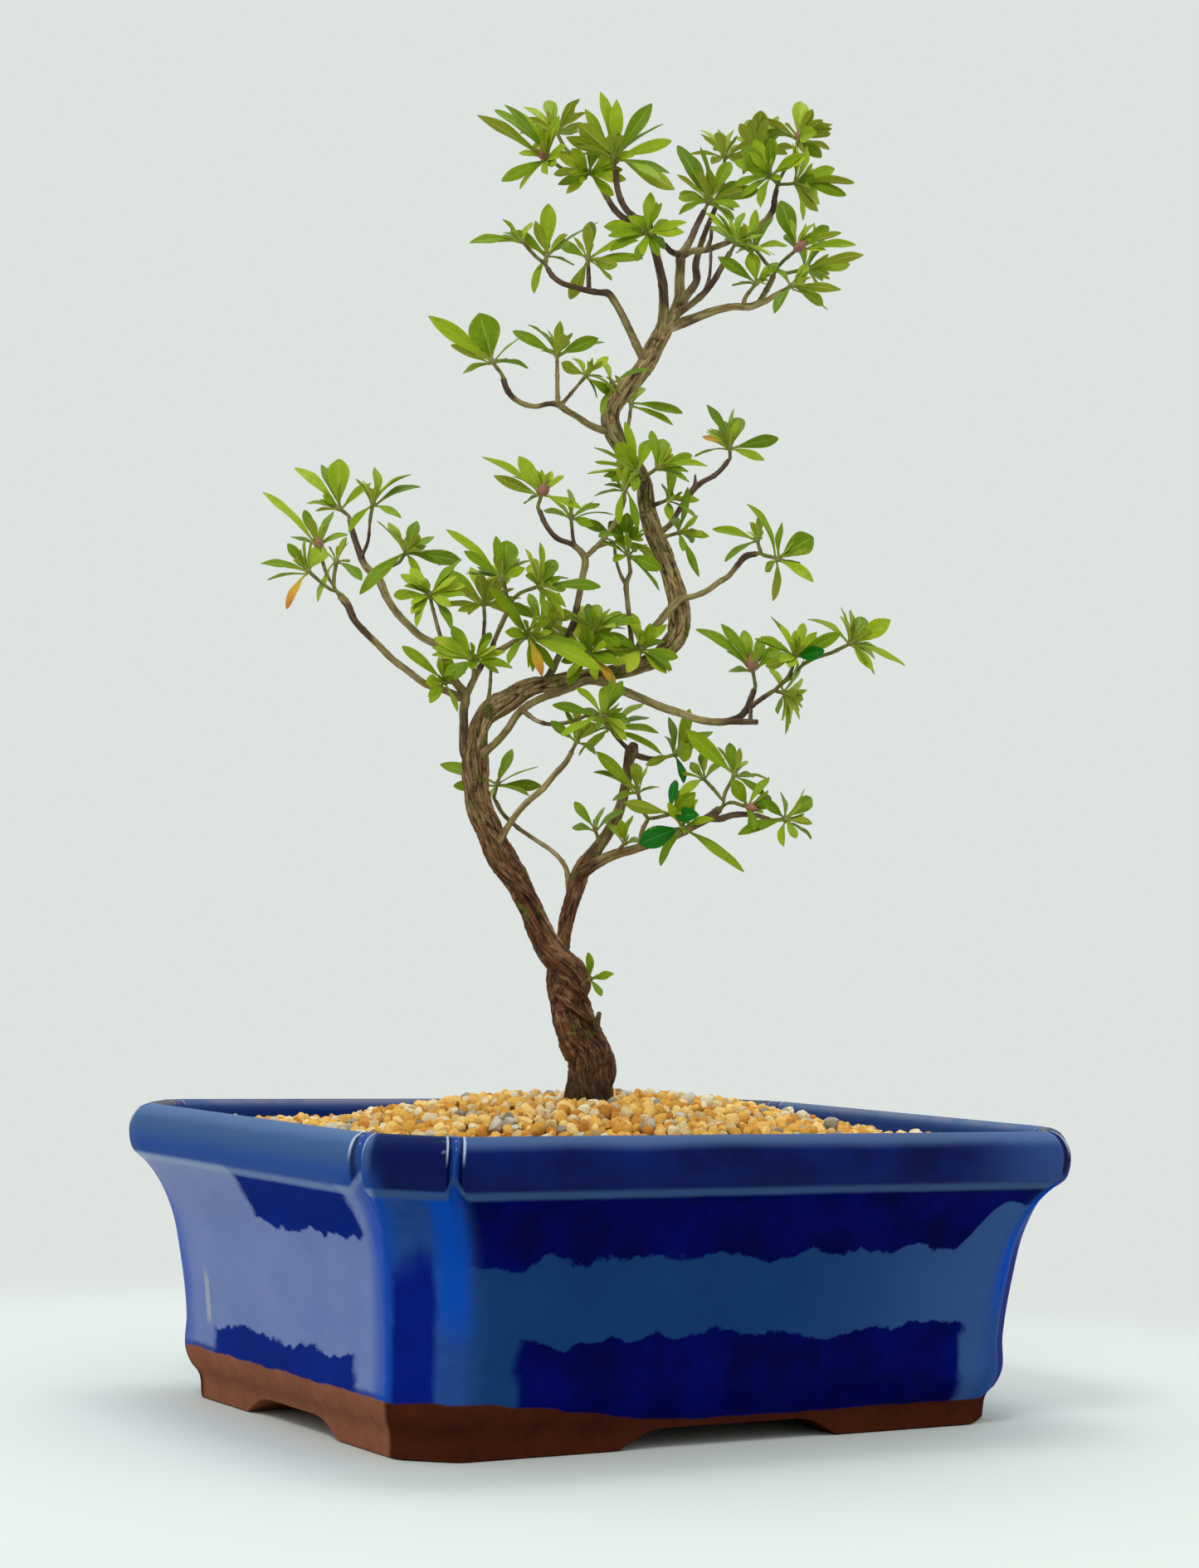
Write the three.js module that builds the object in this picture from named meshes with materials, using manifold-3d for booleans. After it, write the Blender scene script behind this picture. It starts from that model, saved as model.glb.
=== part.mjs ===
// A satsuki azalea grown as a bonsai: a twisted double trunk with leafy sprays, standing in gravel in a
// glazed stoneware pot with cut corners. Millimetres, +Z up, X along the pot's long side, and the
// origin at the middle of the pot's foot, on the surface that it stands on.
import * as THREE from 'three';
import { ConvexGeometry } from 'three/addons/geometries/ConvexGeometry.js';
import { mergeVertices } from 'three/addons/utils/BufferGeometryUtils.js';
import Module from 'manifold-3d';

const wasm = await Module();
wasm.setup();

// Driving dimensions of the pot
const potLength = 260;
const potWidth = 200;
const potHeight = 92.6;
const dentHalf = 3.4;
const dentTurn = Math.PI / 8;
const footInset = 23;
const archRise = 6;
const archHalfX = 40;
const archHalfY = 31;
const archSlant = 11;
const recessRise = 3.5;
const footRingWidth = 16;
const floorTop = 17;
const drainRadius = 10;
const drainOffset = 52;
const screenSize = 34;
const screenThick = 1.2;
const screenCells = 3;
const screenRim = 3;
const screenOpen = 0.56;
const seat = 0.3;
const cutMargin = 1;

// Driving dimensions of the soil and the gravel
const soilTop = 76;
const gravelEdge = 84;
const gravelMound = 97.2;
const gravelFoot = 93.8;
const moundMiddle = [2, 4];
const moundReach = [100, 72];
const moundPower = 1.9;
const hollowReach = 16;
const grainPitch = 18;
const grainShift = 0.34;
const grainRelief = 2.4;
const wallGap = 0.7;
const rootHole = 9.4;
const rootHoleSides = 14;
const rootDepth = 30;

// Driving dimensions of the tree. Its routes are laid out as seen from the tree's front by an eye at
// eyeDistance and eyeHeight: x to the right, z up from the trunk's foot, and w toward the eye.
const treeTurn = THREE.MathUtils.degToRad(-32.46);
const treeFoot = new THREE.Vector3(-4, 0, 96);
const eyeDistance = 968;
const eyeHeight = 47.4;
const trunkSides = 8;
const woodSmooth = 0.4;
const stemSides = 3;
const stemRadius = 0.6;
const budRadius = 1;
const budGrowth = 0.05;
const budClearance = 1.15;
const rootRadius = 0.5;
const rootClearance = 1.04;
const spreadRounds = 40;
const forkLength = 1;
const usualLeaf = 18;
const longLeaf = 21;
const narrowLeaf = 3;
const wideLeaf = 4.8;
const deepestLeaf = 11;
const leafThick = 0.75;
const leafGap = 0.3;
const ownGap = 0.02;
const leafSmooth = 0.08;
const fillLength = [11, 5];
const fillTurn = 2.4;
const attemptTurn = 0.47;
// How far a leaf's tip is moved toward the eye, in the order that is tried
const depthShifts = [0, 3, -3, 6, -6, 9, -9, 12, -12];
const spraySeed = 97;
const twigSeed = 31;
const fillSeed = 50;
// Along a leaf: how far from its root, and its share of the full width there
const shortStations = [[0.42, 0.9], [0.8, 0.8]];
const longStations = [[0.3, 0.7], [0.62, 1], [0.87, 0.66]];

const materials = {
  glaze: new THREE.MeshStandardMaterial({ color: 0x14247a, roughness: 0.12, metalness: 0 }),
  plastic: new THREE.MeshStandardMaterial({ color: 0x1d1d1b, roughness: 0.5, metalness: 0 }),
  soil: new THREE.MeshStandardMaterial({ color: 0x8a6a42, roughness: 0.95, metalness: 0 }),
  gravel: new THREE.MeshStandardMaterial({ color: 0xd9a95a, roughness: 0.9, metalness: 0 }),
  bark: new THREE.MeshStandardMaterial({ color: 0x7a6448, roughness: 0.85, metalness: 0 }),
  leaf: new THREE.MeshStandardMaterial({ color: 0x6f9418, roughness: 0.5, metalness: 0 }),
};

const v3 = (x, y, z) => new THREE.Vector3(x, y, z);

// A repeatable draw from 0 to 1 for two whole numbers
function draw(a, b) {
  const s = Math.sin(a * 12.9898 + b * 78.233 + 4.1) * 43758.5453;
  return s - Math.floor(s);
}

// A solid for cutting and joining, from points and triangles
function solidOf(points, triangles) {
  const geometry = new THREE.BufferGeometry();
  const places = points.flatMap((p) => p.toArray());
  geometry.setAttribute('position', new THREE.Float32BufferAttribute(places, 3));
  geometry.setIndex(triangles.flat());
  return solidOfGeometry(geometry);
}

function solidOfGeometry(source) {
  const bare = source.clone();
  bare.deleteAttribute('normal');
  bare.deleteAttribute('uv');
  const merged = mergeVertices(bare, 1e-4);
  const mesh = new wasm.Mesh({
    numProp: 3,
    vertProperties: new Float32Array(merged.attributes.position.array),
    triVerts: new Uint32Array(merged.index.array),
  });
  return new wasm.Manifold(mesh);
}

function geometryOf(solid) {
  const mesh = solid.getMesh();
  const geometry = new THREE.BufferGeometry();
  geometry.setAttribute('position', new THREE.BufferAttribute(new Float32Array(mesh.vertProperties), 3));
  geometry.setIndex(new THREE.BufferAttribute(new Uint32Array(mesh.triVerts), 1));
  geometry.computeVertexNormals();
  return geometry;
}

const join = (solids) => wasm.Manifold.union(solids);

// Keeps the outer body alone: scraps and sealed hollows are dropped
function oneBody(solid) {
  const bodies = solid.decompose();
  bodies.sort((a, b) => b.volume() - a.volume());
  return bodies[0];
}

// Rings of equally many points are skinned in turn. Each end gets a cap that fans from its own point, if
// there is one, or else from the ring's first point.
function skin(rings, startPoint, endPoint) {
  const n = rings[0].length;
  const points = rings.flat();
  const triangles = [];
  for (let i = 0; i < rings.length - 1; i += 1) {
    const a = i * n;
    const b = a + n;
    for (let j = 0; j < n; j += 1) {
      const k = (j + 1) % n;
      triangles.push([a + j, a + k, b + k], [a + j, b + k, b + j]);
    }
  }
  const last = (rings.length - 1) * n;
  for (const [tip, base, flip] of [[startPoint, 0, true], [endPoint, last, false]]) {
    if (tip) points.push(tip);
    const hub = tip ? points.length - 1 : base;
    for (let j = tip ? 0 : 1; j < (tip ? n : n - 1); j += 1) {
      const a = base + j;
      const b = base + ((j + 1) % n);
      triangles.push(flip ? [hub, b, a] : [hub, a, b]);
    }
  }
  return { points, triangles };
}

function loft(rings, startPoint = null, endPoint = null) {
  const { points, triangles } = skin(rings, startPoint, endPoint);
  return solidOf(points, triangles);
}

// The pot's plan at one level: a rectangle with its corners cut off and a dent at both ends of each cut.
// A level holds its height, how far it lies inside the lip, the cut's two legs, and how deep the dents are.
function planAt([z, inset, cutX, cutY, dent]) {
  const hx = potLength / 2 - inset;
  const hy = potWidth / 2 - inset;
  const inward = dent * Math.cos(dentTurn);
  const sideways = dent * Math.sin(dentTurn);
  const ring = [];
  const corner = (sx, sy) => {
    const a = v3(sx * hx, sy * (hy - cutY), z);
    const b = v3(sx * (hx - cutX), sy * hy, z);
    const points = [
      a.clone().add(v3(0, -sy * dentHalf, 0)),
      a.clone().add(v3(-sx * inward, -sy * sideways, 0)),
      stepFrom(a, b, dentHalf),
      stepFrom(b, a, dentHalf),
      b.clone().add(v3(-sx * sideways, -sy * inward, 0)),
      b.clone().add(v3(-sx * dentHalf, 0, 0)),
    ];
    return sx * sy > 0 ? points : points.reverse();
  };
  ring.push(...corner(1, 1), ...corner(-1, 1), ...corner(-1, -1), ...corner(1, -1));
  return ring;
}

function stepFrom(from, toward, length) {
  return from.clone().add(toward.clone().sub(from).setLength(length));
}

// The pot's section as levels, from the foot up outside to the lip's top, and from there down inside
const outside = [
  [0, footInset, 14, 12, 0], [8.6, footInset - 1, 14, 12, 0], [10.4, footInset - 2.6, 14.4, 12.4, 0.1],
  [14, 18.9, 14.8, 12.6, 0.2], [26, 18.4, 15.2, 13, 0.3], [45, 16, 16.4, 14, 0.5],
  [60, 12.6, 17.6, 16, 0.9], [69, 8.4, 18.4, 18.8, 1.6], [75, 3.9, 19, 21.4, 3],
  [77.4, 1.3, 19.3, 22.8, 3.8], [82, 0, 19.5, 23.5, 3.6], [87.6, 0.3, 19.5, 23.5, 2.8],
  [91.2, 2.5, 18.6, 22.4, 2.2], [potHeight, 5.6, 17, 20.6, 1.6],
];
const inside = [
  [90.8, 9.2, 15, 18.4, 0], [82, 11.2, 14, 17.4, 0], [64, 20.4, 12, 13, 0], [40, 25.6, 11, 10, 0],
  [24, 28, 10, 8.6, 0], [floorTop, 33, 9, 7.6, 0],
];

// The level of the pot's inside at a height, moved in from the wall by the fill's gap
function insideAt(z) {
  const lower = Math.max(1, inside.findIndex((level) => level[0] <= z));
  const [above, below] = [inside[lower - 1], inside[lower]];
  const share = Math.min(1, (z - below[0]) / (above[0] - below[0]));
  const [, inset, cutX, cutY, dent] = below.map((value, k) => value + (above[k] - value) * share);
  return [z, inset + wallGap, cutX, cutY, dent];
}

function slab(corners, z0, z1) {
  const shape = new THREE.Shape(corners.map(([x, y]) => new THREE.Vector2(x, y)));
  const geometry = new THREE.ExtrudeGeometry(shape, { depth: z1 - z0, bevelEnabled: false });
  return solidOfGeometry(geometry.translate(0, 0, z0));
}

// An arch cut right through the foot along Y, with slanted ends
function archCut(halfWidth, reach) {
  const top = halfWidth - archSlant;
  const low = halfWidth + (archSlant * cutMargin) / archRise;
  const corners = [[-low, -cutMargin], [low, -cutMargin], [top, archRise], [-top, archRise]];
  const profile = new THREE.Shape(corners.map(([x, y]) => new THREE.Vector2(x, y)));
  const geometry = new THREE.ExtrudeGeometry(profile, { depth: 2 * reach, bevelEnabled: false });
  geometry.rotateX(Math.PI / 2).translate(0, reach, 0);
  return geometry;
}

function upright(radius, z0, z1, x, y, sides = 16) {
  const geometry = new THREE.CylinderGeometry(radius, radius, z1 - z0, sides);
  geometry.rotateX(Math.PI / 2).translate(x, y, (z0 + z1) / 2);
  return solidOfGeometry(geometry);
}

function makePot() {
  const body = loft([...outside, ...inside].map(planAt), v3(0, 0, 0), v3(0, 0, floorTop));
  const ringX = potLength / 2 - footInset - footRingWidth;
  const ringY = potWidth / 2 - footInset - footRingWidth;
  const recessPlan = [[-ringX, -ringY], [ringX, -ringY], [ringX, ringY], [-ringX, ringY]];
  const recess = slab(recessPlan, -cutMargin, recessRise);
  const alongY = solidOfGeometry(archCut(archHalfX, potWidth));
  const alongX = solidOfGeometry(archCut(archHalfY, potLength).rotateZ(Math.PI / 2));
  const drains = [-1, 1].map((side) => upright(drainRadius, -cutMargin, floorTop + cutMargin,
    side * drainOffset, 0));
  return body.subtract(join([recess, alongY, alongX, ...drains]));
}

// A square plastic screen over a drain hole, with a grid of plain square openings
function makeScreen(side) {
  const half = screenSize / 2;
  const x = side * drainOffset;
  const plate = slab([[x - half, -half], [x + half, -half], [x + half, half], [x - half, half]],
    floorTop + seat, floorTop + seat + screenThick);
  const pitch = (screenSize - 2 * screenRim) / screenCells;
  const opening = (pitch * screenOpen) / 2;
  const cuts = [];
  for (let i = 0; i < screenCells; i += 1) {
    for (let j = 0; j < screenCells; j += 1) {
      const cx = x + (i - (screenCells - 1) / 2) * pitch;
      const cy = (j - (screenCells - 1) / 2) * pitch;
      cuts.push(slab([[cx - opening, cy - opening], [cx + opening, cy - opening],
        [cx + opening, cy + opening], [cx - opening, cy + opening]],
      floorTop, floorTop + seat + screenThick + cutMargin));
    }
  }
  return plate.subtract(join(cuts));
}

// The space inside the pot between two heights, a little clear of its wall. It is skinned downwards, as
// the wall is, so that both split their faces alike, and then turned right side out.
function potFill(top, bottom) {
  const between = inside.map(([z]) => z).filter((z) => z < top && z > bottom);
  const rings = [top, ...between, bottom].map(insideAt).map(planAt);
  const { points, triangles } = skin(rings, v3(0, 0, top), v3(0, 0, bottom));
  return solidOf(points, triangles.map(([a, b, c]) => [a, c, b]));
}

// The round hole that the tree's root stands in
function rootHoleCut(bottom, top) {
  return upright(rootHole, bottom, top, treeFoot.x, treeFoot.y, rootHoleSides);
}

function makeSoil() {
  const fill = potFill(soilTop, floorTop + 2 * seat + screenThick);
  return fill.subtract(rootHoleCut(treeFoot.z - rootDepth - seat, soilTop + cutMargin));
}

// Height of the gravel: a mound round the trunk that runs down to the walls
function gravelHeight(x, y) {
  const far = Math.hypot((x - moundMiddle[0]) / moundReach[0], (y - moundMiddle[1]) / moundReach[1]);
  const slope = 1 - Math.min(1, far) ** moundPower;
  const fromTrunk = Math.hypot(x - treeFoot.x, y - treeFoot.y) / hollowReach;
  const hollow = (gravelMound - gravelFoot) * Math.exp(-fromTrunk * fromTrunk);
  return gravelEdge + (gravelMound - gravelEdge - hollow) * slope;
}

// The gravel is one layer with its grains raised from its top: a hexagonal net of valleys round peaks
function makeGravel() {
  const rowPitch = (grainPitch * Math.sqrt(3)) / 2;
  const rows = Math.ceil(potWidth / 2 / rowPitch);
  const columns = Math.ceil(potLength / 2 / grainPitch) + 1;
  const points = [];
  const index = new Map();
  const corner = (i, j, kind) => {
    const key = `${i}:${j}:${kind}`;
    if (!index.has(key)) {
      const x = (i + (Math.abs(j) % 2) * 0.5 + (kind ? 0.5 : 0)) * grainPitch;
      const y = (j + (kind ? (kind > 0 ? 1 / 3 : -1 / 3) : 0)) * rowPitch;
      const seed = i * 131 + j * 17 + kind * 7;
      const px = x + (draw(seed, 1) - 0.5) * grainPitch * grainShift;
      const py = y + (draw(seed, 2) - 0.5) * grainPitch * grainShift;
      const peak = grainRelief * (0.3 + 0.7 * draw(seed, 4));
      const valley = -grainRelief * (0.35 + 0.3 * draw(seed, 3));
      const rise = kind ? valley : peak;
      index.set(key, points.length);
      points.push(v3(px, py, gravelHeight(px, py) + rise));
    }
    return index.get(key);
  };
  const triangles = [];
  for (let j = -rows; j < rows; j += 1) {
    for (let i = -columns; i < columns; i += 1) {
      const odd = Math.abs(j) % 2;
      const a = corner(i, j, 0);
      const b = corner(i + 1, j, 0);
      const c = corner(i + (odd ? 1 : 0), j + 1, 0);
      const d = corner(i + 1 + (odd ? 1 : 0), j + 1, 0);
      const low = corner(i, j, 1);
      triangles.push([a, b, low], [b, c, low], [c, a, low]);
      const high = corner(i + (odd ? 1 : 0), j + 1, -1);
      triangles.push([c, high, d], [d, high, b], [b, high, c]);
    }
  }
  const heap = closeBelow(points, triangles, soilTop - cutMargin);
  const above = gravelMound + 2 * grainRelief;
  const fill = potFill(above, soilTop + seat);
  return oneBody(heap.intersect(fill).subtract(rootHoleCut(soilTop, above + cutMargin)));
}

// Closes a height field with a skirt and a flat floor
function closeBelow(points, triangles, floor) {
  const edges = new Map();
  for (const [a, b, c] of triangles) {
    for (const [p, q] of [[a, b], [b, c], [c, a]]) {
      if (edges.has(`${q}:${p}`)) edges.delete(`${q}:${p}`);
      else edges.set(`${p}:${q}`, [p, q]);
    }
  }
  const all = points.slice();
  const below = new Map();
  const under = (k) => {
    if (!below.has(k)) {
      below.set(k, all.length);
      all.push(v3(points[k].x, points[k].y, floor));
    }
    return below.get(k);
  };
  const faces = triangles.slice();
  const hub = all.length;
  all.push(v3(0, 0, floor));
  for (const [p, q] of edges.values()) {
    const lowP = under(p);
    const lowQ = under(q);
    faces.push([q, p, lowP], [q, lowP, lowQ], [hub, lowQ, lowP]);
  }
  return solidOf(all, faces);
}

// From as-seen x, z and w to the tree's own frame, whose y runs away from the eye
function place([x, z, w]) {
  const k = 1 - w / eyeDistance;
  return v3(x * k, -w, eyeHeight + (z - eyeHeight) * k);
}

// How far out of round thick wood is, by the angle round it and the number of the ring
const unround = (angle, i) => 1 + 0.055 * Math.sin(2 * angle + i * 0.55)
  + 0.035 * Math.sin(3 * angle - i * 0.8);

// A tube with flat ends through the centres, with a radius for each
function tube(centres, radii, sides) {
  const rings = [];
  let across = null;
  for (let i = 0; i < centres.length; i += 1) {
    const before = centres[Math.max(0, i - 1)];
    const after = centres[Math.min(centres.length - 1, i + 1)];
    const along = after.clone().sub(before).normalize();
    if (!across) across = Math.abs(along.y) < 0.9 ? v3(0, 1, 0) : v3(1, 0, 0);
    across = across.clone().addScaledVector(along, -across.dot(along)).normalize();
    const third = along.clone().cross(across);
    const ring = [];
    for (let j = 0; j < sides; j += 1) {
      const angle = (2 * Math.PI * j) / sides;
      const radius = radii[i] * (sides >= trunkSides ? unround(angle, i) : 1);
      ring.push(centres[i].clone()
        .addScaledVector(across, Math.cos(angle) * radius)
        .addScaledVector(third, Math.sin(angle) * radius));
    }
    rings.push(ring);
  }
  return { solid: loft(rings), lastRing: rings.at(-1) };
}

// A branch along listed points [x, z, w, radius]
const branch = ([sides, points]) => tube(points.map(place), points.map((point) => point[3]), sides).solid;

// The wood: each route is [sides, points]. The named ones end where a leafy spray begins.
const wood = {
  trunk: [8, [[0, -rootDepth, 0, 6], [0, -14, 0, 7.8], [0, -4, 0, 8.1], [0, 2, 0, 7.2], [-0.2, 8, 0, 7.3],
    [-0.7, 15, 0, 7.3], [-3.7, 20, 0, 7], [-6, 25, 1, 6.7], [-7.4, 30, 1, 6.3], [-7.6, 34.5, 2, 5.7],
    [-5.8, 38.5, 4, 4.9], [-7.6, 41.8, 5, 4.7], [-10.8, 45, 5, 4.6], [-15, 50, 4, 4.3],
    [-17.6, 55, 4, 4.2], [-20, 60, 4, 4], [-22.7, 65, 4, 3.9], [-25, 70, 4, 4.3], [-28.7, 75, 4, 4.7],
    [-32, 80, 4, 4.6], [-34.4, 85, 4, 4.4], [-36.9, 90, 5, 4.2], [-38.7, 95, 5, 4], [-39.6, 100, 5, 4],
    [-39.9, 105, 5, 4.1], [-40, 110, 5, 4], [-39.6, 115, 4, 3.2], [-39.1, 120, 4, 3.1],
    [-37, 124, 4, 3.5], [-33.5, 126.8, 4, 3.8], [-29.5, 129, 4, 3.7], [-26, 131.7, 4, 3.3],
    [-22, 133.5, 4, 3], [-16.6, 134.8, 3, 2.8], [-11.3, 136, 2, 2.7], [-6, 137, 1, 2.6],
    [0.4, 138, 0, 2.5], [6, 139.3, -1, 2.5], [11.5, 141, -2, 2.6], [16.3, 143, -3, 2.7],
    [20.4, 147, -3, 3], [23.4, 151, -3, 3.3], [24, 155, -3, 3.5], [23.9, 160, -4, 3.3],
    [22.9, 165, -4, 3.1], [21.3, 170, -5, 2.9], [19.5, 175, -6, 2.8], [17.3, 180, -6, 3],
    [15, 185.3, -6, 3.2], [13.2, 190, -5, 3], [12.4, 195, -4, 2.8], [11.6, 200, -3, 2.7],
    [9.5, 204.5, -2, 2.6], [6.4, 208.3, -1, 2.6], [3.5, 212.4, 0, 2.8], [1.5, 216.2, 1, 3],
    [0.1, 220, 2, 3.1], [0.4, 224.3, 3, 3.1], [3.2, 228.8, 3, 3], [7.3, 233.8, 2, 2.9],
    [11.3, 239.5, 1, 2.9], [14, 245.4, 0, 2.9], [16.4, 250, 0, 2.9], [18.6, 253.8, 0, 2.5],
    [20.6, 257.5, -1, 2], [21.6, 262, -2, 1.8], [21.3, 266.4, -3, 1.6], [21.5, 271.8, -4, 1.5],
    [21.2, 276.4, -4, 1.5]]],
  rootLeft: [4, [[0, 12, 1, 4.6], [-4.2, 3, 2.6, 3.4], [-5, -3, 3.2, 2.6], [-5.2, -12, 3.2, 1.4]]],
  rootRight: [4, [[0, 12, -1, 4.4], [4.2, 3, -2.4, 3.4], [5, -3, -3.2, 2.6], [5.2, -12, -3.2, 1.4]]],
  second: [5, [[-8.6, 31, -1, 4.6], [-11.2, 36, -3, 3.9], [-12.2, 41, -5, 3.4], [-10.9, 47, -7, 2.8],
    [-9.8, 55, -8, 2.5], [-9, 60, -8, 2.6], [-7.7, 65, -8, 2.7], [-6.4, 70, -9, 2.9],
    [-4.4, 75.5, -9, 2.7], [0.3, 82.5, -10, 2], [4, 88.5, -11, 1.85], [6.5, 94, -12, 1.8],
    [8, 100, -13, 1.7], [8.9, 105.7, -14, 1.7], [9.3, 110.4, -14, 1.8], [10.3, 114, -14, 2.1],
    [10.9, 116, -14, 1.2]]],
  lowTwig: [3, [[1, 24, 4, 1.2], [2, 29, 9, 0.8]]],
  lowRight: [4, [[-5, 74, -8, 2.2], [0, 77.2, -6, 1.9], [5.2, 79.9, -3, 1.7], [10.6, 81.5, 0, 1.5],
    [14.3, 82.8, 2, 1.4], [20, 84.6, 5, 1.35], [25.9, 87.1, 8, 1.3], [31.7, 90.5, 11, 1.3],
    [35.9, 93.1, 13, 1.4], [38.6, 95.4, 15, 1.3]]],
  lowRightEnd: [3, [[35.2, 92.6, 12.8, 1.2], [38.8, 92.4, 15.6, 1.1], [43.3, 93.8, 18.4, 1],
    [50.8, 93.8, 22, 0.8], [54.6, 92.8, 24, 0.75]]],
  leftUpper: [4, [[-40.3, 106, 4, 2.6], [-43.6, 112, 1, 1.8], [-44.2, 120, 0, 1.5], [-44.4, 125, 0, 1.5],
    [-44, 130, 0, 1.5], [-46.8, 133.4, 0, 1.4], [-49.6, 137.4, -1, 1.3], [-51, 142.2, -2, 1.3],
    [-51.6, 145.6, -3, 1.3], [-54.4, 146.4, -4, 1.2], [-58.7, 148.3, -6, 1.2], [-63, 152, -8, 1.2],
    [-67, 156, -10, 1.2], [-70.4, 161, -12, 1.25], [-73, 166.4, -14, 1.4], [-77.7, 171, -16, 1.2],
    [-80, 176, -18, 1.1], [-81.8, 181, -19, 1], [-83.2, 185.8, -20, 0.9]]],
  leftInner: [3, [[-43.9, 129.5, 0, 1.2], [-40, 138, 3, 1], [-37, 143, 5, 0.95], [-33, 145, 7, 0.95],
    [-28.6, 147.8, 9, 0.9]]],
  leftThin: [3, [[-37, 125, 3, 0.9], [-36.2, 132, 1, 0.6], [-36, 140, -1, 0.5]]],
  lowLeft: [4, [[-45.5, 129, 0, 1.4], [-50, 131, 3, 1.2], [-57, 133.2, 8, 1.15], [-62.5, 137, 12, 1.1],
    [-68, 141, 16, 1.1], [-72.5, 145.3, 19, 1.1], [-77, 149.4, 22, 1.1], [-80.4, 153, 24, 1.1],
    [-83.4, 158.8, 27, 1.25], [-85.4, 161, 28, 1.2]]],
  branchA: [3, [[-32, 82, 6, 1.6], [-29.6, 87, 8, 1.1], [-24, 95, 12, 1], [-17.7, 101, 16, 1],
    [-14.6, 105, 18, 0.95], [-10.5, 110, 21, 0.9], [-9.3, 112.6, 22, 0.8]]],
  branchB: [3, [[-8.6, 68, -10, 1.2], [-10.2, 75.6, -14, 0.8], [-14, 80, -18, 0.75],
    [-19.3, 83.5, -22, 0.75], [-27, 88.6, -26, 0.7], [-31.3, 92.7, -28, 0.7], [-33.2, 96, -29, 0.7]]],
  branchD: [4, [[-39, 109, 6, 2], [-36.8, 112, 8, 1.4], [-33.6, 115, 10, 1.2], [-30, 119.4, 10, 1.2],
    [-27, 124.3, 10, 1.2], [-22.8, 127.8, 9, 1.2], [-18.6, 130, 8, 1.2], [-14.3, 131.5, 7, 1.2],
    [-10, 133.4, 6, 1.3], [-5, 135.6, 5, 1.3], [-0.5, 135.4, 5, 1.4], [4, 134, 6, 1.4],
    [8.2, 132.2, 7, 1.4], [13, 130.4, 8, 1.35], [20, 127.6, 9, 1.3], [25.4, 126.1, 10, 1.25],
    [30.8, 124.3, 10, 1.2], [36.2, 123.6, 10, 1.2], [41.5, 124.1, 9, 1.15], [44.7, 125.6, 8, 1.1],
    [46.7, 128, 7, 1.05], [47.8, 131, 5, 1], [48.9, 134.2, 4, 0.95]]],
  stubD: [3, [[40.5, 123.8, 9, 1], [45, 123.9, 12, 1], [50.3, 123.9, 14, 0.9]]],
  spurD: [3, [[47.9, 123.9, 13, 0.8], [48, 127.6, 10, 0.6], [47.8, 131, 6, 0.6]]],
  innerD: [3, [[-25.4, 125.4, 10, 0.9], [-20.5, 122.2, 14, 0.7], [-16.5, 121.3, 17, 0.65],
    [-9.5, 122.5, 21, 0.6], [-4.4, 124.6, 24, 0.55]]],
  rightShoot: [3, [[47.4, 128.4, 7, 0.9], [52.1, 132, 11, 0.75], [54.4, 133.6, 13, 0.75]]],
  branchH: [4, [[-20, 132.5, 3, 1.8], [-17.2, 137, 4, 1.3], [-15.3, 141, 5, 1.15], [-12.7, 147, 7, 1.1],
    [-10, 154, 9, 1.1], [-8.6, 161.5, 11, 1.05], [-7.6, 168, 12, 1.05], [-7, 175.8, 13, 1.15],
    [-10.7, 179.5, 14, 0.9], [-16, 181.6, 16, 0.85], [-20, 186.3, 17, 0.8], [-21.9, 190.4, 18, 0.8]]],
  twigK: [3, [[-10, 178.8, 14, 0.7], [-10.9, 182, 16, 0.6], [-11.2, 184.6, 17, 0.55]]],
  twigV: [3, [[-7.2, 175, 13, 0.9], [-1.3, 181.4, 15, 0.75], [2.6, 187.4, 17, 0.7], [4.3, 190.8, 18, 0.7],
    [5, 193, 18, 0.65]]],
  twigV2: [3, [[-6.8, 175.4, 13, 0.8], [-3.6, 178.6, 11, 0.6], [-0.5, 180, 10, 0.6],
    [2.6, 180.8, 9, 0.6]]],
  branchI: [3, [[8.6, 139.5, -1, 1.1], [9, 147.5, 3, 0.9], [8.3, 154.5, 6, 0.8], [7.3, 162, 7, 0.8],
    [6.8, 167.5, 8, 0.85], [8, 171.6, 10, 0.65], [7.7, 173.6, 11, 0.6]]],
  forkI: [3, [[6.8, 166.8, 8, 0.7], [4.6, 171, 8, 0.55], [3.3, 175, 8, 0.5], [2.5, 180.6, 9, 0.5]]],
  branchJ: [4, [[10, 142, 0, 1.5], [13, 150, 3, 1.3], [17.5, 155, 4, 1.3], [21.4, 160, 3, 1.3],
    [24.5, 163, 1, 1.1], [28.2, 163.9, 2, 0.95], [33, 166, 5, 0.95], [36.7, 168.9, 8, 0.9],
    [39.4, 170.6, 10, 0.9], [42.5, 174.5, 13, 0.9], [45.3, 177.6, 16, 1.1], [48.6, 178.4, 18, 0.8]]],
  spurK: [3, [[-2.4, 136.6, 1, 1], [-2.4, 141.5, 6, 0.7]]],
  spurK3: [3, [[10.8, 139.8, -1, 1], [11.6, 144, 5, 0.7]]],
  stemF: [3, [[-36.8, 142.6, 5, 0.8], [-34.4, 150, 11, 0.8], [-31.6, 156.6, 15, 0.85],
    [-30.7, 158.8, 16, 0.8]]],
  stemF3: [3, [[-38, 141.4, 4, 0.7], [-38.7, 148, 0, 0.6], [-38.6, 154, -4, 0.6]]],
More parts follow.
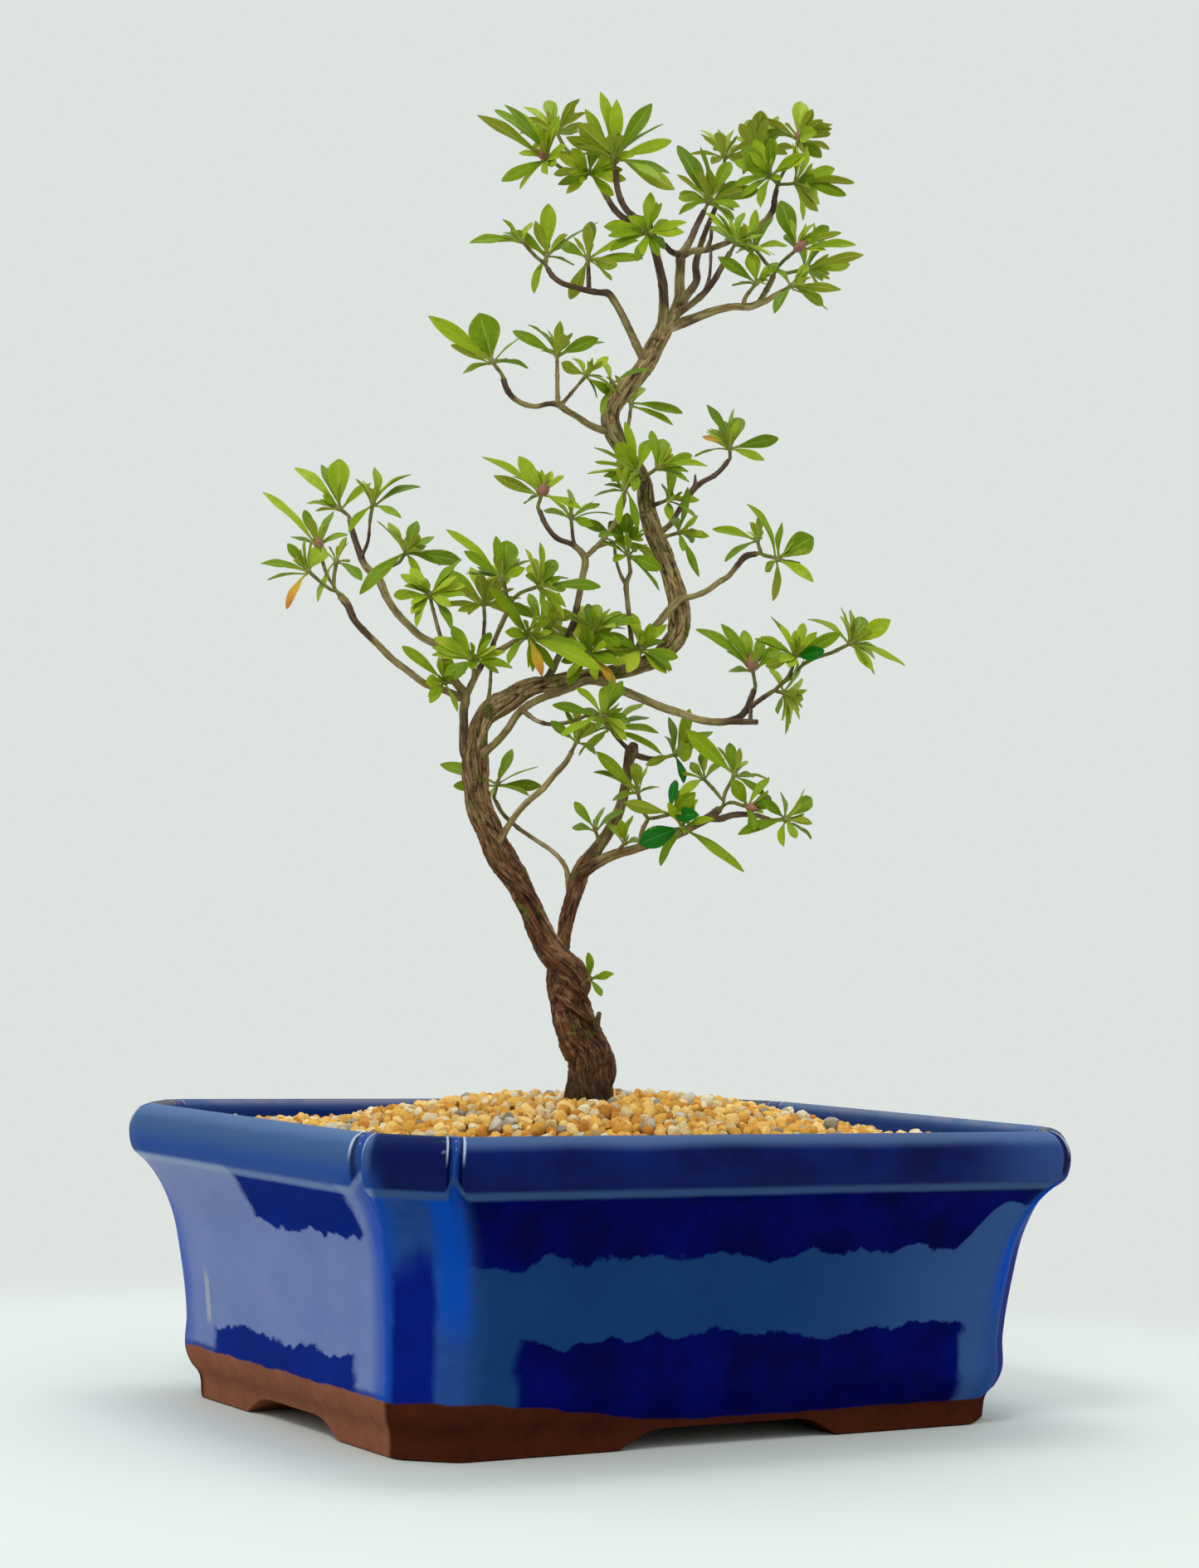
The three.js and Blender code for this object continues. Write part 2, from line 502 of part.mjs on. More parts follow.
  stemE: [3, [[-51.3, 144.6, -3, 0.8], [-53.6, 151.5, 3, 0.65], [-55.4, 157.6, 7, 0.6]]],
  spurE: [3, [[-41.4, 134.8, 2, 0.8], [-41.6, 138.8, 7, 0.6]]],
  spurE2: [3, [[-47.4, 133.8, 0, 0.8], [-49.6, 134, 6, 0.6]]],
  shootL: [3, [[-79, 173.6, -17, 0.7], [-77, 179, -12, 0.55], [-76.6, 185, -9, 0.5]]],
  twigL: [3, [[-73.4, 167.2, -14, 0.9], [-70, 170.6, -8, 0.7], [-67.4, 172, -5, 0.65]]],
  leftFork: [4, [[1.5, 216.6, 1, 1.5], [-2.9, 217.4, 4, 1.25], [-6.8, 218.9, 7, 1.1],
    [-10.6, 221.3, 10, 1.05], [-14.5, 223.5, 13, 1.05], [-17, 225.2, 15, 1.15], [-19.9, 225.3, 17, 0.8],
    [-24.2, 224.3, 20, 0.8], [-28.6, 225.2, 23, 0.85], [-31.8, 227.2, 25, 0.9], [-34, 230.3, 27, 0.95],
    [-34.9, 233, 28, 1]]],
  twigT2: [3, [[-16.8, 224.8, 15, 0.9], [-17.2, 228.3, 13, 0.75], [-17.4, 232.6, 11, 0.7],
    [-17.6, 238, 8, 0.65]]],
  twigT3: [3, [[-16.2, 224.8, 15, 0.8], [-13.7, 227.8, 19, 0.6], [-12, 230, 21, 0.55],
    [-10.4, 232, 22, 0.5]]],
  spurT4: [3, [[2.6, 213.5, 0, 1], [5.2, 216, -5, 0.75], [6.2, 220.5, -9, 0.65], [6.5, 223.4, -11, 0.6]]],
  spurT5: [3, [[3.4, 228.6, 4, 1], [1.6, 231.2, 9, 0.6]]],
  spurU: [3, [[11.6, 198.6, -2, 1.2], [11.4, 201.4, 4, 0.9]]],
  spurU3: [3, [[13, 192.4, -4, 1.1], [16.8, 194, -1, 0.6]]],
  spurU4: [3, [[16.6, 182.4, -5, 1.1], [20.4, 183.6, -2, 0.6]]],
  branchW: [3, [[15.8, 183, -7, 1.4], [18.6, 185.4, -9, 1], [20.4, 187, -10, 0.95],
    [22.6, 190.9, -12, 0.9], [25.7, 195.8, -15, 0.9], [28.2, 199.4, -17, 1.1], [30.6, 201.3, -18, 0.9],
    [34.6, 203.7, -20, 0.85], [37.2, 206.4, -21, 0.8], [38.6, 208.4, -22, 0.75]]],
  stubW: [3, [[28.2, 199.2, -17, 0.8], [28.1, 203.6, -16, 0.3]]],
  branchS: [4, [[11.4, 239.4, 1, 1.8], [8.6, 244, 4, 1.4], [5.8, 249.6, 6, 1.25], [2.8, 255.4, 8, 1.2],
    [0.4, 259.4, 9, 1.15], [-1.8, 262, 10, 1.25], [-4.6, 262.2, 11, 1], [-8, 262.6, 12, 1],
    [-13.3, 263.9, 14, 0.9], [-17, 265, 16, 0.9], [-20.2, 267.4, 17, 0.85], [-21.6, 269.6, 18, 0.85]]],
  twigS1: [3, [[-8, 262.4, 12, 0.9], [-8.2, 266.4, 9, 0.75], [-8.4, 270, 7, 0.7]]],
  crownLeft: [4, [[15, 247.5, 1, 2.4], [16.2, 254, 2, 1.8], [16.4, 260, 4, 1.6], [15.8, 266, 6, 1.5],
    [14.3, 272, 8, 1.4], [12.9, 277, 10, 1.3], [11.4, 282, 11, 1.25], [10, 286, 12, 1.4],
    [6.6, 287, 13, 1.15], [3.6, 289.4, 13, 1.05], [1.2, 293.6, 13, 1], [-0.1, 298.5, 13, 0.95],
    [-0.6, 302.6, 13, 0.85]]],
  crownLeft2: [4, [[10.4, 284.8, 12, 1.1], [4.9, 285.7, 9, 1.15], [0.5, 288.6, 6, 1.05],
    [-3.5, 294.3, 3, 1], [-5.7, 298.2, 1, 0.95], [-6.6, 299.6, 0, 0.9]]],
  crownSpur: [3, [[12.8, 277.4, 10, 0.9], [11.4, 280.2, 15, 0.6]]],
  crownJoin: [3, [[21.2, 275.4, -4, 1.1], [18.4, 276.2, 0, 1], [16.2, 278.3, 3, 0.9], [12.8, 281, 8, 0.9],
    [10.8, 284.6, 12, 0.9]]],
  crownMid: [3, [[21.2, 275, -4, 1.3], [24.4, 280, -7, 1.15], [26.2, 284.5, -9, 1.05],
    [28.6, 289.8, -11, 0.95]]],
  crownBack: [4, [[20.8, 257, -1, 1.5], [23.8, 262, -4, 1.4], [26.8, 267, -7, 1.3], [26.4, 272, -10, 1.2],
    [27.4, 277, -13, 1.05], [29.6, 284, -17, 0.9], [32.6, 292, -21, 0.8], [34.6, 299.6, -24, 0.7],
    [34.8, 304.6, -25, 0.65]]],
  crownAcross: [4, [[21.4, 274.6, -4, 1.3], [25, 276.6, -2, 1.1], [29, 277, 0, 1.05],
    [32.6, 278.2, 2, 0.95], [37.6, 280.4, -3, 0.95], [43.6, 284, -9, 0.95], [48.8, 287.6, -13, 0.95],
    [51.2, 291.4, -14, 1.05], [51.5, 295, -14, 0.9], [52, 297.6, -14, 0.85]]],
  crownThin: [3, [[29.4, 263.2, 7, 0.7], [30.8, 267.5, 6, 0.55], [31.2, 272, 4, 0.5],
    [31.2, 277.2, 2, 0.5]]],
  crownThin2: [3, [[29.8, 277.2, 0, 0.8], [31.1, 281, 2, 0.65], [31.2, 285, 3, 0.6]]],
  crownFour: [3, [[19.8, 255.6, 0, 1.7], [23.6, 258, 3, 1.2], [28.2, 261.8, 6, 1.1], [31.6, 265.8, 9, 1],
    [35, 272, 12, 0.95], [37.4, 276.4, 14, 0.85]]],
  crownRight: [4, [[18, 251.4, 0, 2], [23.6, 253.5, 2, 1.7], [28.4, 255.5, 4, 1.45],
    [33.8, 257.6, 6, 1.3], [39.2, 258.8, 8, 1.2], [44.6, 259, 10, 1.2], [47.7, 260.3, 12, 1.15],
    [50, 261.3, 14, 0.95], [52.2, 262.8, 15, 0.85], [54.4, 264.2, 16, 0.75]]],
  crownRight2: [3, [[47, 259.8, 11, 1], [49.3, 264, 9, 0.95], [51.2, 267.9, 6, 0.95],
    [51.7, 269.4, 5, 0.9]]],
  twigRL: [3, [[42, 258.8, 9, 0.9], [43.3, 262.8, 13, 0.65], [44.2, 264, 14, 0.6]]],
  twigX6: [3, [[10.3, 112.4, -14, 1.1], [16.3, 111.1, -10, 0.9], [19.4, 111.4, -8, 0.75]]],
  twigZ1: [3, [[10, 113.4, -14, 1], [7.4, 115.4, -9, 0.75], [5.4, 117.4, -6, 0.65]]],
  twigLow4: [3, [[13.6, 82.4, 2, 1], [14.4, 88.6, 7, 0.75], [15.4, 90.6, 9, 0.7]]],
  spurLow: [3, [[5.4, 79.8, -3, 1], [7.2, 82, 1, 0.55]]],
  spurUp: [3, [[0.8, 83.2, -10, 1.1], [-0.3, 86, -5, 0.55]]],
  spurTrunk: [3, [[-4.6, 36.8, 5, 1.6], [-2.6, 38.6, 9.5, 0.6]]],
  spurOval: [3, [[26.5, 87.4, 8, 1], [26.8, 88.4, 12, 0.6]]],
};

// The leafy sprays. Each grows from the end of a route of the wood, and has one twig or more; a twig has a
// stem [x, z, w], its leaves' tips as seen [x, z, width, w beyond the bud], and how many more leaves fill
// its far side. A negative width shows the leaf's paler underside.
const sprays = {
  crown_centre: { from: 'crownLeft', twigs: [
    { stem: [], fill: 1, leaves: [[-6.2, 328.4, 3.6], [-0.8, 326, 4.4], [-13, 317.5, -6, 6],
        [-17, 313, -3.5, 9], [-11, 322.5, 3.2], [10.8, 325, 5], [17.6, 312.8, 4], [17.2, 302, 3],
        [5.4, 307.4, 3, 9], [19, 296.6, -4.6, 6], [14.2, 299.8, 3]] }] },
  crown_left: { from: 'crownLeft2', twigs: [
    { stem: [[-9.6, 301.6, -2], [-13.2, 306, -5], [-17.4, 309.7, -7], [-19, 312.6, -8]], fill: 1,
      leaves: [[-23.2, 325, 4.4], [-14.6, 324.8, -3.4], [-31.2, 322.6, 3], [-27, 316.6, -4],
        [-12.8, 321, 3.4]] },
    { stem: [[-13.9, 301.4, 4], [-17.2, 302.2, 7], [-21, 304.7, 10]], fill: 0,
      leaves: [[-46.2, 319.4, -2.2], [-40.6, 321.4, 3.4], [-37.4, 323.2, 3.4], [-33.4, 321.4, 3.6],
        [-37.6, 297.8, 4, 3], [-24.6, 311.6, -3]] },
    { stem: [[-8.4, 301, 4]], fill: 0, leaves: [[-19.2, 297.2, 3, 7], [-20.6, 300.6, -2.2, 4],
        [-15, 309.4, 4, 6]] }] },
  crown_low: { from: 'crownSpur', twigs: [
    { stem: [], fill: 1, leaves: [[3.4, 285, 3.2], [9.4, 274.6, 3], [17.2, 286.6, 3], [16.6, 277.4, 3],
        [6.8, 287.6, 3]] }] },
  crown_mid: { from: 'crownMid', twigs: [
    { stem: [], fill: 1, leaves: [[22.4, 308.4, 5.4], [26.8, 311.2, 2], [36.8, 306.4, 4.4],
        [46.4, 297.4, 4.4], [40.4, 300, 3.4], [20.2, 294.4, 3.4], [40.4, 291.6, 3], [38, 285.4, 2.2],
        [19.4, 311.4, 4.6, -6], [20.4, 288.4, 2.4]] }] },
  crown_back: { from: 'crownBack', twigs: [
    { stem: [], fill: 1, leaves: [[26.8, 316.6, 2.2], [32.6, 317, 2.6], [41.6, 312, 3]] }] },
  crown_four: { from: 'crownFour', twigs: [
    { stem: [], fill: 1, leaves: [[36.6, 288, 2], [41.6, 289.8, 2.4], [30.6, 284.6, 3], [44.6, 285.6, 3],
        [45.4, 275.6, 2.6]] }] },
  crown_right: { from: 'crownAcross', twigs: [
    { stem: [[50.8, 301, -10]], fill: 1,
      leaves: [[40.4, 311.6, 5.6, 2], [44.2, 314.2, 4], [47, 291.6, 2.6], [43, 303.4, 3, 8],
        [49.6, 315, 3.6, 6]] },
    { stem: [[56, 299.6, -12]], fill: 0,
      leaves: [[74.8, 296.4, 3.6], [65.8, 290.8, -4], [70.8, 305.2, 4], [64.4, 302.6, 3, 8]] },
    { stem: [[54.6, 304.4, -15], [57.4, 309.4, -17], [58.2, 312.4, -18]], fill: 0,
      leaves: [[59.2, 327, 5.4], [64.8, 316.6, 5.4], [69.2, 316.8, -2], [63, 319.6, 3],
        [66.4, 308.6, 4, 4]] },
    { stem: [[48.4, 304.8, -18], [47, 308, -20]], fill: 0,
      leaves: [[46.2, 323.6, -5.4], [42, 320.4, 5.4], [51.8, 322, 3.4], [37.4, 314.4, 2.6],
        [54.6, 316.6, 3]] }] },
  right_front: { from: 'crownRight', twigs: [
    { stem: [], fill: 1, leaves: [[68.2, 260, 3.6], [74, 265.4, -2.6], [63, 273.4, 3], [52.4, 256.8, 3],
        [51, 272, 2.6]] }] },
  right_fork: { from: 'crownRight2', twigs: [
    { stem: [[56.4, 270.4, 0], [60.4, 271.4, -2]], fill: 1,
      leaves: [[81, 277, -2.4], [76.6, 273.8, 4.4], [68, 281.6, 3], [67.8, 268, 2.6], [58.4, 280.4, 3]] },
    { stem: [[54.6, 274, 8], [57.4, 276.6, 11]], fill: 0,
      leaves: [[53.4, 294.2, 6], [78.4, 280.2, 3], [73.6, 284, -2], [69.4, 286, 4], [55.2, 283, 3],
        [64.8, 287, 2.2]] },
    { stem: [[49, 273.6, 2], [46.8, 276.4, 4]], fill: 0,
      leaves: [[45.4, 291, 3], [51.2, 289, 2.6], [56.2, 279.4, 3], [36.8, 281, 2.8], [39.6, 276.4, 2.4]] }] },
  right_small: { from: 'twigRL', twigs: [
    { stem: [], fill: 1, leaves: [[33.4, 275, 3.8], [44, 277, 4.8], [49, 268.6, 2.2]] }] },
  left_low_crown: { from: 'branchS', twigs: [
    { stem: [[-22.2, 271.8, 18]], fill: 1,
      leaves: [[-22, 291, 5], [-32.2, 281.8, 3], [-26.2, 285.2, -3], [-15, 278.8, 3.4],
        [-25.8, 261.2, 2.6, 2]] },
    { stem: [[-25.6, 273.4, 21], [-28.6, 276.6, 23]], fill: 0,
      leaves: [[-47.4, 277.2, 3.4, 2], [-27.4, 284.6, 2.4], [-36.4, 281, 2.2]] }] },
  left_low_crown_2: { from: 'twigS1', twigs: [
    { stem: [], fill: 1, leaves: [[-8.2, 285.4, 4.2], [7.8, 279.6, 3], [9.4, 273.8, 3.4],
        [1, 271.2, -4, 6], [-17.6, 277.8, 3.6], [-14.2, 259.6, -4.2]] }] },
  fork_left: { from: 'leftFork', twigs: [
    { stem: [[-37, 236.4, 29]], fill: 1,
      leaves: [[-43.4, 254.4, 9.6], [-60, 253, 4.8], [-52.4, 243.6, -2.4], [-48.2, 234.4, 2.4],
        [-26.8, 236.8, 2.2]] }] },
  fork_up: { from: 'twigT2', twigs: [
    { stem: [], fill: 1, leaves: [[-32.4, 248.8, 3.6], [-15, 248, -4], [-4.4, 247.2, 4.4],
        [-2.4, 246, 2.4], [-22.6, 242.8, 2.6]] }] },
  fork_right: { from: 'twigT3', twigs: [
    { stem: [], fill: 1, leaves: [[-16.4, 238.8, -3.6], [-12.8, 240.4, 2], [-6.8, 237.8, 2.4],
        [0.4, 229.2, 3]] }] },
  upper_right: { from: 'spurT4', twigs: [
    { stem: [], fill: 1, leaves: [[10.8, 231.4, 3], [23.6, 223.4, 3.4], [20.6, 219.4, 2.6],
        [2, 231, 3, -12]] }] },
  upper_left: { from: 'spurT5', twigs: [
    { stem: [], fill: 1, leaves: [[-4.8, 240.4, 2.6], [-2.6, 222, 2, 10]] }] },
  bend_front: { from: 'spurU', twigs: [
    { stem: [[10.2, 203, 8]], fill: 1,
      leaves: [[2.4, 213.2, 5.4, 4], [4.8, 220.2, 3], [2.4, 207.4, -4.4], [12.6, 214.4, 4],
        [8.4, 197.4, 3]] },
    { stem: [[14, 204, 7]], fill: 0,
      leaves: [[17.4, 215, 5.6], [27, 209.8, 3.4], [32.2, 206.4, 2.4], [25.2, 202.4, 2.4],
        [13.6, 217.6, 3]] }] },
  bend_right: { from: 'spurU3', twigs: [
    { stem: [], fill: 1, leaves: [[21.8, 196.2, 4.4, 10], [20.2, 188.4, 3]] }] },
  bend_right_2: { from: 'spurU4', twigs: [
    { stem: [], fill: 1, leaves: [[28.6, 183.2, 4.6], [24.6, 178.6, 2.4], [21.8, 189.4, 3],
        [30.2, 170.2, 2.6]] }] },
  mid_left: { from: 'branchH', twigs: [
    { stem: [[-22, 193.4, 19]], fill: 1,
      leaves: [[-41.2, 207.4, 2.4], [-37.2, 201.4, -3.4], [-29.2, 208, 4.6], [-8.4, 191.4, 2.4, 4]] }] },
  mid_small: { from: 'twigK', twigs: [
    { stem: [], fill: 1, leaves: [[-20.6, 190.6, 2.6], [-12.6, 197.6, 2.2], [-2.4, 193.2, 2.4],
        [0.2, 184.6, 3.4], [-4.4, 186, 3, 8]] }] },
  mid_top: { from: 'twigV', twigs: [
    { stem: [[5.4, 195.6, 18]], fill: 1, leaves: [[9.8, 185.2, 2.6, 3], [10.6, 201.4, 2.4],
        [4, 186.6, 2.4, 7]] }] },
  mid_right: { from: 'twigV2', twigs: [
    { stem: [], fill: 1, leaves: [[0.6, 187.6, 4.6, 8], [6.4, 190.6, 4.4, 4], [10.4, 186, 3, 6],
        [-2.6, 182.2, 2.4, 9], [9.6, 177.6, 2.4, 5]] }] },
  mid_drop: { from: 'branchI', twigs: [
    { stem: [], fill: 1, leaves: [[18.2, 172.4, 4.6, 3], [2.4, 174.4, 2.4, 9]] }] },
  centre: { from: 'spurK', twigs: [
    { stem: [[-2.7, 146, 9], [-2.9, 149.6, 11]], fill: 1,
      leaves: [[-2.6, 160.4, 4], [8.2, 157, 2.6], [5.6, 147.6, 3.6], [-8.8, 155, 3], [-5.6, 160.6, 3, -6]] },
    { stem: [[-3.4, 143.4, 9]], fill: 0,
      leaves: [[-8.6, 158, 2.4, 0], [4.2, 134, 2.6], [-13.6, 141.6, 3, 5], [4.6, 143.6, 2.6, 6]] }] },
  centre_right: { from: 'spurK3', twigs: [
    { stem: [], fill: 1, leaves: [[24.2, 144, 3.6, 5], [12.4, 152.6, 3.4], [19.6, 149.4, 2.4],
        [4.4, 149.4, 2.6, 8], [22.4, 139.6, 2.4]] }] },
  heart: { from: 'stemF', twigs: [
    { stem: [[-31.6, 162.4, 17], [-32.4, 165.4, 18]], fill: 1,
      leaves: [[-32, 180.4, 7.6], [-52, 183.4, 3], [-35.8, 181.8, 3], [-46, 176.6, 3], [-26, 171.6, 3, 10]] },
    { stem: [[-27.4, 163.4, 21], [-23.6, 165, 23]], fill: 0,
      leaves: [[-24.6, 172.8, 3.4], [-16.2, 174.4, 4.4], [-1.2, 166.2, 3.4, 2], [-11.8, 168.6, 2],
        [-14, 160, 3]] }] },
  heart_left: { from: 'stemF3', twigs: [
    { stem: [[-38.8, 157.4, -6]], fill: 1,
      leaves: [[-51.4, 170.2, 4.6], [-52.4, 166.4, 3], [-43.6, 171.4, 3.4], [-30.6, 168.4, 3],
        [-47.4, 157, 3]] }] },
  heart_right: { from: 'leftInner', twigs: [
    { stem: [[-26, 149, 11]], fill: 1,
      leaves: [[-37.6, 165, 3.2, 5], [-5.2, 145.6, 4, 4], [-0.6, 139.2, 4.6, 6], [-19.6, 136.6, 3],
        [-30.4, 140.4, 2.6]] },
    { stem: [[-24.6, 151.4, 7], [-21.8, 153.4, 5]], fill: 0,
      leaves: [[-14.8, 164, 3.6], [-13.4, 154.6, 4.4], [-30.8, 160, 3.4, -5], [-16.4, 147.8, 3],
        [-24.6, 163.4, 3]] }] },
  left_inner: { from: 'stemE', twigs: [
    { stem: [[-56, 160, 9]], fill: 1,
      leaves: [[-68.2, 161.6, 3.4], [-49.4, 151.2, 2.8], [-59.6, 168, 2.4], [-60.4, 151.4, 2.4],
        [-50.4, 168, 3]] }] },
  left_elbow: { from: 'spurE', twigs: [
    { stem: [], fill: 1, leaves: [[-50.4, 148.4, 3], [-50.4, 143.6, 2.6], [-36.4, 150.4, 3],
        [-47.6, 134.6, 2.6], [-33.4, 137.4, 2.4]] }] },
  left_round: { from: 'spurE2', twigs: [
    { stem: [], fill: 1, leaves: [[-57, 133.6, 4.6, 4], [-48.8, 141.6, 4, 4], [-65, 145.2, 3.4],
        [-55.4, 127, 3]] }] },
  left_top: { from: 'leftUpper', twigs: [
    { stem: [[-84.4, 187.6, -20]], fill: 1,
      leaves: [[-101.6, 202.2, 3.4], [-93, 203.4, 3.4], [-87.2, 205.4, 7], [-76.4, 197.8, 3],
        [-97.4, 190.6, 2.4]] }] },
  left_shoot: { from: 'shootL', twigs: [
    { stem: [[-76.2, 188.4, -8]], fill: 1, leaves: [[-75.6, 203, 2.4], [-60.4, 197, 2.6],
        [-66.4, 186.6, 2.6], [-83.4, 181.4, 2.6, 6]] }] },
  left_crotch: { from: 'twigL', twigs: [
    { stem: [[-66, 173.4, -4]], fill: 1,
      leaves: [[-61.4, 186, 4], [-46.6, 173.4, 4.8, 5], [-60.6, 166, 2.8], [-79.2, 161.4, 4.6, 9],
        [-70.6, 185.2, 3], [-55.6, 181, 3]] }] },
  left_end: { from: 'lowLeft', twigs: [
    { stem: [[-88.7, 163, 30], [-91.6, 165, 31], [-94, 167, 32]], fill: 1,
      leaves: [[-111.6, 170.6, 2.6], [-103, 177.4, 3], [-91, 176.6, 5.4], [-102.4, 156, 2.8]] },
    { stem: [[-87.6, 166.4, 25], [-87.2, 170, 23]], fill: 0,
      leaves: [[-83.4, 178, 2.6], [-78.6, 166, 2.8], [-92.6, 158.6, 2.4]] },
    { stem: [[-90, 168, 28], [-91.8, 173, 26], [-92.4, 175, 25]], fill: 0,
      leaves: [[-111.8, 194, 2.6], [-98, 188.4, 3], [-88.4, 188.4, 3], [-83.4, 181, 2.4]] }] },
  low_left_tip: { from: 'branchA', twigs: [
    { stem: [], fill: 1, leaves: [[-16.4, 122.4, 3], [-2.6, 121.4, -3.4], [-9.4, 128, 2.6],
        [-1.4, 112.4, 2.4]] }] },
  behind_trunk: { from: 'branchB', twigs: [
    { stem: [[-33.4, 99, -29]], fill: 1,
      leaves: [[-28.4, 113, 3.4], [-18.6, 101.4, 3.8], [-51.6, 107.4, 4.2], [-47, 100.6, 3.6],
        [-39.4, 90.4, 3]] }] },
  middle_cluster: { from: 'innerD', twigs: [
    { stem: [[-2.4, 125, 25]], fill: 1,
      leaves: [[-8.4, 133.4, 2.6], [-16, 127.6, 3], [7.4, 133.4, 2.6], [1.4, 134.4, 3],
        [-12.6, 117.6, 2.6], [9.4, 122, 2.4]] }] },
  knob_left: { from: 'twigZ1', twigs: [
    { stem: [[4, 119, -4]], fill: 1, leaves: [[18.8, 119.4, 2.6], [20, 112.4, 2.4], [15.6, 124.4, 2],
        [13.6, 129, 2.4], [-8.4, 119, 3], [-3.6, 113.4, 2.6], [-6.4, 126.6, 3]] }] },
  knob_right: { from: 'twigX6', twigs: [
    { stem: [[21.6, 111.9, -7]], fill: 1,
      leaves: [[21.7, 124.8, 2.8], [36.2, 120.4, 3], [29.6, 114.6, 6.4, 12], [14.6, 109, -2.6, 6],
        [27, 103.4, 2.6], [20.4, 118.6, 2]] }] },
  low_middle: { from: 'twigLow4', twigs: [
    { stem: [[14, 94.4, 10], [13, 98, 11]], fill: 1,
      leaves: [[-1.4, 113, 3.8], [11.4, 109.6, 3.8], [4.2, 97.4, 2.4]] },
    { stem: [[18.6, 92.2, 13], [21.4, 93, 15]], fill: 0,
      leaves: [[7.8, 96.8, -4, 6], [31, 100.8, 4.4, 8], [27.4, 101.4, 4], [32.4, 93.4, 4.4, 9],
        [24.4, 104.6, 3]] }] },
  low_right: { from: 'lowRight', twigs: [
    { stem: [[40.4, 100.6, 15], [42.2, 104.4, 14]], fill: 1,
      leaves: [[27.2, 121, 5], [41.4, 117, 3.4], [49.8, 106.6, 2.4], [53.2, 100.4, 2.6, 5],
        [47, 111.4, 2.4]] },
    { stem: [[42.6, 97.8, 20], [46, 97, 23]], fill: 0,
      leaves: [[42.4, 105.6, 4.4, 7], [55.4, 99.6, 3.4], [50, 89, 2.6], [54.6, 106.4, 2.4, -8]] },
    { stem: [[38, 100.4, 9], [34.6, 104, 5]], fill: 0,
      leaves: [[29, 110.4, 3], [33.4, 116.4, 3], [25.6, 99.4, 3], [40, 112, 2.4, -9]] }] },
  low_right_end: { from: 'lowRightEnd', twigs: [
    { stem: [[57.4, 92.6, 25]], fill: 1,
      leaves: [[68.4, 100, 4.6], [68.8, 91.8, 2.6], [63.4, 86.8, 2.8], [59.8, 84, 2.2], [52.4, 99.4, 3, 6],
        [44.8, 87.4, 3.4, 6]] }] },
  low_front: { from: 'spurOval', twigs: [
    { stem: [], fill: 0, leaves: [[13, 83.6, 6.6, 7], [47.4, 75.4, 3.4, 5], [37.4, 92.2, 2.4, 7],
        [20.4, 76.6, 2.6]] }] },
  long_shoot: { from: 'rightShoot', twigs: [
    { stem: [[57.4, 136.2, 15], [61, 139, 18], [64.4, 142.8, 20], [69, 145.4, 22], [74, 147.2, 24],
      [77.4, 149, 25]],
      fill: 1, leaves: [[92.4, 158.2, 5.4], [83.6, 158.8, 4.4], [97.6, 143.4, 2.6], [87.2, 141.6, 3],
        [76.2, 159, 2], [65.4, 157.6, 2.4]] },
    { stem: [[57.4, 136.2, 15], [60.6, 140.4, 19], [61.4, 143.4, 21]], fill: 0,
      leaves: [[76.4, 153.4, 4, 6], [64.4, 156.4, 3], [52.4, 142, -3.4, 5], [71.4, 147.6, 4.4, 9]] },
    { stem: [[56.4, 134, 14]], fill: 0,
      leaves: [[63.8, 127.8, -3], [53.8, 141.4, 2.4]] }] },
  right_tuft: { from: 'branchD', twigs: [
    { stem: [[48.8, 138, 4]], fill: 1,
      leaves: [[29.4, 153.4, 3.4], [37.6, 155.4, 3.4], [45.2, 153.6, 4], [51, 151.4, 3.4],
        [53.4, 148, 2.2], [40.4, 140, 2.4], [57.4, 150, 3.6]] }] },
  mid_right_up: { from: 'branchW', twigs: [
    { stem: [[39.2, 210, -22]], fill: 1,
      leaves: [[31.2, 226.6, 3], [41.8, 222.6, 5], [32.4, 218.8, 2.6], [30, 216.2, 2.6],
        [54.8, 216.2, 4.2], [50.4, 208.8, 3], [36.6, 221.4, 4]] }] },
  mid_right_low: { from: 'branchJ', twigs: [
    { stem: [[50.6, 178.2, 19], [53, 177.6, 20]], fill: 1,
      leaves: [[45, 194.6, 2], [66.8, 184.4, 7.4], [67.2, 169.6, 3.4], [51.4, 172.8, -2.6, 8],
        [56.6, 189, 2]] },
    { stem: [[49.2, 181, 17.4]], fill: 0,
      leaves: [[34, 186, 3], [50.6, 185.4, 2.2, 7], [38.4, 175.4, 2.4]] }] },
  low_spur: { from: 'spurLow', twigs: [
    { stem: [], fill: 1,
      leaves: [[7, 91.4, 3.4, 4], [11.2, 92.8, 2], [14.6, 84.4, 2.4], [2.4, 90.4, 2.4]] }] },
  low_spur_2: { from: 'spurUp', twigs: [
    { stem: [], fill: 1, leaves: [[-8, 96.6, 3], [-8.4, 88.4, 2.6]] }] },
  trunk_leaves: { from: 'spurTrunk', twigs: [
    { stem: [], fill: 0, leaves: [[-2.2, 48.4, 2.6, 5], [6.4, 41.8, 2.6, 4], [2.4, 34.4, 2.2, 7]] }] },
};

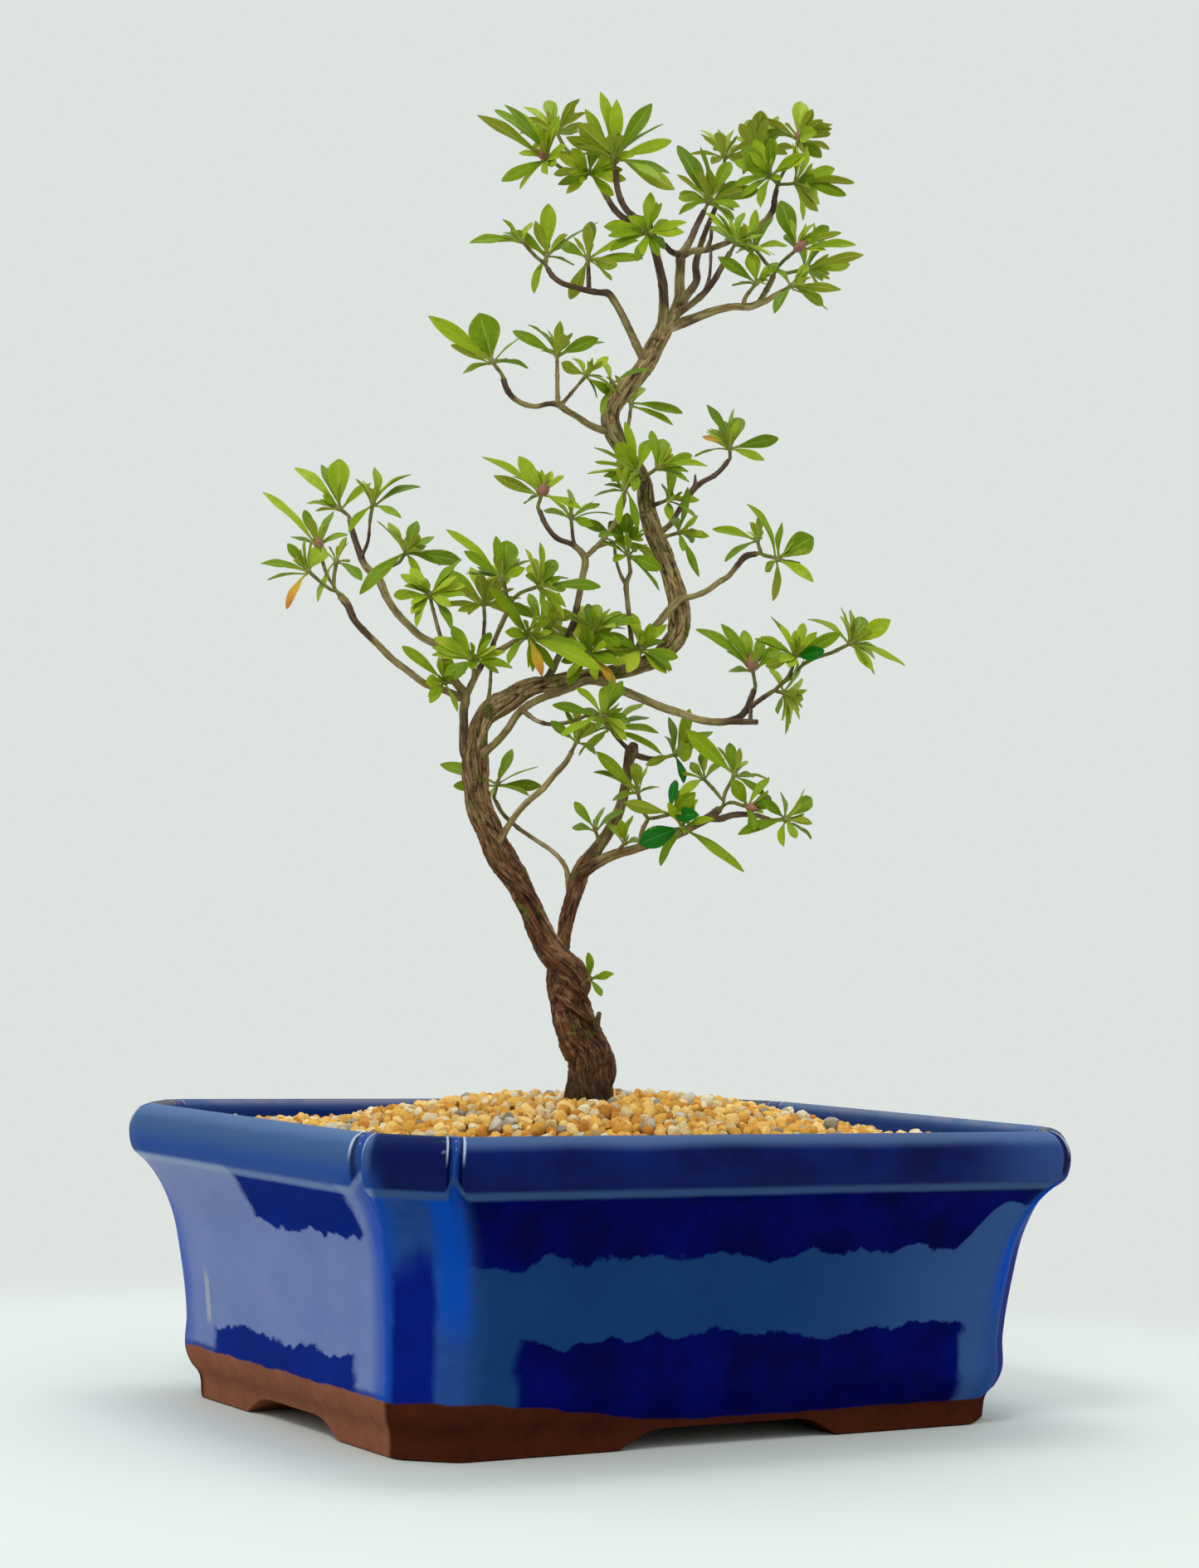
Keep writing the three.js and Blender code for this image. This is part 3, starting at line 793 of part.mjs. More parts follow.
// Three points on a bud, from which a leaf grows: two for its edges and one for its keel
function rootOf(seatOn, side, face) {
  const { centre, radius, out } = seatOn;
  const u = side.clone().addScaledVector(out, -side.dot(out)).normalize();
  const v = out.clone().cross(u);
  if (v.dot(face) < 0) v.negate();
  const rise = Math.sqrt(radius * radius - rootRadius * rootRadius);
  return [30, -90, 150].map((degrees) => {
    const angle = THREE.MathUtils.degToRad(degrees);
    return centre.clone().addScaledVector(out, rise)
      .addScaledVector(u, rootRadius * Math.cos(angle))
      .addScaledVector(v, rootRadius * Math.sin(angle));
  });
}

// A leaf: a thin blade, widest past its middle and pointed, flat above with a keel below, and arched along
// its length. upper is the way its upper side faces.
function blade(seatOn, tip, width, upper, arch) {
  const { base } = seatOn;
  const length = base.distanceTo(tip);
  const along = tip.clone().sub(base).normalize();
  const face = upper.clone().addScaledVector(along, -upper.dot(along)).normalize();
  const side = along.clone().cross(face);
  const root = rootOf(seatOn, side, face);
  const stations = length < longLeaf ? shortStations : longStations;
  const rings = stations.map(([t, share]) => {
    const middle = base.clone().addScaledVector(along, t * length)
      .addScaledVector(face, arch * length * 4 * t * (1 - t));
    const half = (width * share) / 2;
    return [
      middle.clone().addScaledVector(side, half),
      middle.clone().addScaledVector(face, -leafThick),
      middle.clone().addScaledVector(side, -half),
    ];
  });
  return { root, solid: loft([root, ...rings], null, tip) };
}

// Where a laid-out leaf's tip lies: as seen at [x, z], and as deep as makes it a leaf of the usual length
function seenTip(centre, leaf, seed, attempt) {
  const [x, z, seen, beyond] = leaf;
  const flat = Math.hypot(x - centre.x, z - centre.z);
  const target = usualLeaf * (0.82 + 0.3 * draw(seed, 11));
  const missing = Math.min(deepestLeaf, Math.sqrt(Math.max(0, target * target - flat * flat)) * 0.8);
  const rising = z > centre.z - 3;
  const usual = seen > 0 === rising ? -missing : missing;
  return place([x, z, -centre.y + (beyond ?? usual) + depthShifts[attempt]]);
}

// A laid-out leaf. Its real width and its roll follow from the width that is seen.
function seenLeaf(seatOn, leaf, seed, attempt) {
  const seen = leaf[2];
  const tip = seenTip(seatOn.centre, leaf, seed, attempt);
  const length = seatOn.base.distanceTo(tip);
  const usual = length * (0.2 + 0.06 * draw(seed, 12));
  const width = Math.max(Math.abs(seen), Math.min(wideLeaf, Math.max(narrowLeaf, usual)));
  const roll = Math.acos(Math.min(1, Math.abs(seen) / width));
  const along = tip.clone().sub(seatOn.base).normalize();
  const eye = v3(0, -1, 0);
  const toEye = eye.clone().addScaledVector(along, -eye.dot(along)).normalize();
  const across = along.clone().cross(toEye);
  const lift = across.z > 0 ? 1 : -1;
  const upper = toEye.clone().multiplyScalar(seen > 0 ? Math.cos(roll) : -Math.cos(roll))
    .addScaledVector(across, lift * Math.sin(roll));
  return blade(seatOn, tip, width, upper, 0.04 + 0.06 * draw(seed, 13));
}

// The way that a leaf grows which fills the far side of a shoot
function fillWay(axis, number, seed, attempt) {
  const eye = v3(0, -1, 0);
  const first = Math.abs(axis.z) < 0.9 ? v3(0, 0, 1).cross(axis).normalize() : v3(1, 0, 0);
  const second = axis.clone().cross(first);
  const angle = number * fillTurn + 2 * Math.PI * draw(seed, 21) + attempt * attemptTurn;
  const tilt = 0.9 + 0.5 * draw(seed, 22);
  const way = axis.clone().multiplyScalar(Math.cos(tilt))
    .addScaledVector(first, Math.cos(angle) * Math.sin(tilt))
    .addScaledVector(second, Math.sin(angle) * Math.sin(tilt))
    .add(v3(0, 0, 0.12)).normalize();
  if (way.dot(eye) > 0.1) way.addScaledVector(eye, -2 * way.dot(eye));
  return way;
}

function fillLeaf(seatOn, axis, number, seed, attempt) {
  const length = fillLength[0] + fillLength[1] * draw(seed, 23);
  const tip = seatOn.base.clone().addScaledVector(fillWay(axis, number, seed, attempt), length);
  const upper = v3(0.25 * (draw(seed, 24) - 0.5), 0, 1).addScaledVector(axis, 0.6);
  return blade(seatOn, tip, length * (0.24 + 0.06 * draw(seed, 25)), upper, 0.05 + 0.06 * draw(seed, 26));
}

// Where a route of the wood ends, which way it points there, and how thick it is
function endOf(points) {
  const last = points.at(-1);
  const end = place(last);
  const way = end.clone().sub(place(points.at(-2))).normalize();
  return { end, way, radius: last[3] };
}

// A shoot: a thin stem through its stops, which ends on the round bud that the leaves grow from. Only the
// first shoot of a spray reaches back to the wood's end; the others start inside it, at the fork.
function shootOf(spray, twig, isFirst) {
  const { end, way, radius } = endOf(wood[spray.from][1]);
  const fork = end.clone().addScaledVector(way, seat + forkLength);
  const centres = isFirst ? [end.clone().addScaledVector(way, seat)] : [];
  const radii = isFirst ? [radius] : [];
  const stops = [fork, ...twig.stem.map(place)];
  const last = stops.at(-1);
  const axis = stops.length > 1 ? last.clone().sub(stops.at(-2)).normalize() : way;
  const bud = budRadius + budGrowth * (twig.leaves.length + twig.fill);
  const centre = last.clone().addScaledVector(axis, 2 * bud);
  const foot = centre.clone().addScaledVector(axis, -Math.sqrt(bud * bud - stemRadius * stemRadius));
  centres.push(...stops, foot);
  radii.push(...stops.map(() => stemRadius), stemRadius);
  const { solid, lastRing } = tube(centres, radii, stemSides);
  return { stem: solid, lastRing, axis, centre, bud };
}

// Spreads the leaves' roots over a bud, so that no two meet and none meets the stem
function spreadRoots(ways, axis, bud) {
  const outs = ways.map((way) => way.clone().normalize());
  const rootAngle = Math.asin(rootRadius / bud) * rootClearance;
  const stemAngle = Math.asin(stemRadius / bud) * rootClearance;
  const part = (fixed, out, least) => {
    const angle = fixed.angleTo(out);
    if (angle < least) {
      const turn = fixed.clone().cross(out);
      if (turn.lengthSq() < 1e-6) turn.set(0.3, 0.5, 0.7);
      out.applyAxisAngle(turn.normalize(), least - angle);
    }
  };
  const back = axis.clone().negate();
  for (let round = 0; round < spreadRounds; round += 1) {
    for (let i = 0; i < outs.length; i += 1) {
      for (let j = i + 1; j < outs.length; j += 1) {
        const first = outs[i].clone();
        const least = (outs[i].angleTo(outs[j]) + 2 * rootAngle) / 2;
        part(outs[j], outs[i], Math.min(least, 2 * rootAngle));
        part(first, outs[j], 2 * rootAngle);
      }
      part(back, outs[i], rootAngle + stemAngle);
    }
  }
  return outs;
}

const clearOf = (a, b) => {
  const p = a.box;
  const q = b.box;
  for (let i = 0; i < 3; i += 1) {
    if (p.min[i] > q.max[i] + leafGap || q.min[i] > p.max[i] + leafGap) return true;
  }
  return a.solid.minGap(b.solid, leafGap * 2) > leafGap;
};

const crosses = (a, b) => {
  const p = a.box;
  const q = b.box;
  for (let i = 0; i < 3; i += 1) {
    if (p.min[i] > q.max[i] || q.min[i] > p.max[i]) return false;
  }
  return a.solid.minGap(b.solid, ownGap * 2) < ownGap;
};

const boxed = (solid, owner) => ({ solid, owner, box: solid.boundingBox() });

// The shoots of every spray first, then the leaves that are laid out, then those that fill. A leaf that
// would touch another spray or the wood is bent clear in small steps, and is left out if none is clear.
function makeSprays(woodSolid) {
  const taken = [boxed(woodSolid, 'wood')];
  const shoots = [];
  Object.entries(sprays).forEach(([name, spray], s) => {
    spray.twigs.forEach((twig, t) => {
      const shoot = shootOf(spray, twig, t === 0);
      const seed = s * spraySeed + t * twigSeed;
      const ball = new THREE.IcosahedronGeometry(shoot.bud * budClearance, 0)
        .translate(shoot.centre.x, shoot.centre.y, shoot.centre.z);
      taken.push(boxed(shoot.stem, name), boxed(solidOfGeometry(ball), name));
      const ways = twig.leaves.map((leaf, k) => seenTip(shoot.centre, leaf, seed + k, 0).sub(shoot.centre));
      for (let k = 0; k < twig.fill; k += 1) ways.push(fillWay(shoot.axis, k, seed + fillSeed + k, 0));
      const outs = spreadRoots(ways, shoot.axis, shoot.bud);
      shoots.push({ ...shoot, name, twig, seed, outs, blades: [] });
    });
  });
  const addLeaf = (shoot, out, make) => {
    const rise = Math.sqrt(shoot.bud * shoot.bud - rootRadius * rootRadius);
    const base = shoot.centre.clone().addScaledVector(out, rise);
    const seatOn = { centre: shoot.centre, radius: shoot.bud, out, base };
    for (let attempt = 0; attempt < depthShifts.length; attempt += 1) {
      const { root, solid } = make(seatOn, attempt);
      const leaf = boxed(solid, shoot.name);
      const blocked = taken.some((other) => (other.owner === shoot.name
        ? other.root && crosses(leaf, other) : !clearOf(leaf, other)));
      if (!blocked) {
        taken.push({ ...leaf, root });
        shoot.blades.push({ root, solid });
        return;
      }
    }
  };
  for (const shoot of shoots) {
    shoot.twig.leaves.forEach((leaf, k) => addLeaf(shoot, shoot.outs[k],
      (seatOn, attempt) => seenLeaf(seatOn, leaf, shoot.seed + k, attempt)));
  }
  for (const shoot of shoots) {
    for (let k = 0; k < shoot.twig.fill; k += 1) {
      addLeaf(shoot, shoot.outs[shoot.twig.leaves.length + k],
        (seatOn, attempt) => fillLeaf(seatOn, shoot.axis, k, shoot.seed + fillSeed + k, attempt));
    }
  }
  return Object.keys(sprays).map((name) => {
    const own = shoots.filter((shoot) => shoot.name === name).flatMap((shoot) => {
      const skin = [...shoot.lastRing, ...shoot.blades.flatMap((leaf) => leaf.root)];
      const bud = shoot.blades.length ? [solidOfGeometry(new ConvexGeometry(skin))] : [];
      return [shoot.stem, ...bud, ...shoot.blades.map((leaf) => leaf.solid)];
    });
    return [name, oneBody(join(own).simplify(leafSmooth))];
  });
}

function meshOf(name, solid, material) {
  const mesh = new THREE.Mesh(geometryOf(solid), material);
  mesh.name = name;
  return mesh;
}

const group = new THREE.Group();
group.add(meshOf('pot', makePot(), materials.glaze));
group.add(meshOf('screen_left', makeScreen(-1), materials.plastic));
group.add(meshOf('screen_right', makeScreen(1), materials.plastic));
group.add(meshOf('soil', makeSoil(), materials.soil));
group.add(meshOf('gravel', makeGravel(), materials.gravel));

const tree = new THREE.Group();
tree.position.copy(treeFoot);
tree.rotation.z = treeTurn;
const woodSolid = oneBody(join(Object.values(wood).map(branch)).simplify(woodSmooth));
tree.add(meshOf('trunk', woodSolid, materials.bark));
for (const [name, solid] of makeSprays(woodSolid)) tree.add(meshOf(`leaves_${name}`, solid, materials.leaf));
group.add(tree);

export default group;
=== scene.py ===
"""A satsuki azalea bonsai in gravel, in a cobalt glazed pot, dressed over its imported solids."""

import math

import bpy
import numpy as np
from mathutils import Matrix, Quaternion, Vector, kdtree, noise


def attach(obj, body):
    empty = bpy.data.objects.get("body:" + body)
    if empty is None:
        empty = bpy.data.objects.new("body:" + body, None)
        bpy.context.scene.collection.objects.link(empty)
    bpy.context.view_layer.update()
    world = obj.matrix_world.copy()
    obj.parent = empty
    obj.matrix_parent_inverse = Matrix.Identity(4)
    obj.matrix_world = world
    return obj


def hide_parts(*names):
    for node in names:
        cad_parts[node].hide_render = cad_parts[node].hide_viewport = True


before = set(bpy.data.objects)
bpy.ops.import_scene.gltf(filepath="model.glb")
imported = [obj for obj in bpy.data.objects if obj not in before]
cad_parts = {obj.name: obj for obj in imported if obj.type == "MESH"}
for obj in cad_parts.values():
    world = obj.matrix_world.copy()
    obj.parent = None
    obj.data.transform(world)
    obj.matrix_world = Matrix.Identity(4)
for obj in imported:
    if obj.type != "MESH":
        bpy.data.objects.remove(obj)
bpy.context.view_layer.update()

# Sizes are in millimetres, and MM turns them into metres
MM = 0.001

# The pot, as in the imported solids
POT_LENGTH = 260
POT_WIDTH = 200
DENT_HALF = 3.4
DENT_TURN = math.pi / 8
DENT_STEPS = 14
CUT_STEPS = 6
SIDE_STEPS = 18
LEVEL_STEP = 1.7
FOOT_INSET = 23
FOOT_RING = 16
ARCH_RISE = 6
ARCH_SLANT = 11
ARCH_HALVES = (40, 31)
ARCH_ROUND = (5, 6)
ARCH_STEPS = 6
RECESS_RISE = 3.5
FLOOR_TOP = 17
DRAIN_RADIUS = 10
DRAIN_OFFSET = 52
DRAIN_SIDES = 40
CUT_BELOW = 2
SCREEN_SIZE = 34
SCREEN_THICK = 1.2
SCREEN_RIM = 1.6
SCREEN_CELLS = 12
HALF_STRAND = 0.2
SEAT = 0.3
WALL_GAP = 0.7
USUAL_CREASE = 50
# Levels of the wall: height, how far it lies inside the lip, the corner cut's legs, and the dents' depth
OUTSIDE = [
    (0, 24.2, 14, 12, 0), (0.5, 23.2, 14, 12, 0), (8.4, 22, 14, 12, 0), (10.4, 20.4, 14.4, 12.4, 0.1),
    (14, 18.9, 14.8, 12.6, 0.2), (26, 18.4, 15.2, 13, 0.3), (45, 16, 16.4, 14, 0.5),
    (60, 12.6, 17.6, 16, 0.9), (69, 8.4, 18.4, 18.8, 1.6), (75, 3.9, 19, 21.4, 3),
    (77.4, 1.3, 19.3, 22.8, 3.8), (82, 0, 19.5, 23.5, 3.6), (87.6, 0.3, 19.5, 23.5, 2.8),
    (91.2, 2.5, 18.6, 22.4, 2.2), (92.6, 5.6, 17, 20.6, 1.6),
]
INSIDE = [
    (92.2, 7.8, 16, 19.4, 0.6), (90.4, 9.4, 15, 18.4, 0), (82, 11.2, 14, 17.4, 0), (64, 20.4, 12, 13, 0),
    (40, 25.6, 11, 10, 0), (24, 28, 10, 8.6, 0), (FLOOR_TOP, 33, 9, 7.6, 0),
]
# The insets between which the lip's crest and its inner side begin, and the heights of the crest
CREST_INSETS = (5.4, 7.2)
CREST_HEIGHTS = (89.6, 91.8)
INNER_INSETS = (7, 9)
# The filling at its top and at its foot: how far it lies inside the lip, and the corner cut's legs
FILL_TOP = (11, 14, 17.4)
FILL_FOOT = (14, 13.4, 16)

# The glaze. Each pair is a stretch over which one tone gives way to the next, and each pair of pairs
# is the two ends of a patch. Heights are above the foot, and the other places are along x or y.
# SHORT_SIDE is where the short sides begin, by how much farther out they lie along x than along y.
# Among the glaze's tones, the slate and pale bands, the paling along x, the glows, the streak and the lip's
# lighter parts are painted reflections and highlights
BAND_FOOT = (56, 57)
BAND_CLIMB = (76, 92)
CLIMB_RISE = 13
LOW_BAND_TOP = (32.6, 33.6)
LOW_BAND_ENDS = ((-80, -76), (82, 86))
SLATE_PALING = (10, 105)
SHORT_SIDE = (44, 47)
PALE_END = (-20, 20)
PATCH_FOOT = (61, 62)
PATCH_ENDS = ((-66, -62), (4, 8))
EDGE_TOP = (26, 27.2)
EDGE_ENDS = ((-50, -46), (44, 48))
EDGE_LINE = (17.5, 19.5)
STREAK_MIDDLE = 49.5
STREAK_HALF = (0.8, 2.2)
STREAK_HEIGHTS = ((24, 28), (38, 44))
LIP_FOOT = (76.6, 78.2)
LIP_LINE = (74.4, 75.8)
LIP_CLIMB = 4.5
LIP_TOP = (88, 91.6)
LIP_PALING = (60, 112)
LIP_SIDE_HEIGHTS = (80, 88)
INNER_WALL = (40, 44)
CLAY_TOP = (8.0, 8.7)
CLAY_RISE = 8.6
CLAY_CLIMB = (-100, -10)
# Places across a corner's cut, counted from CUT_MIDDLE: its ends lie at about 15 on the wall and 21 on
# the lip
CUT_MIDDLE = 29.5
CUT_GLAZE = (13, 25)
CUT_PANEL = (15, 18)
CUT_PANEL_HEIGHTS = (77, 86)
CUT_SIDE = (8, 22)
LEFT_GLOW = -12
LEFT_GLOW_REACH = (2, 10)
LEFT_GLOW_HEIGHTS = (28, 46)
RIGHT_GLOW = 17
RIGHT_GLOW_REACH = (1, 9)
FINGER = 4
FINGER_REACH = (7, 11)
FINGER_HEIGHTS = (54, 66)

# The gravel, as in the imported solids, and its grains
SOIL_TOP = 76
GRAVEL_EDGE = 84
GRAVEL_MOUND = 97.2
GRAVEL_FOOT = 93.8
MOUND_MIDDLE = (2, 4)
MOUND_REACH = (100, 72)
MOUND_POWER = 1.9
HOLLOW_REACH = 16
BED_BELOW = 0.2
BED_RINGS = 30
BED_RIPPLE = 0.8
RIPPLE_LENGTH = 3.2
GRAIN_RISE = 1.0
GRAIN_SCATTER = 2.2
GRAIN_PITCH = 3.9
ROW_SHARE = 0.84
GRAIN_SHAKE = 0.6
GRAIN_RADII = (1.75, 2.9)
GRAIN_WIDTHS = (0.72, 1)
GRAIN_HEIGHTS = (0.6, 0.85)
GRAIN_STEPS = 3
GRAIN_FACETS = 9
FACET_REACH = (0.62, 0.86)
GRAIN_SWELL = 1.12
GRAIN_LUMPS = 0.12
WALL_FREE = 0.4
TRUNK_FREE = 6.6
# The grains' kinds: the draw up to which a grain is of the kind, its finish, its tones and its specks
GRAIN_KINDS = {
    "grains_yellow": (0.44, "yellow_grains", ("d49a40", "f0be5a", "f8d88e"), "b87c34"),
    "grains_amber": (0.7, "amber_grains", ("c58432", "e6a646", "f0c068"), "9c5c20"),
    "grains_cream": (0.9, "cream_grains", ("cdab6c", "e6d09c", "f3e8c8"), "a67e42"),
    "grains_grey": (1, "grey_grains", ("8a8270", "bcb4a2", "dcd6c8"), "5c564c"),
}
GRAIN_STOPS = (0.1, 0.5, 0.9)

# The tree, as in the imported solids. Routes are laid out as seen from the tree's front by an eye at
# EYE_DISTANCE and EYE_HEIGHT: x to the right, z up from the trunk's foot, and w toward the eye.
TREE_TURN = Matrix.Rotation(math.radians(-32.46), 3, "Z")
TREE_FOOT = Vector((-4, 0, 96))
EYE_DISTANCE = 968
EYE_HEIGHT = 47.4
TO_EYE = Vector((0, -1, 0))
STEM_RADIUS = 0.6
BUD_RADIUS = 1
BUD_GROWTH = 0.05
ROOT_RADIUS = 0.5
ROOT_CLEARANCE = 1.04
SPREAD_ROUNDS = 40
FORK_LENGTH = 1
# A pair here is a least value and how much a draw may add to it
USUAL_LEAF = 18
LEAF_SHARE = (0.82, 0.3)
DEPTH_SHARE = 0.8
BELOW_BUD = 3
WIDTH_SHARE = (0.2, 0.06)
NARROW_LEAF = 3
WIDE_LEAF = 4.8
DEEPEST_LEAF = 11
FILL_LENGTH = (11, 5)
FILL_WIDTH = (0.24, 0.06)
FILL_TILT = (0.9, 0.5)
FILL_LIFT = 0.12
FILL_TURN = 2.4
FILL_SHOWN = 0.1
LEAF_ARCH = (0.04, 0.06)
FILL_ARCH = (0.05, 0.06)
THIN_ARCH = 0.05
YOUNG_ARCH = 0.06
ATTEMPT_TURN = 0.47
DEPTH_SHIFTS = (0, 3, -3, 6, -6, 9, -9, 12, -12)
SPRAY_SEED = 97
TWIG_SEED = 31
FILL_SEED = 50
THIN_SEED = 70
YOUNG_SEED = 80
SAME_PLACE = 0.3

# The bark's relief: wood is young up to the first radius of WOOD_AGES and old from the second on
THICK_WOOD = 2.2
WOOD_AGES = (1.0, THICK_WOOD + 0.6)
WOOD_STEP = 0.8
WOOD_SIDES = (12, 84)
SIDES_PER_MM = 11
TWIST = 0.022
# How wide and how long the bark's drifts, cracks and hair cracks are
DRIFT_SIZE = (5, 30)
CRACK_SIZE = (1.5, 15)
HAIR_SIZE = (0.7, 6)
CRACK_DEPTH = (0.05, 0.62)
BARK_RELIEF = 0.14
LUMP_RELIEF = 0.13
ROUGH_RELIEF = 0.06
NODE_SPACING = (5, 9)
NODE_RISE = 0.14
END_RISE = 0.3
# How the bark's values are laid out for its finish
FIBRE_SHORT = 7
FIBRE_APART = 3.7
# The heights over which brown bark gives way to grey-brown, and damp bark at the foot to dry
HIGH_BARK = (150, 250)
DAMP_BARK = (100, 114)

# The leaves' make
BLADE_STEPS = 11
BLADE_END = 0.55
BLADE_CROWDING = 0.92
BLADE_TOP = (-1, -0.6, -0.16, 0, 0.16, 0.6, 1)
BLADE_BACK = (0.6, 0.16, 0, -0.16, -0.6)
BLADE_WIDEST = (1.25, 1.65)
BLADE_BLUNT = (0.9, 0.66)
BLADE_CUP = (-0.16, 0.34)
BLADE_SPIN = 0.7
BLADE_WAVE = 0.1
BLADE_WIDER = 1.06
LEAF_THICK = 0.26
LEAF_STALK = 0.34
RIB_SUNK = 0.13
RIB_RAISED = 0.2
STEM_SIDES = 10
BUD_RINGS = 10
BUD_SIDES = 12
# The finishes of a spray's faces, by their order
LEAF, STEM, SHOOT_BUD, FLOWER_BUD = range(4)
# The young leaves of each shoot, how many more the fullest sprays' shoots have, and how many fewer the barest
YOUNG_LEAVES = 6
YOUNG_TILT = (0.15, 1.15)
YOUNG_LENGTH = (4.5, 7)
YOUNG_GROWTH = 5
YOUNG_WIDTH = (0.26, 0.34)
BARE_LEAVES = 5
BARE_SPRAYS = ("trunk", "behind", "low_spur", "upper_left")
LUSH_LEAVES = 9
LUSH_SPRAYS = ("crown", "heart", "centre", "left_inner", "left_elbow", "left_crotch", "middle", "long_shoot")
# The leaves that are dark and glossy, those that are yellow with age, and the shoots with flower buds
GLOSSY_LEAVES = {(13, 83.6), (27, 103.4), (24.4, 104.6), (71.4, 147.6), (7.8, 96.8), (32.4, 93.4)}
OLD_LEAVES = {(-102.4, 156), (-19.6, 136.6), (4.2, 134), (30, 216.2)}
RIPE_SHOOTS = {("left_end", 2), ("mid_left", 0), ("right_fork", 1), ("right_tuft", 0), ("low_right", 1),
               ("crown_right", 2), ("crown_left", 1)}

# The room: its colour, and where the floor runs into it. The lamps: place, size, watts and colour, in metres
ROOM = "dee3e0"
FLOOR_FADE = (260, 420)
FLOOR_HALF = 6.0
FLOOR_CELLS = 24
LAMP_AIM = (0, 0, 0.2)
LAMPS = {
    "key": ((-1.1, -0.8, 1.6), (0.5, 0.4), 11, (1, 0.985, 0.96)),
    "top": ((0.2, 0.3, 1.9), (0.9, 0.6), 9, (1, 1, 1)),
}
# The camera: its focal length, place, aim and how far it leans
FOCAL_LENGTH = 69.26
CAMERA_PLACE = Vector((-523.6, -817.0, 143.4))
CAMERA_AIM = Vector((-2.852, 1.814, 198.63))
CAMERA_LEAN = math.radians(1.64)
CAMERA_REACH = 50

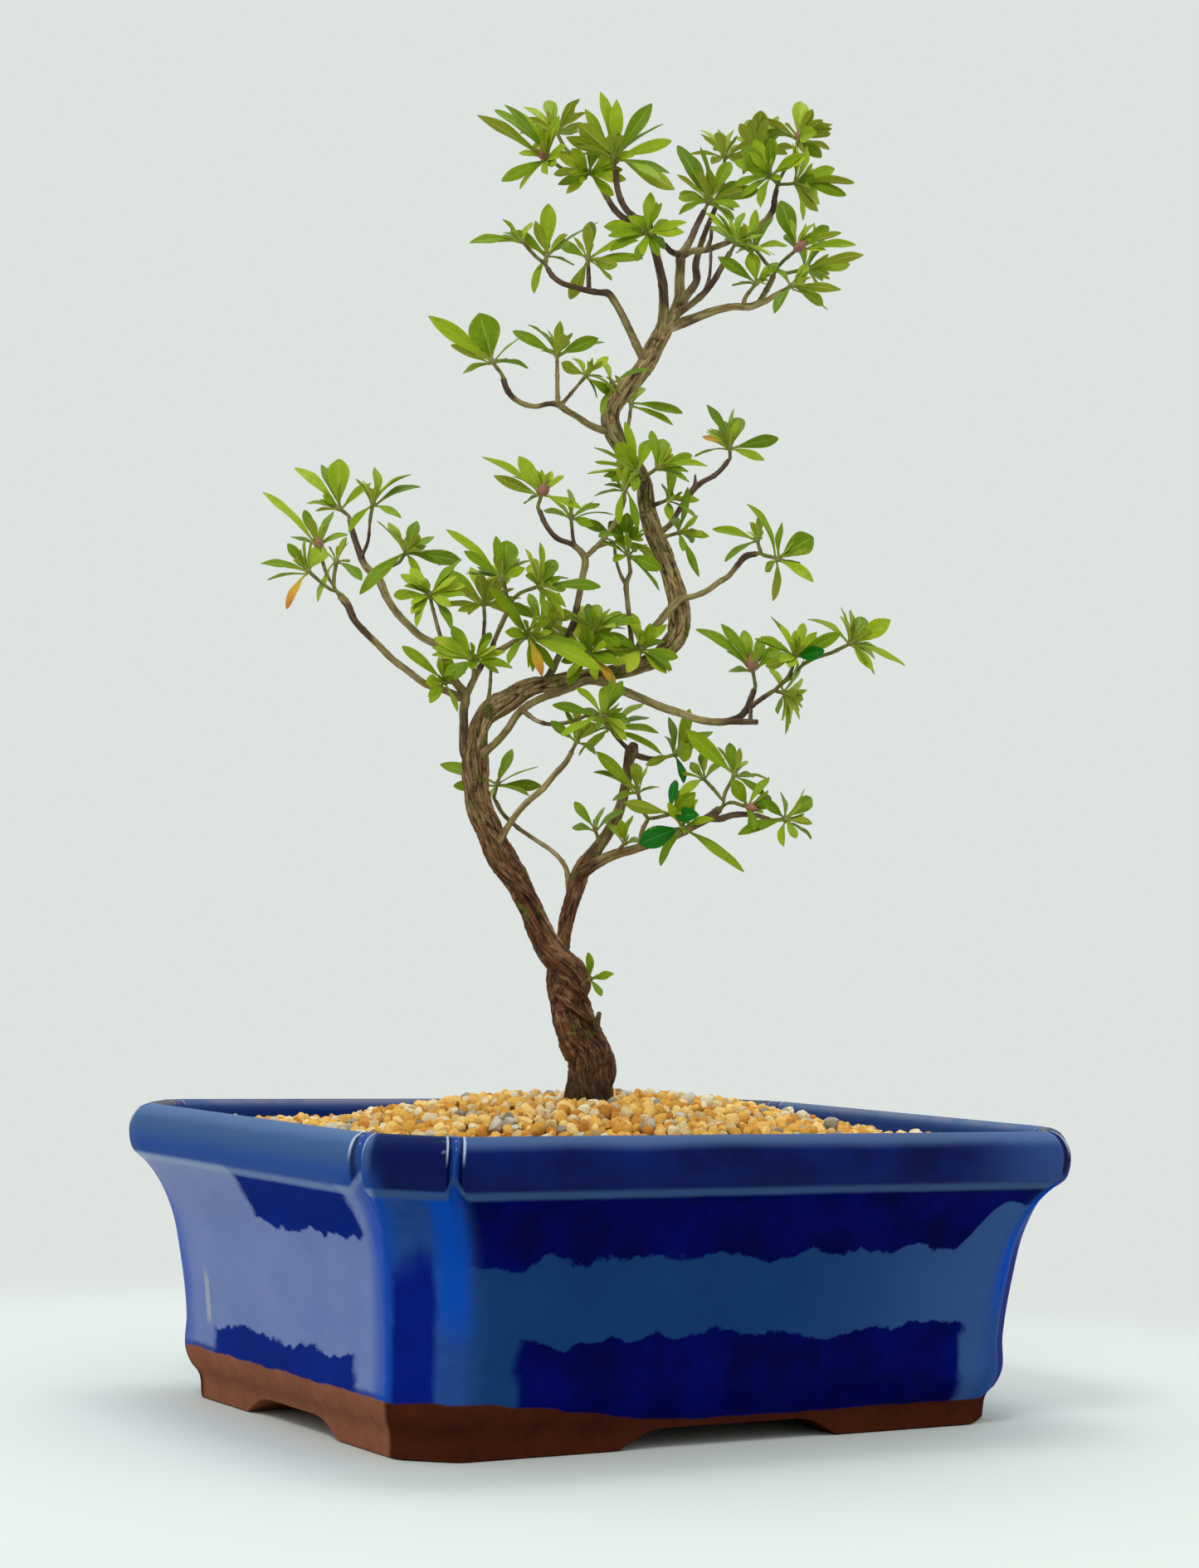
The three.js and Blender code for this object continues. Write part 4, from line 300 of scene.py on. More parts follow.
# The wood: each route is its points (x, z, w, radius)
WOOD = {
    "trunk": [(0, -30, 0, 6), (0, -14, 0, 7.8), (0, -4, 0, 8.1), (0, 2, 0, 7.2), (-0.2, 8, 0, 7.3),
        (-0.7, 15, 0, 7.3), (-3.7, 20, 0, 7), (-6, 25, 1, 6.7), (-7.4, 30, 1, 6.3), (-7.6, 34.5, 2, 5.7),
        (-5.8, 38.5, 4, 4.9), (-7.6, 41.8, 5, 4.7), (-10.8, 45, 5, 4.6), (-15, 50, 4, 4.3),
        (-17.6, 55, 4, 4.2), (-20, 60, 4, 4), (-22.7, 65, 4, 3.9), (-25, 70, 4, 4.3), (-28.7, 75, 4, 4.7),
        (-32, 80, 4, 4.6), (-34.4, 85, 4, 4.4), (-36.9, 90, 5, 4.2), (-38.7, 95, 5, 4),
        (-39.6, 100, 5, 4), (-39.9, 105, 5, 4.1), (-40, 110, 5, 4), (-39.6, 115, 4, 3.2),
        (-39.1, 120, 4, 3.1), (-37, 124, 4, 3.5), (-33.5, 126.8, 4, 3.8), (-29.5, 129, 4, 3.7),
        (-26, 131.7, 4, 3.3), (-22, 133.5, 4, 3), (-16.6, 134.8, 3, 2.8), (-11.3, 136, 2, 2.7),
        (-6, 137, 1, 2.6), (0.4, 138, 0, 2.5), (6, 139.3, -1, 2.5), (11.5, 141, -2, 2.6),
        (16.3, 143, -3, 2.7), (20.4, 147, -3, 3), (23.4, 151, -3, 3.3), (24, 155, -3, 3.5),
        (23.9, 160, -4, 3.3), (22.9, 165, -4, 3.1), (21.3, 170, -5, 2.9), (19.5, 175, -6, 2.8),
        (17.3, 180, -6, 3), (15, 185.3, -6, 3.2), (13.2, 190, -5, 3), (12.4, 195, -4, 2.8),
        (11.6, 200, -3, 2.7), (9.5, 204.5, -2, 2.6), (6.4, 208.3, -1, 2.6), (3.5, 212.4, 0, 2.8),
        (1.5, 216.2, 1, 3), (0.1, 220, 2, 3.1), (0.4, 224.3, 3, 3.1), (3.2, 228.8, 3, 3),
        (7.3, 233.8, 2, 2.9), (11.3, 239.5, 1, 2.9), (14, 245.4, 0, 2.9), (16.4, 250, 0, 2.9),
        (18.6, 253.8, 0, 2.5), (20.6, 257.5, -1, 2), (21.6, 262, -2, 1.8), (21.3, 266.4, -3, 1.6),
        (21.5, 271.8, -4, 1.5), (21.2, 276.4, -4, 1.5)],
    "rootLeft": [(0, 12, 1, 4.6), (-4.2, 3, 2.6, 3.4), (-5, -3, 3.2, 2.6), (-5.2, -12, 3.2, 1.4)],
    "rootRight": [(0, 12, -1, 4.4), (4.2, 3, -2.4, 3.4), (5, -3, -3.2, 2.6), (5.2, -12, -3.2, 1.4)],
    "second": [(-8.6, 31, -1, 4.6), (-11.2, 36, -3, 3.9), (-12.2, 41, -5, 3.4), (-10.9, 47, -7, 2.8),
        (-9.8, 55, -8, 2.5), (-9, 60, -8, 2.6), (-7.7, 65, -8, 2.7), (-6.4, 70, -9, 2.9),
        (-4.4, 75.5, -9, 2.7), (0.3, 82.5, -10, 2), (4, 88.5, -11, 1.85), (6.5, 94, -12, 1.8),
        (8, 100, -13, 1.7), (8.9, 105.7, -14, 1.7), (9.3, 110.4, -14, 1.8), (10.3, 114, -14, 2.1),
        (10.9, 116, -14, 1.2)],
    "lowTwig": [(1, 24, 4, 1.2), (2, 29, 9, 0.8)],
    "lowRight": [(-5, 74, -8, 2.2), (0, 77.2, -6, 1.9), (5.2, 79.9, -3, 1.7), (10.6, 81.5, 0, 1.5),
        (14.3, 82.8, 2, 1.4), (20, 84.6, 5, 1.35), (25.9, 87.1, 8, 1.3), (31.7, 90.5, 11, 1.3),
        (35.9, 93.1, 13, 1.4), (38.6, 95.4, 15, 1.3)],
    "lowRightEnd": [(35.2, 92.6, 12.8, 1.2), (38.8, 92.4, 15.6, 1.1), (43.3, 93.8, 18.4, 1),
        (50.8, 93.8, 22, 0.8), (54.6, 92.8, 24, 0.75)],
    "leftUpper": [(-40.3, 106, 4, 2.6), (-43.6, 112, 1, 1.8), (-44.2, 120, 0, 1.5),
        (-44.4, 125, 0, 1.5), (-44, 130, 0, 1.5), (-46.8, 133.4, 0, 1.4), (-49.6, 137.4, -1, 1.3),
        (-51, 142.2, -2, 1.3), (-51.6, 145.6, -3, 1.3), (-54.4, 146.4, -4, 1.2), (-58.7, 148.3, -6, 1.2),
        (-63, 152, -8, 1.2), (-67, 156, -10, 1.2), (-70.4, 161, -12, 1.25), (-73, 166.4, -14, 1.4),
        (-77.7, 171, -16, 1.2), (-80, 176, -18, 1.1), (-81.8, 181, -19, 1), (-83.2, 185.8, -20, 0.9)],
    "leftInner": [(-43.9, 129.5, 0, 1.2), (-40, 138, 3, 1), (-37, 143, 5, 0.95), (-33, 145, 7, 0.95),
        (-28.6, 147.8, 9, 0.9)],
    "leftThin": [(-37, 125, 3, 0.9), (-36.2, 132, 1, 0.6), (-36, 140, -1, 0.5)],
    "lowLeft": [(-45.5, 129, 0, 1.4), (-50, 131, 3, 1.2), (-57, 133.2, 8, 1.15),
        (-62.5, 137, 12, 1.1), (-68, 141, 16, 1.1), (-72.5, 145.3, 19, 1.1), (-77, 149.4, 22, 1.1),
        (-80.4, 153, 24, 1.1), (-83.4, 158.8, 27, 1.25), (-85.4, 161, 28, 1.2)],
    "branchA": [(-32, 82, 6, 1.6), (-29.6, 87, 8, 1.1), (-24, 95, 12, 1), (-17.7, 101, 16, 1),
        (-14.6, 105, 18, 0.95), (-10.5, 110, 21, 0.9), (-9.3, 112.6, 22, 0.8)],
    "branchB": [(-8.6, 68, -10, 1.2), (-10.2, 75.6, -14, 0.8), (-14, 80, -18, 0.75),
        (-19.3, 83.5, -22, 0.75), (-27, 88.6, -26, 0.7), (-31.3, 92.7, -28, 0.7), (-33.2, 96, -29, 0.7)],
    "branchD": [(-39, 109, 6, 2), (-36.8, 112, 8, 1.4), (-33.6, 115, 10, 1.2), (-30, 119.4, 10, 1.2),
        (-27, 124.3, 10, 1.2), (-22.8, 127.8, 9, 1.2), (-18.6, 130, 8, 1.2), (-14.3, 131.5, 7, 1.2),
        (-10, 133.4, 6, 1.3), (-5, 135.6, 5, 1.3), (-0.5, 135.4, 5, 1.4), (4, 134, 6, 1.4),
        (8.2, 132.2, 7, 1.4), (13, 130.4, 8, 1.35), (20, 127.6, 9, 1.3), (25.4, 126.1, 10, 1.25),
        (30.8, 124.3, 10, 1.2), (36.2, 123.6, 10, 1.2), (41.5, 124.1, 9, 1.15), (44.7, 125.6, 8, 1.1),
        (46.7, 128, 7, 1.05), (47.8, 131, 5, 1), (48.9, 134.2, 4, 0.95)],
    "stubD": [(40.5, 123.8, 9, 1), (45, 123.9, 12, 1), (50.3, 123.9, 14, 0.9)],
    "spurD": [(47.9, 123.9, 13, 0.8), (48, 127.6, 10, 0.6), (47.8, 131, 6, 0.6)],
    "innerD": [(-25.4, 125.4, 10, 0.9), (-20.5, 122.2, 14, 0.7), (-16.5, 121.3, 17, 0.65),
        (-9.5, 122.5, 21, 0.6), (-4.4, 124.6, 24, 0.55)],
    "rightShoot": [(47.4, 128.4, 7, 0.9), (52.1, 132, 11, 0.75), (54.4, 133.6, 13, 0.75)],
    "branchH": [(-20, 132.5, 3, 1.8), (-17.2, 137, 4, 1.3), (-15.3, 141, 5, 1.15),
        (-12.7, 147, 7, 1.1), (-10, 154, 9, 1.1), (-8.6, 161.5, 11, 1.05), (-7.6, 168, 12, 1.05),
        (-7, 175.8, 13, 1.15), (-10.7, 179.5, 14, 0.9), (-16, 181.6, 16, 0.85), (-20, 186.3, 17, 0.8),
        (-21.9, 190.4, 18, 0.8)],
    "twigK": [(-10, 178.8, 14, 0.7), (-10.9, 182, 16, 0.6), (-11.2, 184.6, 17, 0.55)],
    "twigV": [(-7.2, 175, 13, 0.9), (-1.3, 181.4, 15, 0.75), (2.6, 187.4, 17, 0.7),
        (4.3, 190.8, 18, 0.7), (5, 193, 18, 0.65)],
    "twigV2": [(-6.8, 175.4, 13, 0.8), (-3.6, 178.6, 11, 0.6), (-0.5, 180, 10, 0.6),
        (2.6, 180.8, 9, 0.6)],
    "branchI": [(8.6, 139.5, -1, 1.1), (9, 147.5, 3, 0.9), (8.3, 154.5, 6, 0.8), (7.3, 162, 7, 0.8),
        (6.8, 167.5, 8, 0.85), (8, 171.6, 10, 0.65), (7.7, 173.6, 11, 0.6)],
    "forkI": [(6.8, 166.8, 8, 0.7), (4.6, 171, 8, 0.55), (3.3, 175, 8, 0.5), (2.5, 180.6, 9, 0.5)],
    "branchJ": [(10, 142, 0, 1.5), (13, 150, 3, 1.3), (17.5, 155, 4, 1.3), (21.4, 160, 3, 1.3),
        (24.5, 163, 1, 1.1), (28.2, 163.9, 2, 0.95), (33, 166, 5, 0.95), (36.7, 168.9, 8, 0.9),
        (39.4, 170.6, 10, 0.9), (42.5, 174.5, 13, 0.9), (45.3, 177.6, 16, 1.1), (48.6, 178.4, 18, 0.8)],
    "spurK": [(-2.4, 136.6, 1, 1), (-2.4, 141.5, 6, 0.7)],
    "spurK3": [(10.8, 139.8, -1, 1), (11.6, 144, 5, 0.7)],
    "stemF": [(-36.8, 142.6, 5, 0.8), (-34.4, 150, 11, 0.8), (-31.6, 156.6, 15, 0.85),
        (-30.7, 158.8, 16, 0.8)],
    "stemF3": [(-38, 141.4, 4, 0.7), (-38.7, 148, 0, 0.6), (-38.6, 154, -4, 0.6)],
    "stemE": [(-51.3, 144.6, -3, 0.8), (-53.6, 151.5, 3, 0.65), (-55.4, 157.6, 7, 0.6)],
    "spurE": [(-41.4, 134.8, 2, 0.8), (-41.6, 138.8, 7, 0.6)],
    "spurE2": [(-47.4, 133.8, 0, 0.8), (-49.6, 134, 6, 0.6)],
    "shootL": [(-79, 173.6, -17, 0.7), (-77, 179, -12, 0.55), (-76.6, 185, -9, 0.5)],
    "twigL": [(-73.4, 167.2, -14, 0.9), (-70, 170.6, -8, 0.7), (-67.4, 172, -5, 0.65)],
    "leftFork": [(1.5, 216.6, 1, 1.5), (-2.9, 217.4, 4, 1.25), (-6.8, 218.9, 7, 1.1),
        (-10.6, 221.3, 10, 1.05), (-14.5, 223.5, 13, 1.05), (-17, 225.2, 15, 1.15),
        (-19.9, 225.3, 17, 0.8), (-24.2, 224.3, 20, 0.8), (-28.6, 225.2, 23, 0.85),
        (-31.8, 227.2, 25, 0.9), (-34, 230.3, 27, 0.95), (-34.9, 233, 28, 1)],
    "twigT2": [(-16.8, 224.8, 15, 0.9), (-17.2, 228.3, 13, 0.75), (-17.4, 232.6, 11, 0.7),
        (-17.6, 238, 8, 0.65)],
    "twigT3": [(-16.2, 224.8, 15, 0.8), (-13.7, 227.8, 19, 0.6), (-12, 230, 21, 0.55),
        (-10.4, 232, 22, 0.5)],
    "spurT4": [(2.6, 213.5, 0, 1), (5.2, 216, -5, 0.75), (6.2, 220.5, -9, 0.65),
        (6.5, 223.4, -11, 0.6)],
    "spurT5": [(3.4, 228.6, 4, 1), (1.6, 231.2, 9, 0.6)],
    "spurU": [(11.6, 198.6, -2, 1.2), (11.4, 201.4, 4, 0.9)],
    "spurU3": [(13, 192.4, -4, 1.1), (16.8, 194, -1, 0.6)],
    "spurU4": [(16.6, 182.4, -5, 1.1), (20.4, 183.6, -2, 0.6)],
    "branchW": [(15.8, 183, -7, 1.4), (18.6, 185.4, -9, 1), (20.4, 187, -10, 0.95),
        (22.6, 190.9, -12, 0.9), (25.7, 195.8, -15, 0.9), (28.2, 199.4, -17, 1.1),
        (30.6, 201.3, -18, 0.9), (34.6, 203.7, -20, 0.85), (37.2, 206.4, -21, 0.8),
        (38.6, 208.4, -22, 0.75)],
    "stubW": [(28.2, 199.2, -17, 0.8), (28.1, 203.6, -16, 0.3)],
    "branchS": [(11.4, 239.4, 1, 1.8), (8.6, 244, 4, 1.4), (5.8, 249.6, 6, 1.25),
        (2.8, 255.4, 8, 1.2), (0.4, 259.4, 9, 1.15), (-1.8, 262, 10, 1.25), (-4.6, 262.2, 11, 1),
        (-8, 262.6, 12, 1), (-13.3, 263.9, 14, 0.9), (-17, 265, 16, 0.9), (-20.2, 267.4, 17, 0.85),
        (-21.6, 269.6, 18, 0.85)],
    "twigS1": [(-8, 262.4, 12, 0.9), (-8.2, 266.4, 9, 0.75), (-8.4, 270, 7, 0.7)],
    "crownLeft": [(15, 247.5, 1, 2.4), (16.2, 254, 2, 1.8), (16.4, 260, 4, 1.6), (15.8, 266, 6, 1.5),
        (14.3, 272, 8, 1.4), (12.9, 277, 10, 1.3), (11.4, 282, 11, 1.25), (10, 286, 12, 1.4),
        (6.6, 287, 13, 1.15), (3.6, 289.4, 13, 1.05), (1.2, 293.6, 13, 1), (-0.1, 298.5, 13, 0.95),
        (-0.6, 302.6, 13, 0.85)],
    "crownLeft2": [(10.4, 284.8, 12, 1.1), (4.9, 285.7, 9, 1.15), (0.5, 288.6, 6, 1.05),
        (-3.5, 294.3, 3, 1), (-5.7, 298.2, 1, 0.95), (-6.6, 299.6, 0, 0.9)],
    "crownSpur": [(12.8, 277.4, 10, 0.9), (11.4, 280.2, 15, 0.6)],
    "crownJoin": [(21.2, 275.4, -4, 1.1), (18.4, 276.2, 0, 1), (16.2, 278.3, 3, 0.9),
        (12.8, 281, 8, 0.9), (10.8, 284.6, 12, 0.9)],
    "crownMid": [(21.2, 275, -4, 1.3), (24.4, 280, -7, 1.15), (26.2, 284.5, -9, 1.05),
        (28.6, 289.8, -11, 0.95)],
    "crownBack": [(20.8, 257, -1, 1.5), (23.8, 262, -4, 1.4), (26.8, 267, -7, 1.3),
        (26.4, 272, -10, 1.2), (27.4, 277, -13, 1.05), (29.6, 284, -17, 0.9), (32.6, 292, -21, 0.8),
        (34.6, 299.6, -24, 0.7), (34.8, 304.6, -25, 0.65)],
    "crownAcross": [(21.4, 274.6, -4, 1.3), (25, 276.6, -2, 1.1), (29, 277, 0, 1.05),
        (32.6, 278.2, 2, 0.95), (37.6, 280.4, -3, 0.95), (43.6, 284, -9, 0.95), (48.8, 287.6, -13, 0.95),
        (51.2, 291.4, -14, 1.05), (51.5, 295, -14, 0.9), (52, 297.6, -14, 0.85)],
    "crownThin": [(29.4, 263.2, 7, 0.7), (30.8, 267.5, 6, 0.55), (31.2, 272, 4, 0.5),
        (31.2, 277.2, 2, 0.5)],
    "crownThin2": [(29.8, 277.2, 0, 0.8), (31.1, 281, 2, 0.65), (31.2, 285, 3, 0.6)],
    "crownFour": [(19.8, 255.6, 0, 1.7), (23.6, 258, 3, 1.2), (28.2, 261.8, 6, 1.1),
        (31.6, 265.8, 9, 1), (35, 272, 12, 0.95), (37.4, 276.4, 14, 0.85)],
    "crownRight": [(18, 251.4, 0, 2), (23.6, 253.5, 2, 1.7), (28.4, 255.5, 4, 1.45),
        (33.8, 257.6, 6, 1.3), (39.2, 258.8, 8, 1.2), (44.6, 259, 10, 1.2), (47.7, 260.3, 12, 1.15),
        (50, 261.3, 14, 0.95), (52.2, 262.8, 15, 0.85), (54.4, 264.2, 16, 0.75)],
    "crownRight2": [(47, 259.8, 11, 1), (49.3, 264, 9, 0.95), (51.2, 267.9, 6, 0.95),
        (51.7, 269.4, 5, 0.9)],
    "twigRL": [(42, 258.8, 9, 0.9), (43.3, 262.8, 13, 0.65), (44.2, 264, 14, 0.6)],
    "twigX6": [(10.3, 112.4, -14, 1.1), (16.3, 111.1, -10, 0.9), (19.4, 111.4, -8, 0.75)],
    "twigZ1": [(10, 113.4, -14, 1), (7.4, 115.4, -9, 0.75), (5.4, 117.4, -6, 0.65)],
    "twigLow4": [(13.6, 82.4, 2, 1), (14.4, 88.6, 7, 0.75), (15.4, 90.6, 9, 0.7)],
    "spurLow": [(5.4, 79.8, -3, 1), (7.2, 82, 1, 0.55)],
    "spurUp": [(0.8, 83.2, -10, 1.1), (-0.3, 86, -5, 0.55)],
    "spurTrunk": [(-4.6, 36.8, 5, 1.6), (-2.6, 38.6, 9.5, 0.6)],
    "spurOval": [(26.5, 87.4, 8, 1), (26.8, 88.4, 12, 0.6)],
}

# Folds, knots and bulges that lie half sunk in the trunk: points (x, z, w, radius)
FOLDS = [
    [(-14.4, 43.4, 2, 0.5), (-11, 41.2, 7, 1.1), (-7.4, 38.4, 8.6, 1.4), (-3.8, 35.2, 7.6, 1.2),
     (-1.2, 32.4, 3.4, 0.5)],
    [(-13.6, 37, 1, 0.5), (-10.6, 34, 5.6, 1.2), (-6.6, 31, 7.4, 1.3), (-2.6, 28, 6.6, 1),
     (0.2, 25.4, 3, 0.5)],
    [(-28.6, 73, 2.6, 0.4), (-26.4, 70.6, 6.8, 0.8), (-23.2, 67.6, 8.2, 1.1), (-20, 64.4, 7.2, 0.9),
     (-17.8, 61.6, 3.6, 0.4)],
    [(-38.2, 95, 7.4, 0.4), (-37, 89, 8.4, 0.9), (-34.2, 83, 8.4, 1.1), (-31, 77, 8.2, 1),
     (-27, 71.4, 7.4, 0.5)],
    [(-4.6, 23.8, 5.2, 0.8), (-3.4, 22.6, 7.6, 1.4), (-2.8, 21.6, 8.2, 0.8)],
    [(-7, 17.2, 5, 0.8), (-6.2, 15.8, 6.4, 1.3), (-5.6, 14.6, 6.6, 0.8)],
    [(4.4, 19.6, 2, 1), (5.4, 15, 2.2, 2.3), (5.6, 9, 2.2, 2.4), (4.8, 4.4, 2.2, 1)],
    [(-3.4, 14, 5.4, 0.8), (-1, 8, 6.6, 1.5), (1.4, 2, 6.4, 1.9), (2.6, -3, 5.6, 1)],
    [(-6.4, 8, 2.4, 0.9), (-7, 2.6, 2.6, 1.6), (-7.6, -2.6, 2.8, 0.9)],
    [(12.4, 196, -1, 0.5), (13.4, 190, -2.6, 1), (14.8, 184, -3.4, 1), (18, 177, -4, 0.5)],
    [(1.4, 221, 4.4, 0.4), (0.4, 217, 3.8, 0.9), (3.6, 212, 2.4, 0.9), (8, 206, 0.6, 0.5)],
]

